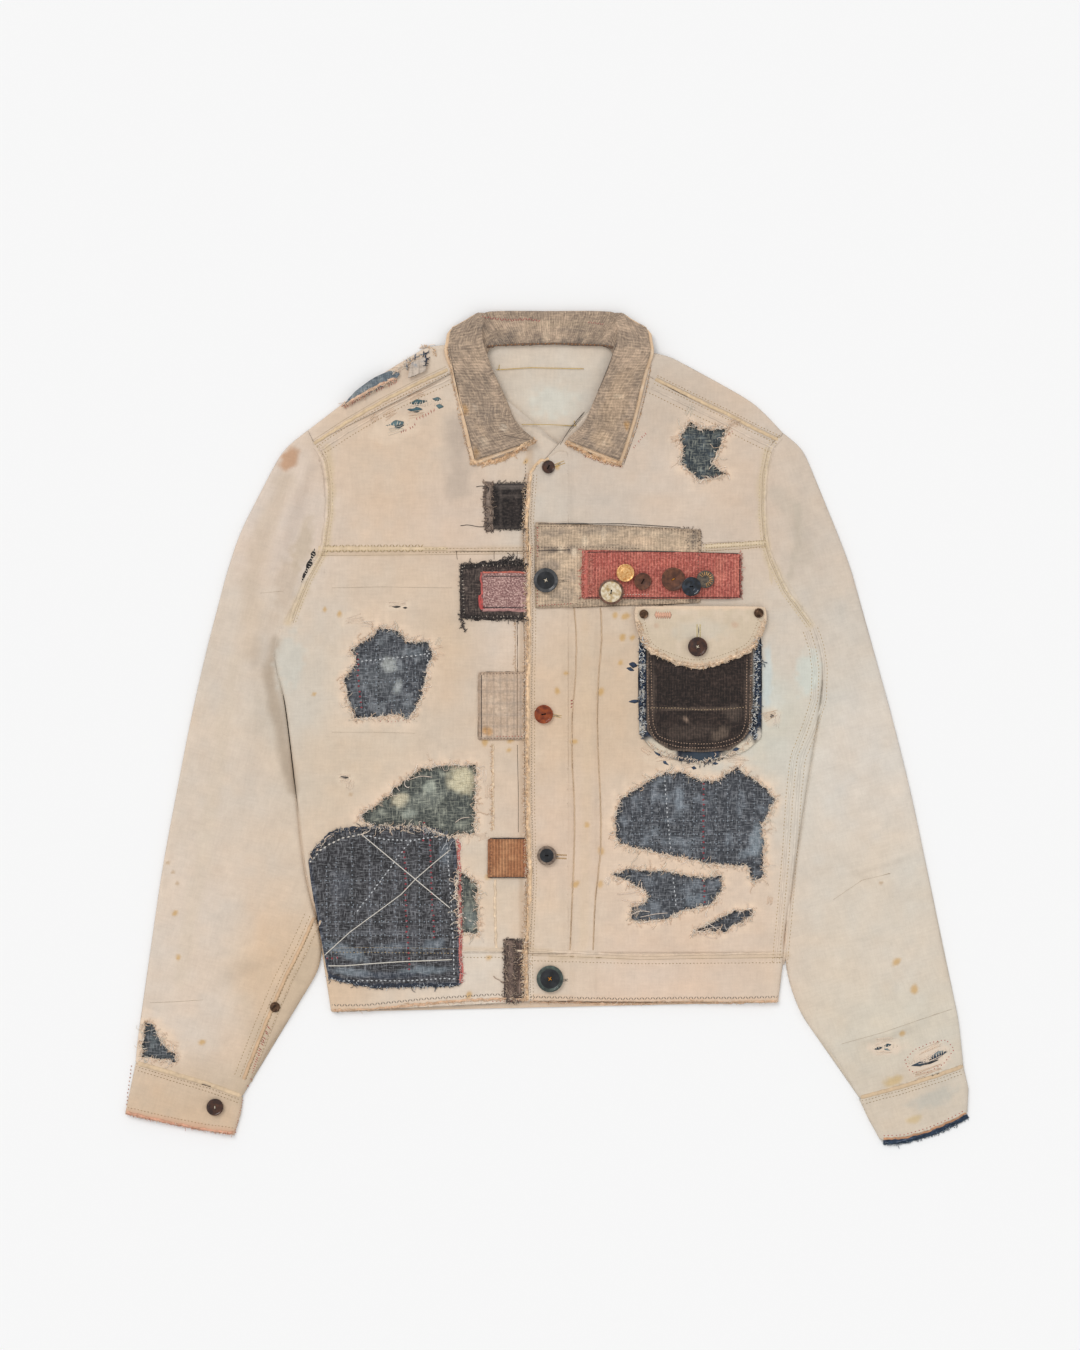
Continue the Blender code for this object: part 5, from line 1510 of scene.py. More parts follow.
    def darn(self, x, y, length, angle, rows, colour=PEACH, spacing=1.3, radius=0.24):
        """A darned or frayed place: parallel threads over a small area."""
        turn = radians(angle)
        for row in range(rows):
            beside = (row - (rows - 1) / 2) * spacing + self.random.normal(0, 0.2)
            half = length / 2 * self.random.uniform(0.65, 1.1)
            cx, cy = x - sin(turn) * beside, y + cos(turn) * beside
            drift = self.random.normal(0, 0.1)
            line = [
                (cx + cos(turn + drift) * t, cy + sin(turn + drift) * t)
                for t in np.linspace(-half, half, 5)
            ]
            self.thread(line, radius, colour, 0.15)

    def finish(self, name, material):
        """Make the piece."""
        dyes = np.array(self.dyes)
        flat = np.array(self.points)
        piece = make_object(name, flat, self.faces, material, flat[:, :2], dyes)
        return piece


def beside(line, distance):
    """A line moved sideways, to its left when the distance is positive."""
    line = evenly(line, 3)
    way = heading(line)
    return line + np.stack((-way[:, 1], way[:, 0]), 1) * distance


# Lines that the seams follow, which strips, stitches and frays share.
ARMHOLE_RIGHT = (-224, 535, -216, 520, -213, 499, -213, 473, -218, 437, -233, 409, -242, 387, -248, 369)
ARMHOLE_LEFT = (219, 544, 209, 532, 204, 508, 203, 475, 205, 446, 211, 427, 224, 399, 238, 380, 248, 366)
SIDE_SEAM = (250, 363, 256, 345, 259, 323, 258, 294, 249, 266, 238, 238, 234, 200, 231, 152, 226, 95, 221, 43)
SHOULDER_RIGHT = (-225, 538, -196, 557, -162, 577, -129, 594, -98, 608)
SHOULDER_LEFT = (99, 599, 132, 583, 165, 567, 194, 552, 217, 541)
PLACKET_EDGE = (
    -20, 509, -23, 466, -21, 428, -21, 390, -21, 352, -22, 314, -22, 238, -22, 200,
    -21, 152, -20, 124, -22, 86, -24, 48, -23, 9,
)
PLEATS = (
    (22, 382, 24, 352, 23, 314, 20, 276, 20, 238, 22, 200, 22, 152, 20, 104, 18, 57),
    (47, 382, 48, 352, 45, 314, 44, 276, 45, 238, 47, 200, 47, 152, 42, 104, 40, 57),
)
HEM_RIGHT = (-209, 0, -177, 0, -120, 6, -58, 10, -22, 10)
HEM_LEFT = (-20, 8, 28, 7, 66, 6, 123, 7, 180, 7, 216, 8)
CUFF_RIGHT, CUFF_LEFT = (-394, -50, -354, -62, -321, -72, -294, -82), (294, -83, 332, -73, 370, -61, 392, -53)
WRIST_RIGHT = (-404, -97, -371, -105, -333, -113, -301, -117)
WRIST_LEFT = (316, -125, 336, -124, 360, -117, 379, -109, 396, -100)
SLEEVE_SEAM = (-225, 88, -238, 59, -254, 27, -269, -8, -281, -38, -292, -66)
LEAF_RIGHT = (-77, 520, -60, 520, -44, 525, -29, 533, -15, 542)
LEAF_LEFT = (14, 540, 33, 529, 50, 522, 67, 518)
FLAP_EDGE = (82, 370, 91, 344, 118, 330, 140, 326, 167, 332, 192, 345, 203, 370)
SASHIKO_TOP = (-228, 146, -218, 158, -204, 170, -167, 173, -120, 173, -98, 165)
SASHIKO_FOOT = (-211, 33, -182, 25, -157, 23, -120, 24, -90, 25)
SASHIKO_SIDE = (-88, 162, -87, 124, -86, 81, -85, 26)


def seam_strips(ground, material):
    """Felled seams and worn edges that stand over the cloth as soft ridges, as one piece, with painted shade
    along their edges and a painted highlight along their tops.
    """
    points, faces, dyes, uvs = [], [], [], []
    profile = pairs((-0.5, -0.15, -0.42, 0.55, -0.15, 0.95, 0.15, 1.0, 0.42, 0.6, 0.5, -0.15))
    for strip in STRIPS:
        line = evenly(curve_through(strip.line, 6), 1.6)
        way = heading(line)
        start = len(points)
        for number, ((x, y), (wx, wy)) in enumerate(zip(line, way)):
            share = number / (len(line) - 1)
            width = mix(strip.width, strip.end_width, share)
            puff = 1 + 0.45 * float(wobble(x, y, 2.6, 61)) + 0.25 * float(wobble(x, y, 9, 62))
            sway = strip.ragged * float(wobble(x, y, 3.0, 63))
            end = min(1, number / 2, (len(line) - 1 - number) / 2)
            places = [
                (x - wy * (across * width + sway), y + wx * (across * width + sway))
                for across, _ in profile
            ]
            tops = [ground.top(*place) for place in places]
            # A strip bridges the gap between two cloths and doesn't sink into it.
            bridge = max(0.1, min(tops[0], tops[-1]))
            for (across, up), place, top in zip(profile, places, tops):
                points.append((*place, max(bridge, top) + strip.rise * up * puff * end))
                uvs.append((across * width, number * 1.6))
        count = len(profile)
        for ring in range(len(line) - 1):
            for n in range(count - 1):
                a = start + ring * count + n
                faces.append((a, a + 1, a + count + 1, a + count))
        flat = np.array(points[start:])
        x, y = flat[:, 0], flat[:, 1]
        cloth = ecru_dye_and_shade(x, y, x) if strip.colour == PLAIN else np.array([linear(strip.colour)])
        speckle = 1 + 0.07 * wobble(x, y, 6, 64) + strip.ragged * 0.3 * wobble(x, y, 1.9, 65)
        # Painted shade along both edges of each strip and a painted highlight along its top: darker at the
        # sides, lighter in the middle.
        ring = np.tile([0.62, 0.9, 1.04, 1.04, 0.93, 0.68], len(line))
        dyes += list(cloth * (speckle * ring)[:, None])
    piece = make_object("felled_seams", points, faces, material, uvs, np.array(dyes))
    lines = [evenly(strip.line, 4) for strip in STRIPS]


PLAIN = "the cloth's own"
Strip = namedtuple("Strip", "line width end_width rise ragged colour")
STRIPS = (
    Strip(ARMHOLE_RIGHT, 4.4, 3.6, 0.5, 0.3, PLAIN), Strip(ARMHOLE_LEFT, 4.2, 3.2, 0.5, 0.3, PLAIN),
    # Side seam of the left front, double felled.
    Strip(SIDE_SEAM, 2.4, 2.8, 0.4, 0.2, PLAIN), Strip(beside(SIDE_SEAM, -8), 2.0, 2.0, 0.35, 0.2, PLAIN),
    # Yoke seams.
    Strip((-221, 438, -181, 438, -98, 438), 6.0, 3.6, 0.5, 0.3, "#d3bc9d"),
    Strip((-98, 437, -77, 437, -24, 437.6), 3.2, 3.0, 0.4, 0.3, PLAIN),
    Strip((146, 440, 178, 442, 204, 444), 5.0, 5.0, 0.5, 0.4, "#d3bfa2"),
    Strip(SHOULDER_RIGHT, 3.4, 3.4, 0.6, 0.4, "#d3ba98"),
    Strip(beside(SHOULDER_RIGHT, -8.5), 2.4, 2.4, 0.4, 0.3, PLAIN),
    Strip(SHOULDER_LEFT, 3.4, 3.4, 0.6, 0.4, "#d2b896"),
    Strip(beside(SHOULDER_LEFT, -9), 2.4, 2.4, 0.4, 0.3, PLAIN),
    # Frayed edge of the placket, the hem and the waistband's upper seam.
    Strip(PLACKET_EDGE, 3.8, 4.2, 0.8, 0.9, "#e0c09c"),
    Strip((-2, 523, -12, 520, -19, 509), 3.2, 3.6, 0.7, 0.9, "#dfc09c"),
    Strip(HEM_RIGHT, 2.8, 2.6, 0.6, 0.9, "#d8b292"), Strip(HEM_LEFT, 2.8, 2.8, 0.6, 0.9, "#d9b495"),
    Strip((-85, 56, -58, 57, -24, 56), 2.0, 2.0, 0.3, 0.3, PLAIN),
    Strip((-20, 57, 18, 55, 85, 52, 142, 53, 220, 54), 2.4, 2.4, 0.4, 0.3, PLAIN),
    # Cuffs, and the sleeve seam above the right one.
    Strip(CUFF_RIGHT, 4.6, 4.6, 0.35, 0.4, "#d2b99a"), Strip(CUFF_LEFT, 4.0, 4.0, 0.35, 0.3, "#cfb595"),
    Strip(WRIST_RIGHT, 3.0, 3.0, 0.7, 0.9, "#d39f84"),
    Strip(beside(WRIST_LEFT, 2.4), 2.4, 2.4, 0.6, 0.7, "#c8946f"),
    Strip(beside(WRIST_LEFT, -1.2), 4.8, 4.2, 0.5, 1.0, "#2d3e54"),
    Strip(SLEEVE_SEAM, 3.0, 3.4, 0.5, 0.4, "#cfae8c"),
    Strip(beside(SLEEVE_SEAM, 7), 2.0, 2.0, 0.3, 0.2, PLAIN),
    # Pleats of the left front, and the facing that shows beside the placket.
    *(Strip(line, 1.6, 1.6, 0.4, 0.3, "#cbb093") for line in PLEATS),
    Strip((-33, 370, -33, 345, -33, 323), 2.0, 2.0, 0.4, 0.3, PLAIN),
    Strip((-55, 253, -55, 209, -55, 171), 2.6, 2.6, 0.5, 0.8, "#dcc4a8"),
    Strip((-53, 124, -53, 90, -52, 59), 2.6, 2.6, 0.5, 0.8, "#dcc4a8"),
    # Collar: the dark seam of the band and the thick frayed ends of the leaves.
    Strip((-61, 629, -30, 631.5, 0, 632, 30, 631.5, 59, 629), 2.6, 2.6, 0.3, 0.4, "#6b5545"),
    Strip(LEAF_RIGHT, 5.5, 4.5, 0.6, 1.0, "#e3c09a"), Strip(LEAF_LEFT, 4.5, 5.5, 0.6, 1.0, "#dfb992"),
    # Rolled, frayed edges of the patches and the flap.
    Strip((-59, 502, -60, 478, -58, 454), 8.5, 8.5, 0.9, 1.4, "#7f6f64"),
    Strip((-39, 68, -38, 48, -39, 28, -37, 7), 7.5, 8.0, 1.0, 1.6, "#77645a"),
    Strip((33, 436, 32, 413, 33, 391), 6.0, 6.5, 1.0, 1.0, "#c06c5f"),
    Strip((-66, 416, -66, 398, -66, 381), 1.8, 2.4, 0.6, 0.8, "#b85a54"),
    Strip((-68, 394, -67, 386, -64, 381), 2.6, 4.6, 1.1, 1.0, "#b84c49"),
    Strip((-65, 380, -44, 380, -22, 379), 2.4, 2.4, 0.4, 0.6, "#c4928c"),
    Strip((-65, 416, -44, 416, -22, 415.5), 1.8, 1.8, 0.4, 0.6, "#c66a58"),
    Strip((-85, 420, -58, 424, -42, 425, -27, 424), 4.5, 5.0, 0.8, 1.8, "#2a2321"),
    Strip((-80, 373, -58, 372, -40, 373, -24, 372), 3.4, 3.4, 0.6, 1.6, "#2f2725"),
    Strip(SASHIKO_SIDE, 3.0, 3.2, 0.5, 1.0, "#c9746c"), Strip(SASHIKO_TOP, 3.6, 3.6, 0.6, 1.6, "#2f3642"),
    Strip(SASHIKO_FOOT, 3.4, 3.4, 0.6, 1.6, "#2b313c"),
    Strip(FLAP_EDGE, 3.4, 3.4, 0.6, 1.6, "#dfc5a8"),
    Strip((-197, 574, -184, 581, -163, 593, -147, 600), 2.6, 2.6, 0.5, 1.0, "#d8b498"),
)


# ---------------------------------------------------------------- sewing

SHOULDER_ROWS = (
    *(beside(SHOULDER_RIGHT, away) for away in (-3.5, -13)),
    *(beside(SHOULDER_LEFT, away) for away in (4, -4, -14)),
)
ARMHOLE_ROWS = tuple(beside(ARMHOLE_RIGHT, away) for away in (5.5, 1.5)) + tuple(
    beside(ARMHOLE_LEFT, away) for away in (-5.5, -1)
)
SIDE_ROWS = tuple(beside(SIDE_SEAM, away) for away in (3.4, -4.5, -11))
# Lines where one cloth ends on another or folds over, seen as thin dark lines: half width,
# colour and places.
SHADOW_LINES = (
    (0.34, "#8f7358", PLEATS),
    (0.36, "#a8916f", (
        (-221, 432, -181, 432, -120, 432.5, -77, 433, -26, 433.5), (146, 436, 180, 438, 203, 441),
        (-209, 59, -177, 59.5, -120, 59, -90, 58), (-20, 52, 18, 51, 85, 48, 142, 49, 220, 50),
        beside(ARMHOLE_RIGHT, 3.4), beside(ARMHOLE_LEFT, -3), beside(SLEEVE_SEAM, 1.6),
        beside(SHOULDER_RIGHT, 3.4), beside(SHOULDER_LEFT, 2.4),
    )),
    (0.5, "#6f5c4c", (
        (-27, 498, -26, 425), (-26, 378, -25, 332, -25, 258), (-32, 369, -32, 332, -32, 261),
        (-25, 255, -25, 209, -24, 165), (-24, 122, -23, 90, -24, 68), (-32, 252, -31, 209, -31, 169),
        (-90, 436, -89, 428), (-54, 436, -54, 428), (-32, 436, -32, 428), (-91, 436, -21, 435.6),
    )),
    (0.6, "#332c2a", (
        (-71, 497, -66, 498, -60, 496), (-86, 460, -79, 461, -69, 459, -59, 459), (-24, 509, -26, 502),
        (-51, 457.5, -22, 458), (-50, 499, -23, 499), (-15, 461.5, 68, 462, 123, 458.5), (-12, 436, 18, 437),
        (32, 434.6, 85, 435.6, 142, 434.5, 178, 433.6), (31, 392, 85, 391.8, 180, 392),
        (179.5, 433, 179, 413, 179.5, 392), (-65, 382.4, -23, 382), (-64, 412, -23, 412),
        (-66, 318, -66, 259), (-58, 163, -24, 163), (-58, 126, -24, 126),
    )),
    (0.45, "#5d5046", (
        (-20, 540.5, -45, 545.5), (8.5, 537, 18, 552, 33, 570, 46, 590, 55, 612, 62, 632),
        (69, 518, 80, 549, 88, 578, 95, 612), (-96, 630, -92, 604, -87, 580, -79, 552, -72, 522),
    )),
)


def sew_seams(ground, material):
    """Machine stitching and shadow lines along the seams, hem, placket and pleats."""
    sewn = Threads(ground, 5)
    for radius, tone, lines in SHADOW_LINES:
        for line in lines:
            sewn.thread(evenly(line, 3), radius, tone, -0.15)
    for lines, long, gap, width, tone in (
        (SHOULDER_ROWS, 2.2, 0.9, 1.0, "#b3966c"), (ARMHOLE_ROWS, 2.4, 0.8, 1.2, "#ddc9a4"),
        (SIDE_ROWS, 2.6, 0.8, 0.9, "#bfa67c"),
    ):
        for line in lines:
            sewn.run(line, long, gap, width, tone)
    # Chevrons where the yoke was sewn down twice, plain rows beside them.
    for y in (440.5, 436):
        sewn.zigzag((-214, y, -181, y + 0.3, -121, y + 0.5), 3.6, 3.0, 1.0, "#b0976c")
    for y in (438, 434.5):
        sewn.run((-120, y, -77, y + 0.5, -24, y + 1), 2.4, 0.9, 0.9, "#a8926f")
    for y in (442, 439, 436):
        sewn.run((144, y, 180, y + 2, 205, y + 4), 1.8, 0.9, 1.1, "#a98f62")
    for line in ((-208, 55, -177, 55, -92, 54), (-84, 50, -24, 50), (-20, 47, 85, 44, 220, 45)):
        sewn.run(line, 2.4, 0.9, 0.9, "#ad9670")
    for line in (HEM_RIGHT, HEM_LEFT):
        sewn.zigzag(beside(line, 4.6), 3.4, 2.6, 1.1, "#85786a")
    sewn.zigzag(beside(PLACKET_EDGE, 3.6), 2.2, 2.3, 0.8, "#93826d")
    sewn.run(beside(PLACKET_EDGE, 6.4), 2.4, 0.8, 0.8, "#b3976d")
    for shift, tone in ((2, "#a08358"), (-4, "#ad9268"), (-9.5, "#b59c74"), (7, "#ad9268")):
        sewn.run(beside(SLEEVE_SEAM, shift), 2.4, 0.8, 0.9, tone)
    for shift in (-3.6, -6.8):
        sewn.run(beside(CUFF_RIGHT, shift), 2.4, 0.8, 0.9, "#9b7f59")
        sewn.run(beside(CUFF_LEFT, shift), 2.4, 0.8, 0.9, "#a58e6b")
    sewn.run(beside(WRIST_RIGHT, 5), 2.4, 0.9, 0.9, "#ab8760")
    # Fine creases left by folding, drawn as thin lines of painted shade, and the yellow rows inside the neck.
    for line in (
        (-381, 7, -357, 8, -330, 10), (276, -32, 313, -21, 346, -10, 381, 1),
        (-208, 401, -162, 402, -94, 401),
        (-208, 264, -167, 264, -129, 263), (268, 105, 296, 124, 322, 130), (-276, 396, -254, 398),
    ):
        sewn.thread(evenly(line, 3), 0.3, "#b5a48e", -0.1)
    for line in ((-52, 608, -20, 610, 31, 609), (-28, 556, -1, 556, 24, 555), (22, 560, 23, 554),
        (-49, 613, -50, 608)):
        sewn.thread(evenly(line, 3), 0.4, "#cfae62", 1.6)
    sewn.run((-60, 630.5, -30, 632, 0, 632.5, 30, 632, 58, 630.5), 2.2, 1.4, 1.0, "#b8793c")
    return sewn.finish("seam_stitches", material)


def sew_pocket(ground, material):
    """Tan double stitching of the pocket, its flap's border and the buttonholes."""
    sewn = Threads(ground, 6)
    rim = curve_through((92, 332, 93, 294, 94, 274, 99, 260, 107, 255, 123, 251, 142, 250, 159, 251,
        174, 255, 182, 260, 187, 272, 188, 294, 189, 334), 4)
    for shift in (0, 3.2):
        sewn.run(beside(rim, 1.2 * shift - 1), 2.0, 0.7, 1.1, "#b0917a")
    sewn.run((94, 287, 118, 287, 142, 285, 165, 286, 187, 288), 2.0, 0.8, 1.0, "#b49a78")
    sewn.run(beside(curve_through(FLAP_EDGE, 4), 6.5), 2.0, 0.8, 0.8, "#ab9270")
    for n in range(7):
        sewn.stitch((100 + 2.1 * n, 380), (100 + 2.1 * n, 370.5), 4.0, "#dcaa8e", 0.3)
    for place, colour, slit in (
        ((140, 360, 12, 4.4, 90), "#d8c489", DARK), ((8.5, 518.7, 10, 3.0, 22), "#c8a048", DARK),
        ((12.3, 407.5, 11, 2.2, 2), "#8a7a6a", "#2c2625"), ((5.7, 279.3, 9, 2.4, -10), "#c9a657", DARK),
        ((6, 146, 17, 5.0, -3), "#b8925a", "#2c2625"), ((14.2, 28.5, 5, 2, 0), "#4a443b", DARK),
    ):
        x, y, long, wide, turn = place
        turn = radians(turn)
        along, away = np.array((cos(turn), sin(turn))), np.array((-sin(turn), cos(turn)))
        for step in np.arange(-long / 2, long / 2 + 0.01, 0.85):
            for side in (1, -1):
                inner = np.array((x, y)) + along * step + away * 0.35 * side
                sewn.stitch(inner, inner + away * wide / 2 * side, 0.9, colour, 0.3)
        # The slit is a dark line of painted shadow in the cut.
        sewn.stitch((x, y) - along * long / 2, (x, y) + along * long / 2, 0.8, slit, 0.2)
    return sewn.finish("pocket_stitches", material)


def sew_patches(ground, material):
    """Stitches that hold the patches: brown, black, white and red, by hand and machine."""
    sewn = Threads(ground, 7)
    for line, tone in (
        ((-13, 459, 68, 460, 123, 456, 141, 452), BROWN), ((140, 452, 139, 390), BROWN),
        ((139, 389, 45, 390, 23, 386, -12, 383), "#8d7460"), ((-13, 439, 37, 440, 85, 438), "#6f5d50"),
        ((135, 455, 135, 436), "#4a4240"), ((130, 455, 130, 436), "#4a4240"),
        ((127, 446, 141, 445), "#4a4240"),
        ((40, 432, 41, 413, 40, 395), "#8f463e"), ((-54, 412, -23, 412), "#52303a"),
        ((-65, 383, -22, 382), "#452c3c"),
        ((-67, 258, -24, 258), "#7d6352"), ((-68, 319, -25, 320), "#7d6352"),
        ((-26, 318, -26, 259), "#8a7360"),
        ((-57, 161, -57, 127), "#5f3c28"), ((-24, 522, -24, 503), "#6b5a4e"),
    ):
        sewn.run(line, 2.2, 0.9, 0.9, tone)
    for line, tone in (
        ((-12, 384, 2, 385, 21, 386), RED), ((-13, 399, -13, 384), RED), ((-26, 161, -25, 126), RED),
        ((66, 394.5, 94, 394.5), "#e0c8b8"), ((-52, 260, -26, 260), "#c0695a"),
    ):
        sewn.run(line, 1.6, 1.3, 1.2, tone)
    sewn.whip((-13, 458, -13, 431), 3.0, 2.4, RED, 0.9, 0.6)
    for line in ((-85, 421, -84, 399, -83, 374), (-82, 421, -58, 422, -30, 423),
        (-75, 373, -48, 373, -24, 373)):
        sewn.whip(line, 3.4, 3.4, "#cfc0b0", 0.9, 0.1)
        sewn.whip(line, 3.0, 2.4, "#1e1918", 1.0, -0.2)
    sewn.whip((142, 455, 141, 432), 3.0, 2.2, "#4a4240", 0.9, 0.1)
    return sewn.finish("patch_stitches", material)


def sew_reds(ground, material):
    """Red hand stitches of the collar, shoulder, cuffs and placket."""
    sewn = Threads(ground, 8)
    for line, reach, spacing, tone in (
        ((33, 526, 44, 522, 54, 518, 66, 516), 3.4, 2.1, RED),
        ((79, 534, 85, 542, 92, 549), 2.8, 2.6, "#c06a60"),
        ((-197, 571, -185, 578, -172, 585, -159, 591, -147, 596), 4.2, 2.6, "#b4554c"),
        ((-127, 561, -119, 565, -111, 569), 5.0, 3.0, "#b35448"),
        ((-142, 549, -136, 551, -129, 555), 3.4, 2.4, RED),
        ((147, 505, 157, 507, 167, 509), 3.0, 2.8, "#b86a5e"), ((166, 545, 172, 549), 2.6, 2.4, "#b86a5e"),
        ((-267, -12, -275, -32, -282, -53, -291, -78), 5.5, 2.2, "#b0483f"),
        ((-294, -86, -297, -101, -301, -116), 3.4, 2.4, "#b96a58"),
        ((-20, 439, -20, 435), 2.4, 1.5, RED),
        ((-162, 274, -148, 274, -130, 276), 2.2, 3.4, "#c8887c"),
    ):
        sewn.whip(line, reach, spacing, tone, 0.85, 0.3)
    sewn.zigzag((-66, 658, -52, 656, -37, 655, -22, 656, -10, 654), 4.0, 2.4, 0.9, "#a9504a")
    sewn.zigzag((35, 653, 43, 652, 50, 651), 2.8, 2.2, 0.8, "#a9605a")
    for line, tone in (
        (beside(WRIST_RIGHT, -1.5), "#b9584c"), ((-399, -53, -402, -76, -404, -93), "#c38a72"),
        (beside(WRIST_LEFT, 5.5), "#b9584c"),
        ((336, -48, 344, -38, 360, -31, 375, -28, 383, -37, 373, -51, 356, -60, 341, -58, 336, -48),
            "#b5564c"),
        ((-56, 8, -28, 9), "#c0695a"),
    ):
        sewn.run(line, 1.8, 1.9, 1.2, tone)
    for n in range(3):
        sewn.stitch((17, 293 - 3 * n), (21.5, 294.6 - 3 * n), 1.2, RED)
    sewn.whip(beside(SASHIKO_SIDE, -1.5), 3.4, 2.8, "#d8867c", 0.9, 0.3)
    sewn.whip(beside(SASHIKO_SIDE, 2), 2.6, 3.2, "#e9d6cc", 0.8, 0.3)
    return sewn.finish("red_stitches", material)


# Rows of hand stitches on the sashiko patch and on the denim behind the holes: stitch, gap and
# width in millimetres, colour, and lines.
WORN_RED, PALE_BLUE, NIGHT = "#98363f", "#8b939c", "#1f2024"
COUCHED = (
    (-180, 167, -143, 136, -96, 97), (-215, 52, -191, 74, -165, 93, -142, 110, -129, 124, -113, 138,
        -96, 152),
    (-214, 42, -196, 42, -172, 44, -143, 46, -115, 47, -94, 48),
)
RUNNING_ROWS = (
    (4.5, 0.5, 1.8, "#dcd5ca", ((-230, 139, -218, 153, -200, 163, -180, 167), (-88, 92, -79, 86, -70, 80))),
    (3.4, 1.0, 1.6, "#c9cbcd", (
        (-185, 93, -170, 112, -154, 133, -142, 150, -132, 162),
        (-180, 167, -158, 162, -132, 161, -110, 165, -103, 160),
        (-215, 31, -196, 28, -167, 28, -134, 28, -105, 30, -90, 30),
        (-99, 160, -97, 133, -95, 104, -93, 66, -92, 33),
        (-186, 331, -162, 333, -134, 336, -113, 339), (108, 223, 110, 195, 112, 171, 114, 151),
        (116, 127, 118, 109, 119, 97), (-118, 342, -117, 328, -119, 321),
    )),
    (2.6, 2.6, 2.9, WORN_RED, (
        (-139, 151, -138, 124, -138, 95, -136, 66, -134, 36),
        (-115, 163, -114, 133, -113, 104, -111, 81, -111, 65),
        (-184, 340, -183, 314, -181, 294, -180, 283), (145, 217, 145, 190, 145, 162, 145, 141),
        (145, 125, 146, 109, 146, 99), (-120, 180, -121, 166, -122, 157), (-214, 49, -200, 50),
    )),
    (2.0, 2.4, 1.7, PALE_BLUE, (
        *((x, 160 - max(0, -190 - x), x, 47) for x in (-213, -204, -189, -172, -161, -148, -125, -105)),
        *((-219, y, -96, y) for y in (59, 71, 84, 100, 123)),
        *((x, 356, x, 278) for x in (-176, -166, -149, -137, -129)),
        (-193, 309, -120, 314), (-191, 289, -129, 296),
        *((x, 228, x, 85) for x in (77, 86, 96, 126, 136, 157, 168, 179, 193, 202)),
        *((58, y, 206, y) for y in (152, 159, 167, 180)), (84, 104, 141, 105),
    )),
    (2.0, 2.4, 1.9, NIGHT, (
        (-211, 141, -211, 52), (-187, 157, -187, 52), (-158, 152, -158, 52), (-123, 156, -123, 49),
        (-164, 347, -164, 283), (134, 218, 134, 144), (103, 199, 103, 150), (62, 173, 132, 173),
    )),
)


def sew_running(ground, material):
    """Running stitches of the sashiko patch and of the old denim behind the holes."""
    sewn = Threads(ground, 9)
    for line in COUCHED:
        sewn.thread(evenly(line, 3), 0.6, "#dcd5ca", 0.12)
    for long, gap, width, tone, lines in RUNNING_ROWS:
        for line in lines:
            on_patch = line[0] < -85 and line[1] < 190
            line = evenly(line, 4)
            line = line + 0.7 * np.sin(line[:, ::-1] * 0.9)
            sewn.run(line, long, gap, width, tone, 0.2, 0.2, 99 if on_patch else 3.3)
    return sewn.finish("running_stitches", material)


# ---------------------------------------------------------------- frays

PALE = (PEACH, "#f0dcc8", CREAM, "#e2c4a8", "#f3e6d8")
TAN = (PEACH, "#e8cbaa", "#e2bf9a", "#f1dcc6", "#d8b48e")
# Warp threads left across the holes.
LEFT_ACROSS = (
    (63, 110, 75, 111, 88, 114), (67, 105, 79, 102, 89, 102), (73, 99, 85, 100, 92, 104),
    (75, 90, 85, 94, 94, 93), (85, 88, 99, 91, 111, 92), (132, 71, 147, 77, 162, 79),
    (139, 76, 147, 70, 157, 68), (144, 85, 153, 80, 161, 74), (125, 553, 138, 555, 153, 554),
    (-185, 183, -176, 188, -170, 194), (-136, 218, -124, 222, -113, 221), (-91, 178, -85, 182, -77, 183),
    (351, -47, 358, -45, 368, -38), (349, -51, 360, -48, 371, -43), (-133, 574, -126, 575, -119, 574),
)
# Darned and frayed places: middle, length, turn and number of threads.
TEARS = (
    (-146, 386, 20, 4, 4), (-186, 371, 18, 8, 6), (-174, 367, 14, -6, 5), (-196, 220, 12, 0, 7),
    (-191, 214, 10, 80, 6), (-107, 350, 9, 60, 4), (-128, 584, 16, 14, 5), (-128, 566, 16, 10, 5),
    (-147, 551, 18, 8, 5), (-153, 566, 12, 30, 5), (-168, 562, 10, 45, 5), (132, 570, 12, 70, 5),
    (173, 557, 14, 25, 6), (118, 543, 10, 15, 5), (-64, 223, 14, 85, 5), (-60, 207, 14, 88, 4),
    (-65, 165, 10, 20, 5), (316, -28, 22, 6, 4), (316, -40, 20, 6, 3), (360, -36, 30, 22, 4),
    (358, -58, 30, 20, 5), (-371, -23, 14, -20, 5), (-360, -32, 14, -15, 5), (208, 104, 8, 80, 4),
    (58, 165, 8, 60, 4), (54, 123, 8, 70, 5), (81, 93, 10, 60, 5), (185, 86, 10, 10, 4),
    (130, 232, 12, 5, 4), (92, 221, 12, -30, 4), (208, 280, 16, 20, 6), (214, 276, 14, 80, 5),
    (110, 240, 20, 10, 5), (176, 238, 22, -8, 5), (90, 246, 12, -30, 4),
)
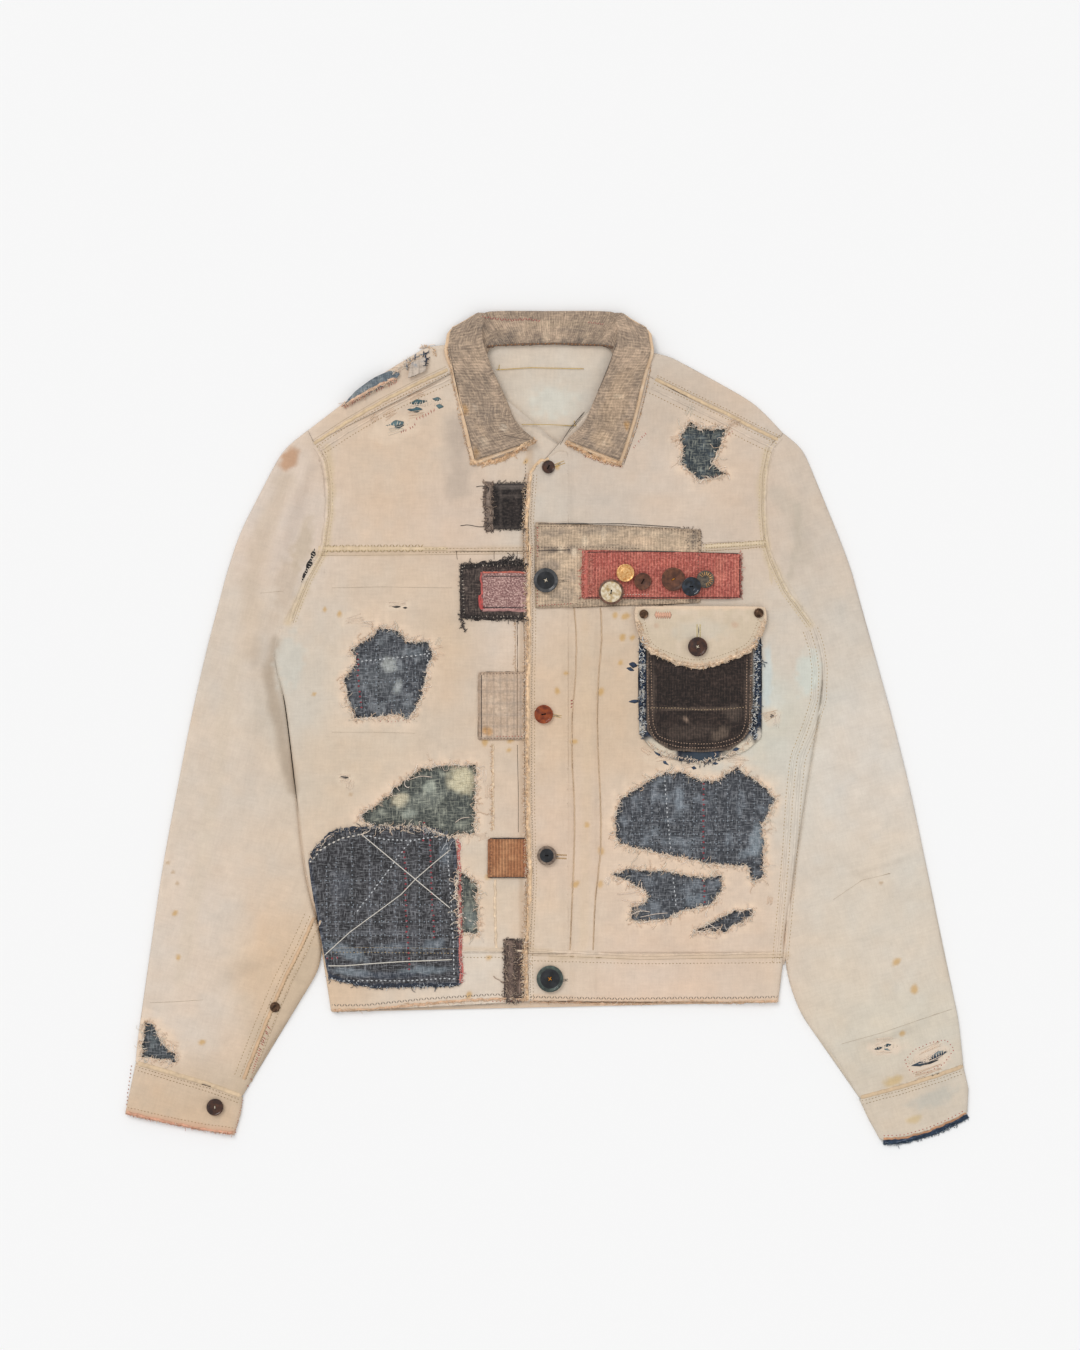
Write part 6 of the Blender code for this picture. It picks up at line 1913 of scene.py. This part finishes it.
# Slits and small tears, laid on the cloth as flat dark shapes: ends, width and colour.
SLITS = (
    (-153, 383, -141, 383, 2.6, DARK), (-142, 382, -135, 382, 2.2, DARK), (-201, 222, -190, 220, 3.4, DARK),
    # Painted shadow: the three near-black shapes along the right armhole seam, here and at the start of the
    # next line, stand for the deep shade of the slit and fold at the armpit.
    (-225, 441, -229, 426, 7.5, "#1f1b1a"), (-228, 433, -233, 416, 8.5, "#1f1b1a"),
    (-231, 423, -238, 405, 7.0, "#2a2423"), (-138, 577, -116, 579, 8.0, "#3f5a60"),
    (-138, 570, -118, 571, 6.5, "#46626a"), (-114, 581, -103, 580, 5.0, TEAL),
    (-111, 574, -101, 573, 5.0, TEAL),
    (-160, 555, -134, 558, 8.0, TEAL), (-152, 552, -138, 556, 5.0, "#39474c"),
    (304, -38, 318, -34, 3.0, "#33404a"),
    (312, -35, 327, -31, 3.4, "#3a505a"), (314, -36, 324, -38, 2.8, "#6a7f84"),
    (338, -53, 362, -47, 7.0, "#2f4150"),
    (350, -49, 380, -37, 8.0, "#36485a"), (356, -45, 378, -36, 4.0, "#8b9799"),
    (346, -54, 374, -45, 3.2, "#1f262e"),
    (203, 280, 215, 278, 5.0, "#45474a"), (73, 329, 84, 327, 7.0, "#26344a"),
    (70, 325, 80, 322, 5.0, "#33435a"),
    (71, 293, 88, 294, 4.6, "#33435a"), (94, 248, 106, 240, 4.6, "#34465e"),
    (104, 239, 113, 232, 4.0, "#34465e"),
    (132, 231, 139, 229, 4.0, "#2b3a52"), (170, 246, 182, 249, 4.4, "#34465e"),
    (152, 235, 160, 234, 3.6, "#34465e"),
)


def fray_holes(ground, material):
    """Loose threads round the worn holes and over the tears."""
    worn = Threads(ground, 12)
    for rims in RIMS.values():
        for rim in rims:
            turn = 1 if signed_area(rim) > 0 else -1
            worn.fray(rim, 1.8, 1.3, PALE, turn, True, 0.26, 0.6)
            worn.fray(rim, 5.0, 5.0, PALE, turn, True, 0.22, 0.5, 1.2)
            worn.fray(rim, 3.6, 0.8, PALE, -turn, True, 0.36, 0.1, 1.5)
            worn.fray(rim, 6.0, 2.6, PALE, -turn, True, 0.3, 0.0, 1.8)
    for x0, y0, x1, y1, width, tone in SLITS:
        worn.stitch((x0, y0), (x1, y1), width, tone, 0.12)
    for line in LEFT_ACROSS:
        worn.thread(curve_through(line, 3), 0.36, "#efdccb", 0.45, 0.2)
    for x, y, long, turn, rows in TEARS:
        worn.darn(x, y, long, turn, rows, PALE[abs(x) % 5])
    # Pale threads over the slits of the armpit, whose dark is painted shadow, and over those of the shoulder
    # and the left sleeve.
    for line, reach in (
        ((-225, 436, -229, 424, -237, 408), 5.5), ((-138, 574, -104, 577), 8), ((-160, 555, -136, 557), 6),
        ((306, -36, 328, -34), 5), ((340, -50, 366, -43), 6), ((354, -50, 378, -38), 6),
    ):
        worn.whip(line, reach, 2.6, "#eadbc8", 0.9, 0.2, rise=0.6)
    return worn.finish("frayed_threads", material)


# Frayed edges: the line, length and spacing of its threads, their colours, side and thickness.
GOLDEN = ("#e3c19c", "#d8ae84", PEACH)
BLACK = ("#2b2523", "#3d3432", "#5b4f49")
FRINGE = ("#6d5a50", "#857061", "#544640", "#a8917f")
NAVY, FROST = ("#25344a", "#1e2b3e", "#3a4d66"), ("#e4e2dc", "#c9d0d6", "#f0ece4")
ROSE = ("#c77768", "#d68f80", "#b8604f")
FRAYED = (
    (beside(PLACKET_EDGE, -2), 2.4, 0.8, TAN, 1, 0.3), (beside(PLACKET_EDGE, -4), 2.0, 1.1, TAN, -1, 0.26),
    ((-23, 66, -25, 38, -26, 9), 4.4, 0.8, TAN, -1, 0.3),
    (HEM_RIGHT, 2.0, 0.9, TAN, -1, 0.28), (HEM_LEFT, 2.0, 0.8, TAN, -1, 0.28),
    (beside(FLAP_EDGE, -1), 2.2, 0.6, TAN, -1, 0.3), (beside(FLAP_EDGE, 2), 2.0, 1.2, TAN, 1, 0.26),
    (beside(WRIST_RIGHT, -1.5), 2.0, 0.8, ("#d9a58a", "#c98a72", PEACH), -1, 0.28),
    (beside(WRIST_LEFT, -3), 2.2, 0.5, ("#34495f", "#22344a", "#6f7f8c"), -1, 0.32),
    ((-99, 630, -96, 612, -93, 593, -89, 576, -86, 560, -81, 539, -76, 520), 1.8, 0.8, GOLDEN, 1, 0.28),
    (beside(LEAF_RIGHT, -1.5), 2.4, 0.5, GOLDEN, -1, 0.32),
    (beside(LEAF_LEFT, -1.5), 2.4, 0.5, GOLDEN, -1, 0.32),
    ((95, 612, 92, 595, 88, 578, 81, 552, 73, 532, 69, 520), 1.6, 1.0, GOLDEN, -1, 0.26),
    ((-62, 502, -63, 478, -61, 454), 3.6, 0.5, FRINGE, -1, 0.36),
    ((-56, 502, -57, 478, -56, 454), 3.0, 0.6, FRINGE, 1, 0.34),
    ((-51, 501, -23, 501), 1.8, 1.0, BLACK, 1, 0.3), ((-51, 456, -23, 456), 2.0, 1.0, BLACK, -1, 0.3),
    ((-85, 423, -58, 424, -24, 424), 3.2, 0.6, BLACK, 1, 0.36),
    ((-48, 427, -37, 429, -28, 427), 4.6, 0.6, BLACK, 1, 0.4),
    ((-86, 422, -86, 399, -83, 373), 2.6, 0.7, BLACK, -1, 0.36),
    ((-82, 372, -53, 372, -24, 371), 3.0, 0.7, BLACK, -1, 0.36),
    ((-86, 378, -84, 367, -82, 361), 3.4, 0.5, BLACK, -1, 0.4),
    ((-43, 67, -42, 48, -43, 28, -41, 8), 4.4, 0.34, FRINGE, -1, 0.4),
    ((-35, 66, -34, 48, -35, 28, -34, 8), 3.6, 0.5, FRINGE, 1, 0.36),
    ((-43, 67, -26, 67), 2.4, 0.7, BLACK, 1, 0.3), ((-40, 8, -28, 8), 3.2, 0.5, FRINGE, -1, 0.36),
    (SASHIKO_TOP, 3.4, 0.6, ("#4a4c55", "#6d7079", "#35373f"), 1, 0.34),
    (SASHIKO_TOP, 5.0, 2.0, ("#d8c9b8", "#e6d6c4", PEACH), 1, 0.34),
    ((-120, 172, -105, 167, -94, 160), 5.0, 0.9, ("#c3c4c6", "#8f949c"), -1, 0.34),
    (beside(SASHIKO_FOOT, -1.5), 2.8, 0.6, ("#4a5566", "#c9cdd0", "#35373f"), -1, 0.34),
    ((-56, 253, -56, 171), 2.2, 0.8, TAN, -1, 0.3), ((-34, 369, -34, 323), 1.8, 1.0, TAN, -1, 0.28),
    (SASHIKO_SIDE, 2.0, 0.9, ("#d4776f", "#e0a49a", "#e9d6cc"), 1, 0.3),
    ((31, 436, 30, 413, 31, 391), 3.0, 0.5, ROSE, -1, 0.34),
    ((37, 434, 36, 413, 37, 393), 2.6, 0.7, ROSE, 1, 0.32),
    ((181, 434, 181, 413, 181, 392), 2.2, 0.7, ROSE, 1, 0.3),
    ((125, 459, 143, 455, 143, 442), 1.6, 1.0, FRINGE, 1, 0.26),
    ((86, 352, 86, 328, 86, 304, 86, 280, 87, 258), 3.2, 0.8, NAVY, -1, 0.38),
    ((197, 352, 198, 328, 196, 304, 197, 280, 193, 258), 3.2, 0.8, NAVY, 1, 0.38),
    ((86, 352, 86, 304, 87, 258), 3.4, 1.2, FROST, -1, 0.34),
    ((197, 352, 196, 304, 193, 258), 3.4, 1.2, FROST, 1, 0.34),
    ((88, 352, 88, 304, 89, 262), 2.6, 1.6, FROST, 1, 0.3),
    ((194, 352, 193, 304, 190, 262), 2.6, 1.6, FROST, -1, 0.3),
    ((92, 256, 99, 248, 115, 241, 142, 236, 164, 241, 181, 248, 190, 258), 3.6, 0.7, PALE, -1, 0.34),
    ((122, 238, 142, 235, 162, 238), 3.0, 0.9, NAVY, -1, 0.34),
    ((-198, 573, -184, 580, -163, 592, -147, 599), 3.0, 0.7, ("#d9a58a", PEACH, "#e0bfa0"), -1, 0.32),
    ((-137, 609, -135, 618, -127, 621, -121, 623), 3.0, 0.6, ("#4a5a78", "#8d99a5", "#c9b8a5"), 1, 0.34),
    ((-121, 624, -117, 618, -119, 612), 3.4, 0.5, NAVY, 1, 0.36),
    ((-150, 604, -140, 612, -132, 618), 3.6, 0.6, PALE, 1, 0.34),
    ((-124, 629, -117, 631, -111, 627, -109, 621), 3.0, 0.6, TAN, 1, 0.32),
)


def fray_edges(ground, material):
    """Frayed edges of the patches, the pocket, the placket, the hem and the cuffs."""
    worn = Threads(ground, 14)
    for line, long, spacing, tones, side, radius in FRAYED:
        worn.fray(line, long, spacing, tones, side, False, radius, 0.65, 1.35)
    return worn.finish("frayed_edges", material)


def signed_area(line):
    """Area inside a line, positive when it runs anticlockwise."""
    x, y = np.asarray(line)[:, :2].T
    return (np.dot(x, np.roll(y, -1)) - np.dot(y, np.roll(x, -1))) / 2


# ---------------------------------------------------------------- buttons


def start_modelling():
    """Nothing selected, so that the next operator acts on the new shape alone."""
    if bpy.context.object and bpy.context.object.mode == "EDIT":
        bpy.ops.object.mode_set(mode="OBJECT")
    bpy.ops.object.select_all(action="DESELECT")


def choose_faces(test):
    """Select the faces of the edited mesh that pass the test."""
    bpy.ops.mesh.select_mode(type="FACE")
    bpy.ops.mesh.select_all(action="DESELECT")
    edited = bmesh.from_edit_mesh(bpy.context.object.data)
    for face in edited.faces:
        if test(face):
            face.select_set(True)
    bmesh.update_edit_mesh(bpy.context.object.data)


def keep_place(piece):
    """Put a finished piece's place into its mesh."""
    bpy.ops.object.select_all(action="DESELECT")
    piece.select_set(True)
    bpy.context.view_layer.objects.active = piece
    bpy.ops.object.transform_apply(location=True, rotation=True, scale=True)


def turn_disc(name, radius, height, steps, sides=40, round_edge=0.35):
    """A disc turned on a lathe: a cylinder whose top is inset and moved step by step.

    Each step is how far in the next ring lies and how much higher it is, as shares of the
    radius and the height.
    """
    start_modelling()
    bpy.ops.mesh.primitive_cylinder_add(
        vertices=sides, radius=radius * MM, depth=height * MM, location=(0, 0, height * MM / 2)
    )
    piece = bpy.context.object
    piece.name = piece.data.name = name
    bpy.ops.object.transform_apply(location=True)
    bpy.ops.object.mode_set(mode="EDIT")
    choose_faces(lambda face: face.normal.z > 0.9)
    for inward, up in steps:
        bpy.ops.mesh.inset(thickness=inward * radius * MM, depth=0)
        if up:
            bpy.ops.transform.translate(value=(0, 0, up * height * MM))
    bpy.ops.object.mode_set(mode="OBJECT")
    soften = piece.modifiers.new("edges", "BEVEL")
    soften.width = round_edge * MM
    soften.segments = 3
    soften.limit_method = "ANGLE"
    soften.angle_limit = radians(28)
    bpy.ops.object.modifier_apply(modifier=soften.name)
    bpy.ops.object.shade_smooth_by_angle(angle=radians(50))
    return piece


def add_eye(x, y, radius, height, material):
    """A dark eye in a button's middle: a near-black disc of painted shadow where the hole is."""
    start_modelling()
    bpy.ops.mesh.primitive_cone_add(
        vertices=14, radius1=radius * MM, radius2=radius * 0.9 * MM, depth=0.5 * MM,
        location=(x * MM, y * MM, height * MM),
    )
    eye = bpy.context.object
    eye.data.materials.append(material)
    bpy.ops.object.transform_apply(location=True)
    return eye


def add_bar(x0, y0, x1, y1, height, radius, material):
    """A bar of sewing thread between two eyes."""
    start_modelling()
    length = hypot(x1 - x0, y1 - y0)
    bpy.ops.mesh.primitive_uv_sphere_add(
        segments=10, ring_count=6, radius=radius * MM,
        location=((x0 + x1) / 2 * MM, (y0 + y1) / 2 * MM, height * MM),
        scale=((length / 2 + radius) / radius, 1, 1),
        rotation=(0, 0, np.arctan2(y1 - y0, x1 - x0)),
    )
    bar = bpy.context.object
    bar.data.materials.append(material)
    bpy.ops.object.shade_smooth()
    bpy.ops.object.transform_apply(location=True, rotation=True, scale=True)
    return bar


def sew_on(piece, parts, node, ground, x, y, tilt=(0, 0), turn=0, high=0.15):
    """Join a button's parts, set it on the cloth and let it stand for its solid."""
    start_modelling()
    for part in parts:
        part.select_set(True)
    piece.select_set(True)
    bpy.context.view_layer.objects.active = piece
    if parts:
        bpy.ops.object.join()
    low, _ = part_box(node)
    piece.rotation_euler = (radians(tilt[0]), radians(tilt[1]), radians(turn))
    base = max(ground.top(x, y) * MM, low.z)
    piece.location = ((x + ORIGIN[0]) * MM, (y + ORIGIN[1]) * MM, base + high * MM)
    keep_place(piece)
    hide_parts(node)
    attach(piece, "root")
    return piece


def plastic(name, code, rough, second=None, size=6, coat=0.0, metallic=0.0, shine=0.5):
    """Cast or turned material whose colour is clouded with a second one."""
    material, tree, shader = start_material(name, rough, metallic)
    where = add(tree, "ShaderNodeTexCoord", out="Object")
    cloud = add(tree, "ShaderNodeTexNoise", Vector=where, Scale=1000 / size, Detail=4.0)
    share = add(tree, SCALED, i0=cloud, i1=0.38, i2=0.66, i3=0.0, i4=1.0)
    colour = add(tree, MIXED, BLEND, 2, i0=share, i6=code, i7=second or code)
    tree.links.new(colour, shader.inputs["Base Color"])
    handled = add(tree, SCALED, i0=cloud, i1=0.3, i2=0.7, i3=max(0.02, rough - 0.06), i4=rough + 0.1)
    tree.links.new(handled, shader.inputs["Roughness"])
    shader.inputs["Coat Weight"].default_value = coat
    if not metallic:
        shader.inputs["Specular IOR Level"].default_value = shine
    # Scratches too fine to see one by one, drawn 1.1 mm apart.
    scratches = add(tree, "ShaderNodeTexNoise", Vector=where, Scale=1000 / 1.1)
    raised = add(tree, "ShaderNodeBump", Height=scratches, Distance=0.05 * MM)
    tree.links.new(raised, shader.inputs["Normal"])
    return material


def make_buttons(ground):
    """Every button and rivet, each modelled for itself."""
    # Horn and casein: deep, clouded and polished, so they shine softly.
    horn = plastic("dark brown horn", "#2e1a14", 0.2, "#50301f", 5, 0.2, shine=0.35)
    amber = plastic("orange brown casein", "#6a2a12", 0.2, "#99481f", 5, 0.2, shine=0.25)
    jet = plastic("black casein", "#17181b", 0.16, "#292b2f", 6, 0.1, shine=0.35)
    rim_black = plastic("worn black casein rim", "#26272a", 0.18, "#4a4a4b", 5, 0.3)
    bottle = plastic("black green casein", "#1b2421", 0.16, "#4c5a52", 5, 0.4)
    wood = plastic("brown nut wood", "#4a2c20", 0.45, "#6e4530", 4, shine=0.35)
    shell = plastic("cream shell", "#e0d2b8", 0.22, "#a8884e", 3.5, 0.4)
    bark = plastic("brown shell edge", "#4c3020", 0.4, "#7a5642", 3)
    gold = plastic("engraved gold brass", "#f7c98c", 0.34, "#c98f52", 2, 0, 1.0)
    navy = plastic("navy glass", "#0b1017", 0.1, "#26303d", 4, 0.3, shine=0.35)
    copper = plastic("aged copper", "#6d5442", 0.4, "#342822", 2.5, 0, 1.0)
    smoke = plastic("smoked grey casein", "#3d3833", 0.35, "#6d6153", 3, shine=0.35)
    bronze = plastic("dull bronze rim", "#5d4a3d", 0.3, "#8a7766", 3, 0.2)
    pit = plastic("shadowed eye", "#0b0807", 0.6, shine=0.1)
    cotton = plastic("white sewing thread", "#d9cdb8", 0.8, "#c4b398", 1, shine=0.2)
    honey = plastic("orange sewing thread", "#c8862f", 0.8, "#b5742a", 1, shine=0.2)

    dish = ((0.14, 0.0), (0.1, -0.22), (0.3, -0.04), (0.12, -0.12))

    def coat_button(name, node, x, y, radius, height, body, eyes, spread_by, thread_by,
                    steps=dish, turn=0, tilt=(0, 0), inner=None):
        piece = turn_disc(name, radius, height, steps)
        piece.data.materials.append(body)
        floor = height * (1 + sum(up for _, up in steps))
        if inner:
            piece.data.materials.append(inner)
            for face in piece.data.polygons:
                middle = face.center
                if hypot(middle.x, middle.y) < radius * 0.72 * MM and face.normal.z > 0.3:
                    face.material_index = 1
        parts, places = [], []
        for n in range(eyes):
            angle = 2 * pi * n / eyes + (pi / 4 if eyes == 4 else 0)
            places.append((cos(angle) * spread_by, sin(angle) * spread_by))
            parts.append(add_eye(*places[-1], 0.75, floor, pit))
        for a, b in ((0, 2), (1, 3)) if eyes == 4 else ((0, 1),):
            if thread_by:
                parts.append(add_bar(*places[a], *places[b], floor + 0.35, 0.45, thread_by))
        return sew_on(piece, parts, node, ground, x, y, tilt, turn)

    coat_button("neck_button", "button_neck", -3, 515.5, 6.2, 2.8, horn, 2, 1.4, pit, turn=60, tilt=(14, 10))
    coat_button("chest_button", "button_chest", -5, 408, 11.6, 3.4, rim_black, 4, 1.8, cotton,
        inner=jet, turn=20)
    coat_button("middle_button", "button_middle", -7, 281, 8.9, 3.0, amber, 2, 1.5, pit, turn=10)
    coat_button("belly_button", "button_belly", -4, 147, 9.2, 3.2, bronze, 2, 0.9, pit,
                ((0.12, 0.0), (0.16, -0.16), (0.2, 0.04), (0.2, -0.22)), inner=jet)
    coat_button("hem_button", "button_hem", -1, 30, 12.7, 3.6, bottle, 4, 2.0, honey,
                ((0.16, 0.0), (0.08, -0.3), (0.34, 0.0), (0.1, -0.1)), inner=jet, turn=10)
    coat_button("pocket_button", "button_pocket", 139, 345, 9.2, 3.2, horn, 4, 1.5, cotton, turn=15)
    coat_button("cuff_button", "button_cuff_right", -319, -92, 8.0, 3.2, horn, 2, 1.2, cotton,
                ((0.12, 0.0), (0.12, -0.16), (0.2, 0.1), (0.2, -0.12)), turn=90)
    coat_button("shell_button_large", "button_shell", 57, 397, 12.0, 3.8, bark, 2, 1.5, pit,
                ((0.1, 0.0), (0.08, 0.08), (0.3, -0.03), (0.2, -0.06)), inner=shell, turn=80)
    coat_button("small_horn_button", "button_horn_small", 87, 407, 8.2, 2.8, wood, 2, 2.0, pit, turn=60)
    coat_button("large_horn_button", "button_horn_large", 116, 409, 11.2, 3.0, wood, 2, 1.4, honey, turn=35)
    coat_button("navy_button", "button_navy", 133, 402, 9.1, 3.2, navy, 2, 1.1, pit,
                ((0.12, 0.0), (0.14, -0.2), (0.24, 0.12), (0.2, -0.2)))
    gold_button(gold, ground)
    ray_button(gold, smoke, ground)
    for name, node, x, y, radius in (
        ("flap_rivet_right", "rivet_flap_right", 88, 376, 4.3),
        ("flap_rivet_left", "rivet_flap_left", 197, 377, 4.6),
        ("sleeve_rivet", "rivet_sleeve_right", -262, 3, 4.8),
    ):
        piece = turn_disc(name, radius, 1.5, ((0.2, 0.0), (0.1, -0.25), (0.2, 0.2), (0.2, 0.15)), 24, 0.25)
        piece.data.materials.append(copper)
        sew_on(piece, [], node, ground, x, y)


def gold_button(gold, ground):
    """A small domed button with a plain ring of dots round a raised middle."""
    piece = turn_disc("gold_button", 8.4, 3.2, ((0.1, 0.0), (0.08, -0.18), (0.3, 0.14), (0.25, 0.1)))
    piece.data.materials.append(gold)
    parts = []
    for ring, count, size in ((5.6, 14, 0.55), (3.0, 7, 0.6)):
        for n in range(count):
            start_modelling()
            angle = 2 * pi * n / count
            bpy.ops.mesh.primitive_uv_sphere_add(
                segments=8, ring_count=5, radius=size * MM,
                location=(cos(angle) * ring * MM, sin(angle) * ring * MM, 3.0 * MM),
            )
            dot = bpy.context.object
            dot.data.materials.append(gold)
            bpy.ops.object.shade_smooth()
            bpy.ops.object.transform_apply(location=True)
            parts.append(dot)
    sew_on(piece, parts, "button_gold", ground, 70.5, 415, high=0.4)


def ray_button(gold, smoke, ground):
    """A smoked button with a plain sunk middle and brass bars set round its rim."""
    piece = turn_disc("ray_button", 8.4, 2.8, ((0.1, 0.0), (0.5, -0.06), (0.08, -0.22)))
    piece.data.materials.append(smoke)
    parts = []
    for n in range(18):
        if n in (8, 9, 10, 11, 12, 13):
            continue
        angle = 2 * pi * n / 18
        parts.append(add_bar(
            cos(angle) * 3.6, sin(angle) * 3.6, cos(angle) * 7.2, sin(angle) * 7.2, 2.75, 0.35, gold
        ))
    sew_on(piece, parts, "button_brass", ground, 146.5, 409)


# ---------------------------------------------------------------- stage


def set_stage():
    """Pale floor, soft studio light and the camera straight above."""
    bpy.ops.mesh.primitive_plane_add(size=9, location=(0, 0, -0.0006))
    floor = bpy.context.object
    floor.name = "studio_floor"
    material, _, shader = start_material("matt white paper", 0.9)
    shader.inputs["Base Color"].default_value = (0.92, 0.92, 0.92, 1)
    shader.inputs["Specular IOR Level"].default_value = 0.1
    floor.data.materials.append(material)

    scene = bpy.context.scene
    scene.view_settings.view_transform = "Standard"
    scene.world = bpy.data.worlds.new("studio")
    scene.world.use_nodes = True
    sky = scene.world.node_tree.nodes["Background"]
    sky.inputs["Color"].default_value = (1, 1, 1, 1)
    sky.inputs["Strength"].default_value = 0.72
    for name, place, power, spread_by in (
        ("key light", (-1.5, 1.9, 2.6), 1.02, 30), ("fill light", (2.4, -1.2, 2.6), 0.26, 60),
    ):
        lamp = bpy.data.lights.new(name, "SUN")
        lamp.angle = radians(spread_by)
        lamp.energy = power
        light = bpy.data.objects.new(name, lamp)
        light.location = place
        light.rotation_euler = (Vector((0, 0, 0)) - Vector(place)).to_track_quat("-Z", "Y").to_euler()
        scene.collection.objects.link(light)

    lens = bpy.data.cameras.new("camera")
    lens.lens = 85
    lens.sensor_fit = "VERTICAL"
    lens.sensor_height = 36
    camera = bpy.data.objects.new("camera", lens)
    camera.location = (-0.00645, 0.0501, 3.032)
    scene.collection.objects.link(camera)
    scene.camera = camera


cloths = make_cloths()
cut_back(cloths["ecru denim"])
for side in ("right", "left"):
    cut_fronts(side, cloths["ecru denim"])
    cut_sleeve(side, cloths["ecru denim"])
    cut_cuff(side, cloths["ecru denim"])
cut_collar(cloths["ribbed cloth"], cloths["ecru denim"])
lay_patches(cloths)
seam_strips(Ground(), cloths["ecru denim"])
ground = Ground()
cotton = thread_material()
sew_seams(ground, cotton)
sew_pocket(ground, cotton)
sew_patches(ground, cotton)
sew_reds(ground, cotton)
sew_running(ground, cotton)
fray_holes(ground, cotton)
fray_edges(ground, cotton)
make_buttons(ground)
set_stage()
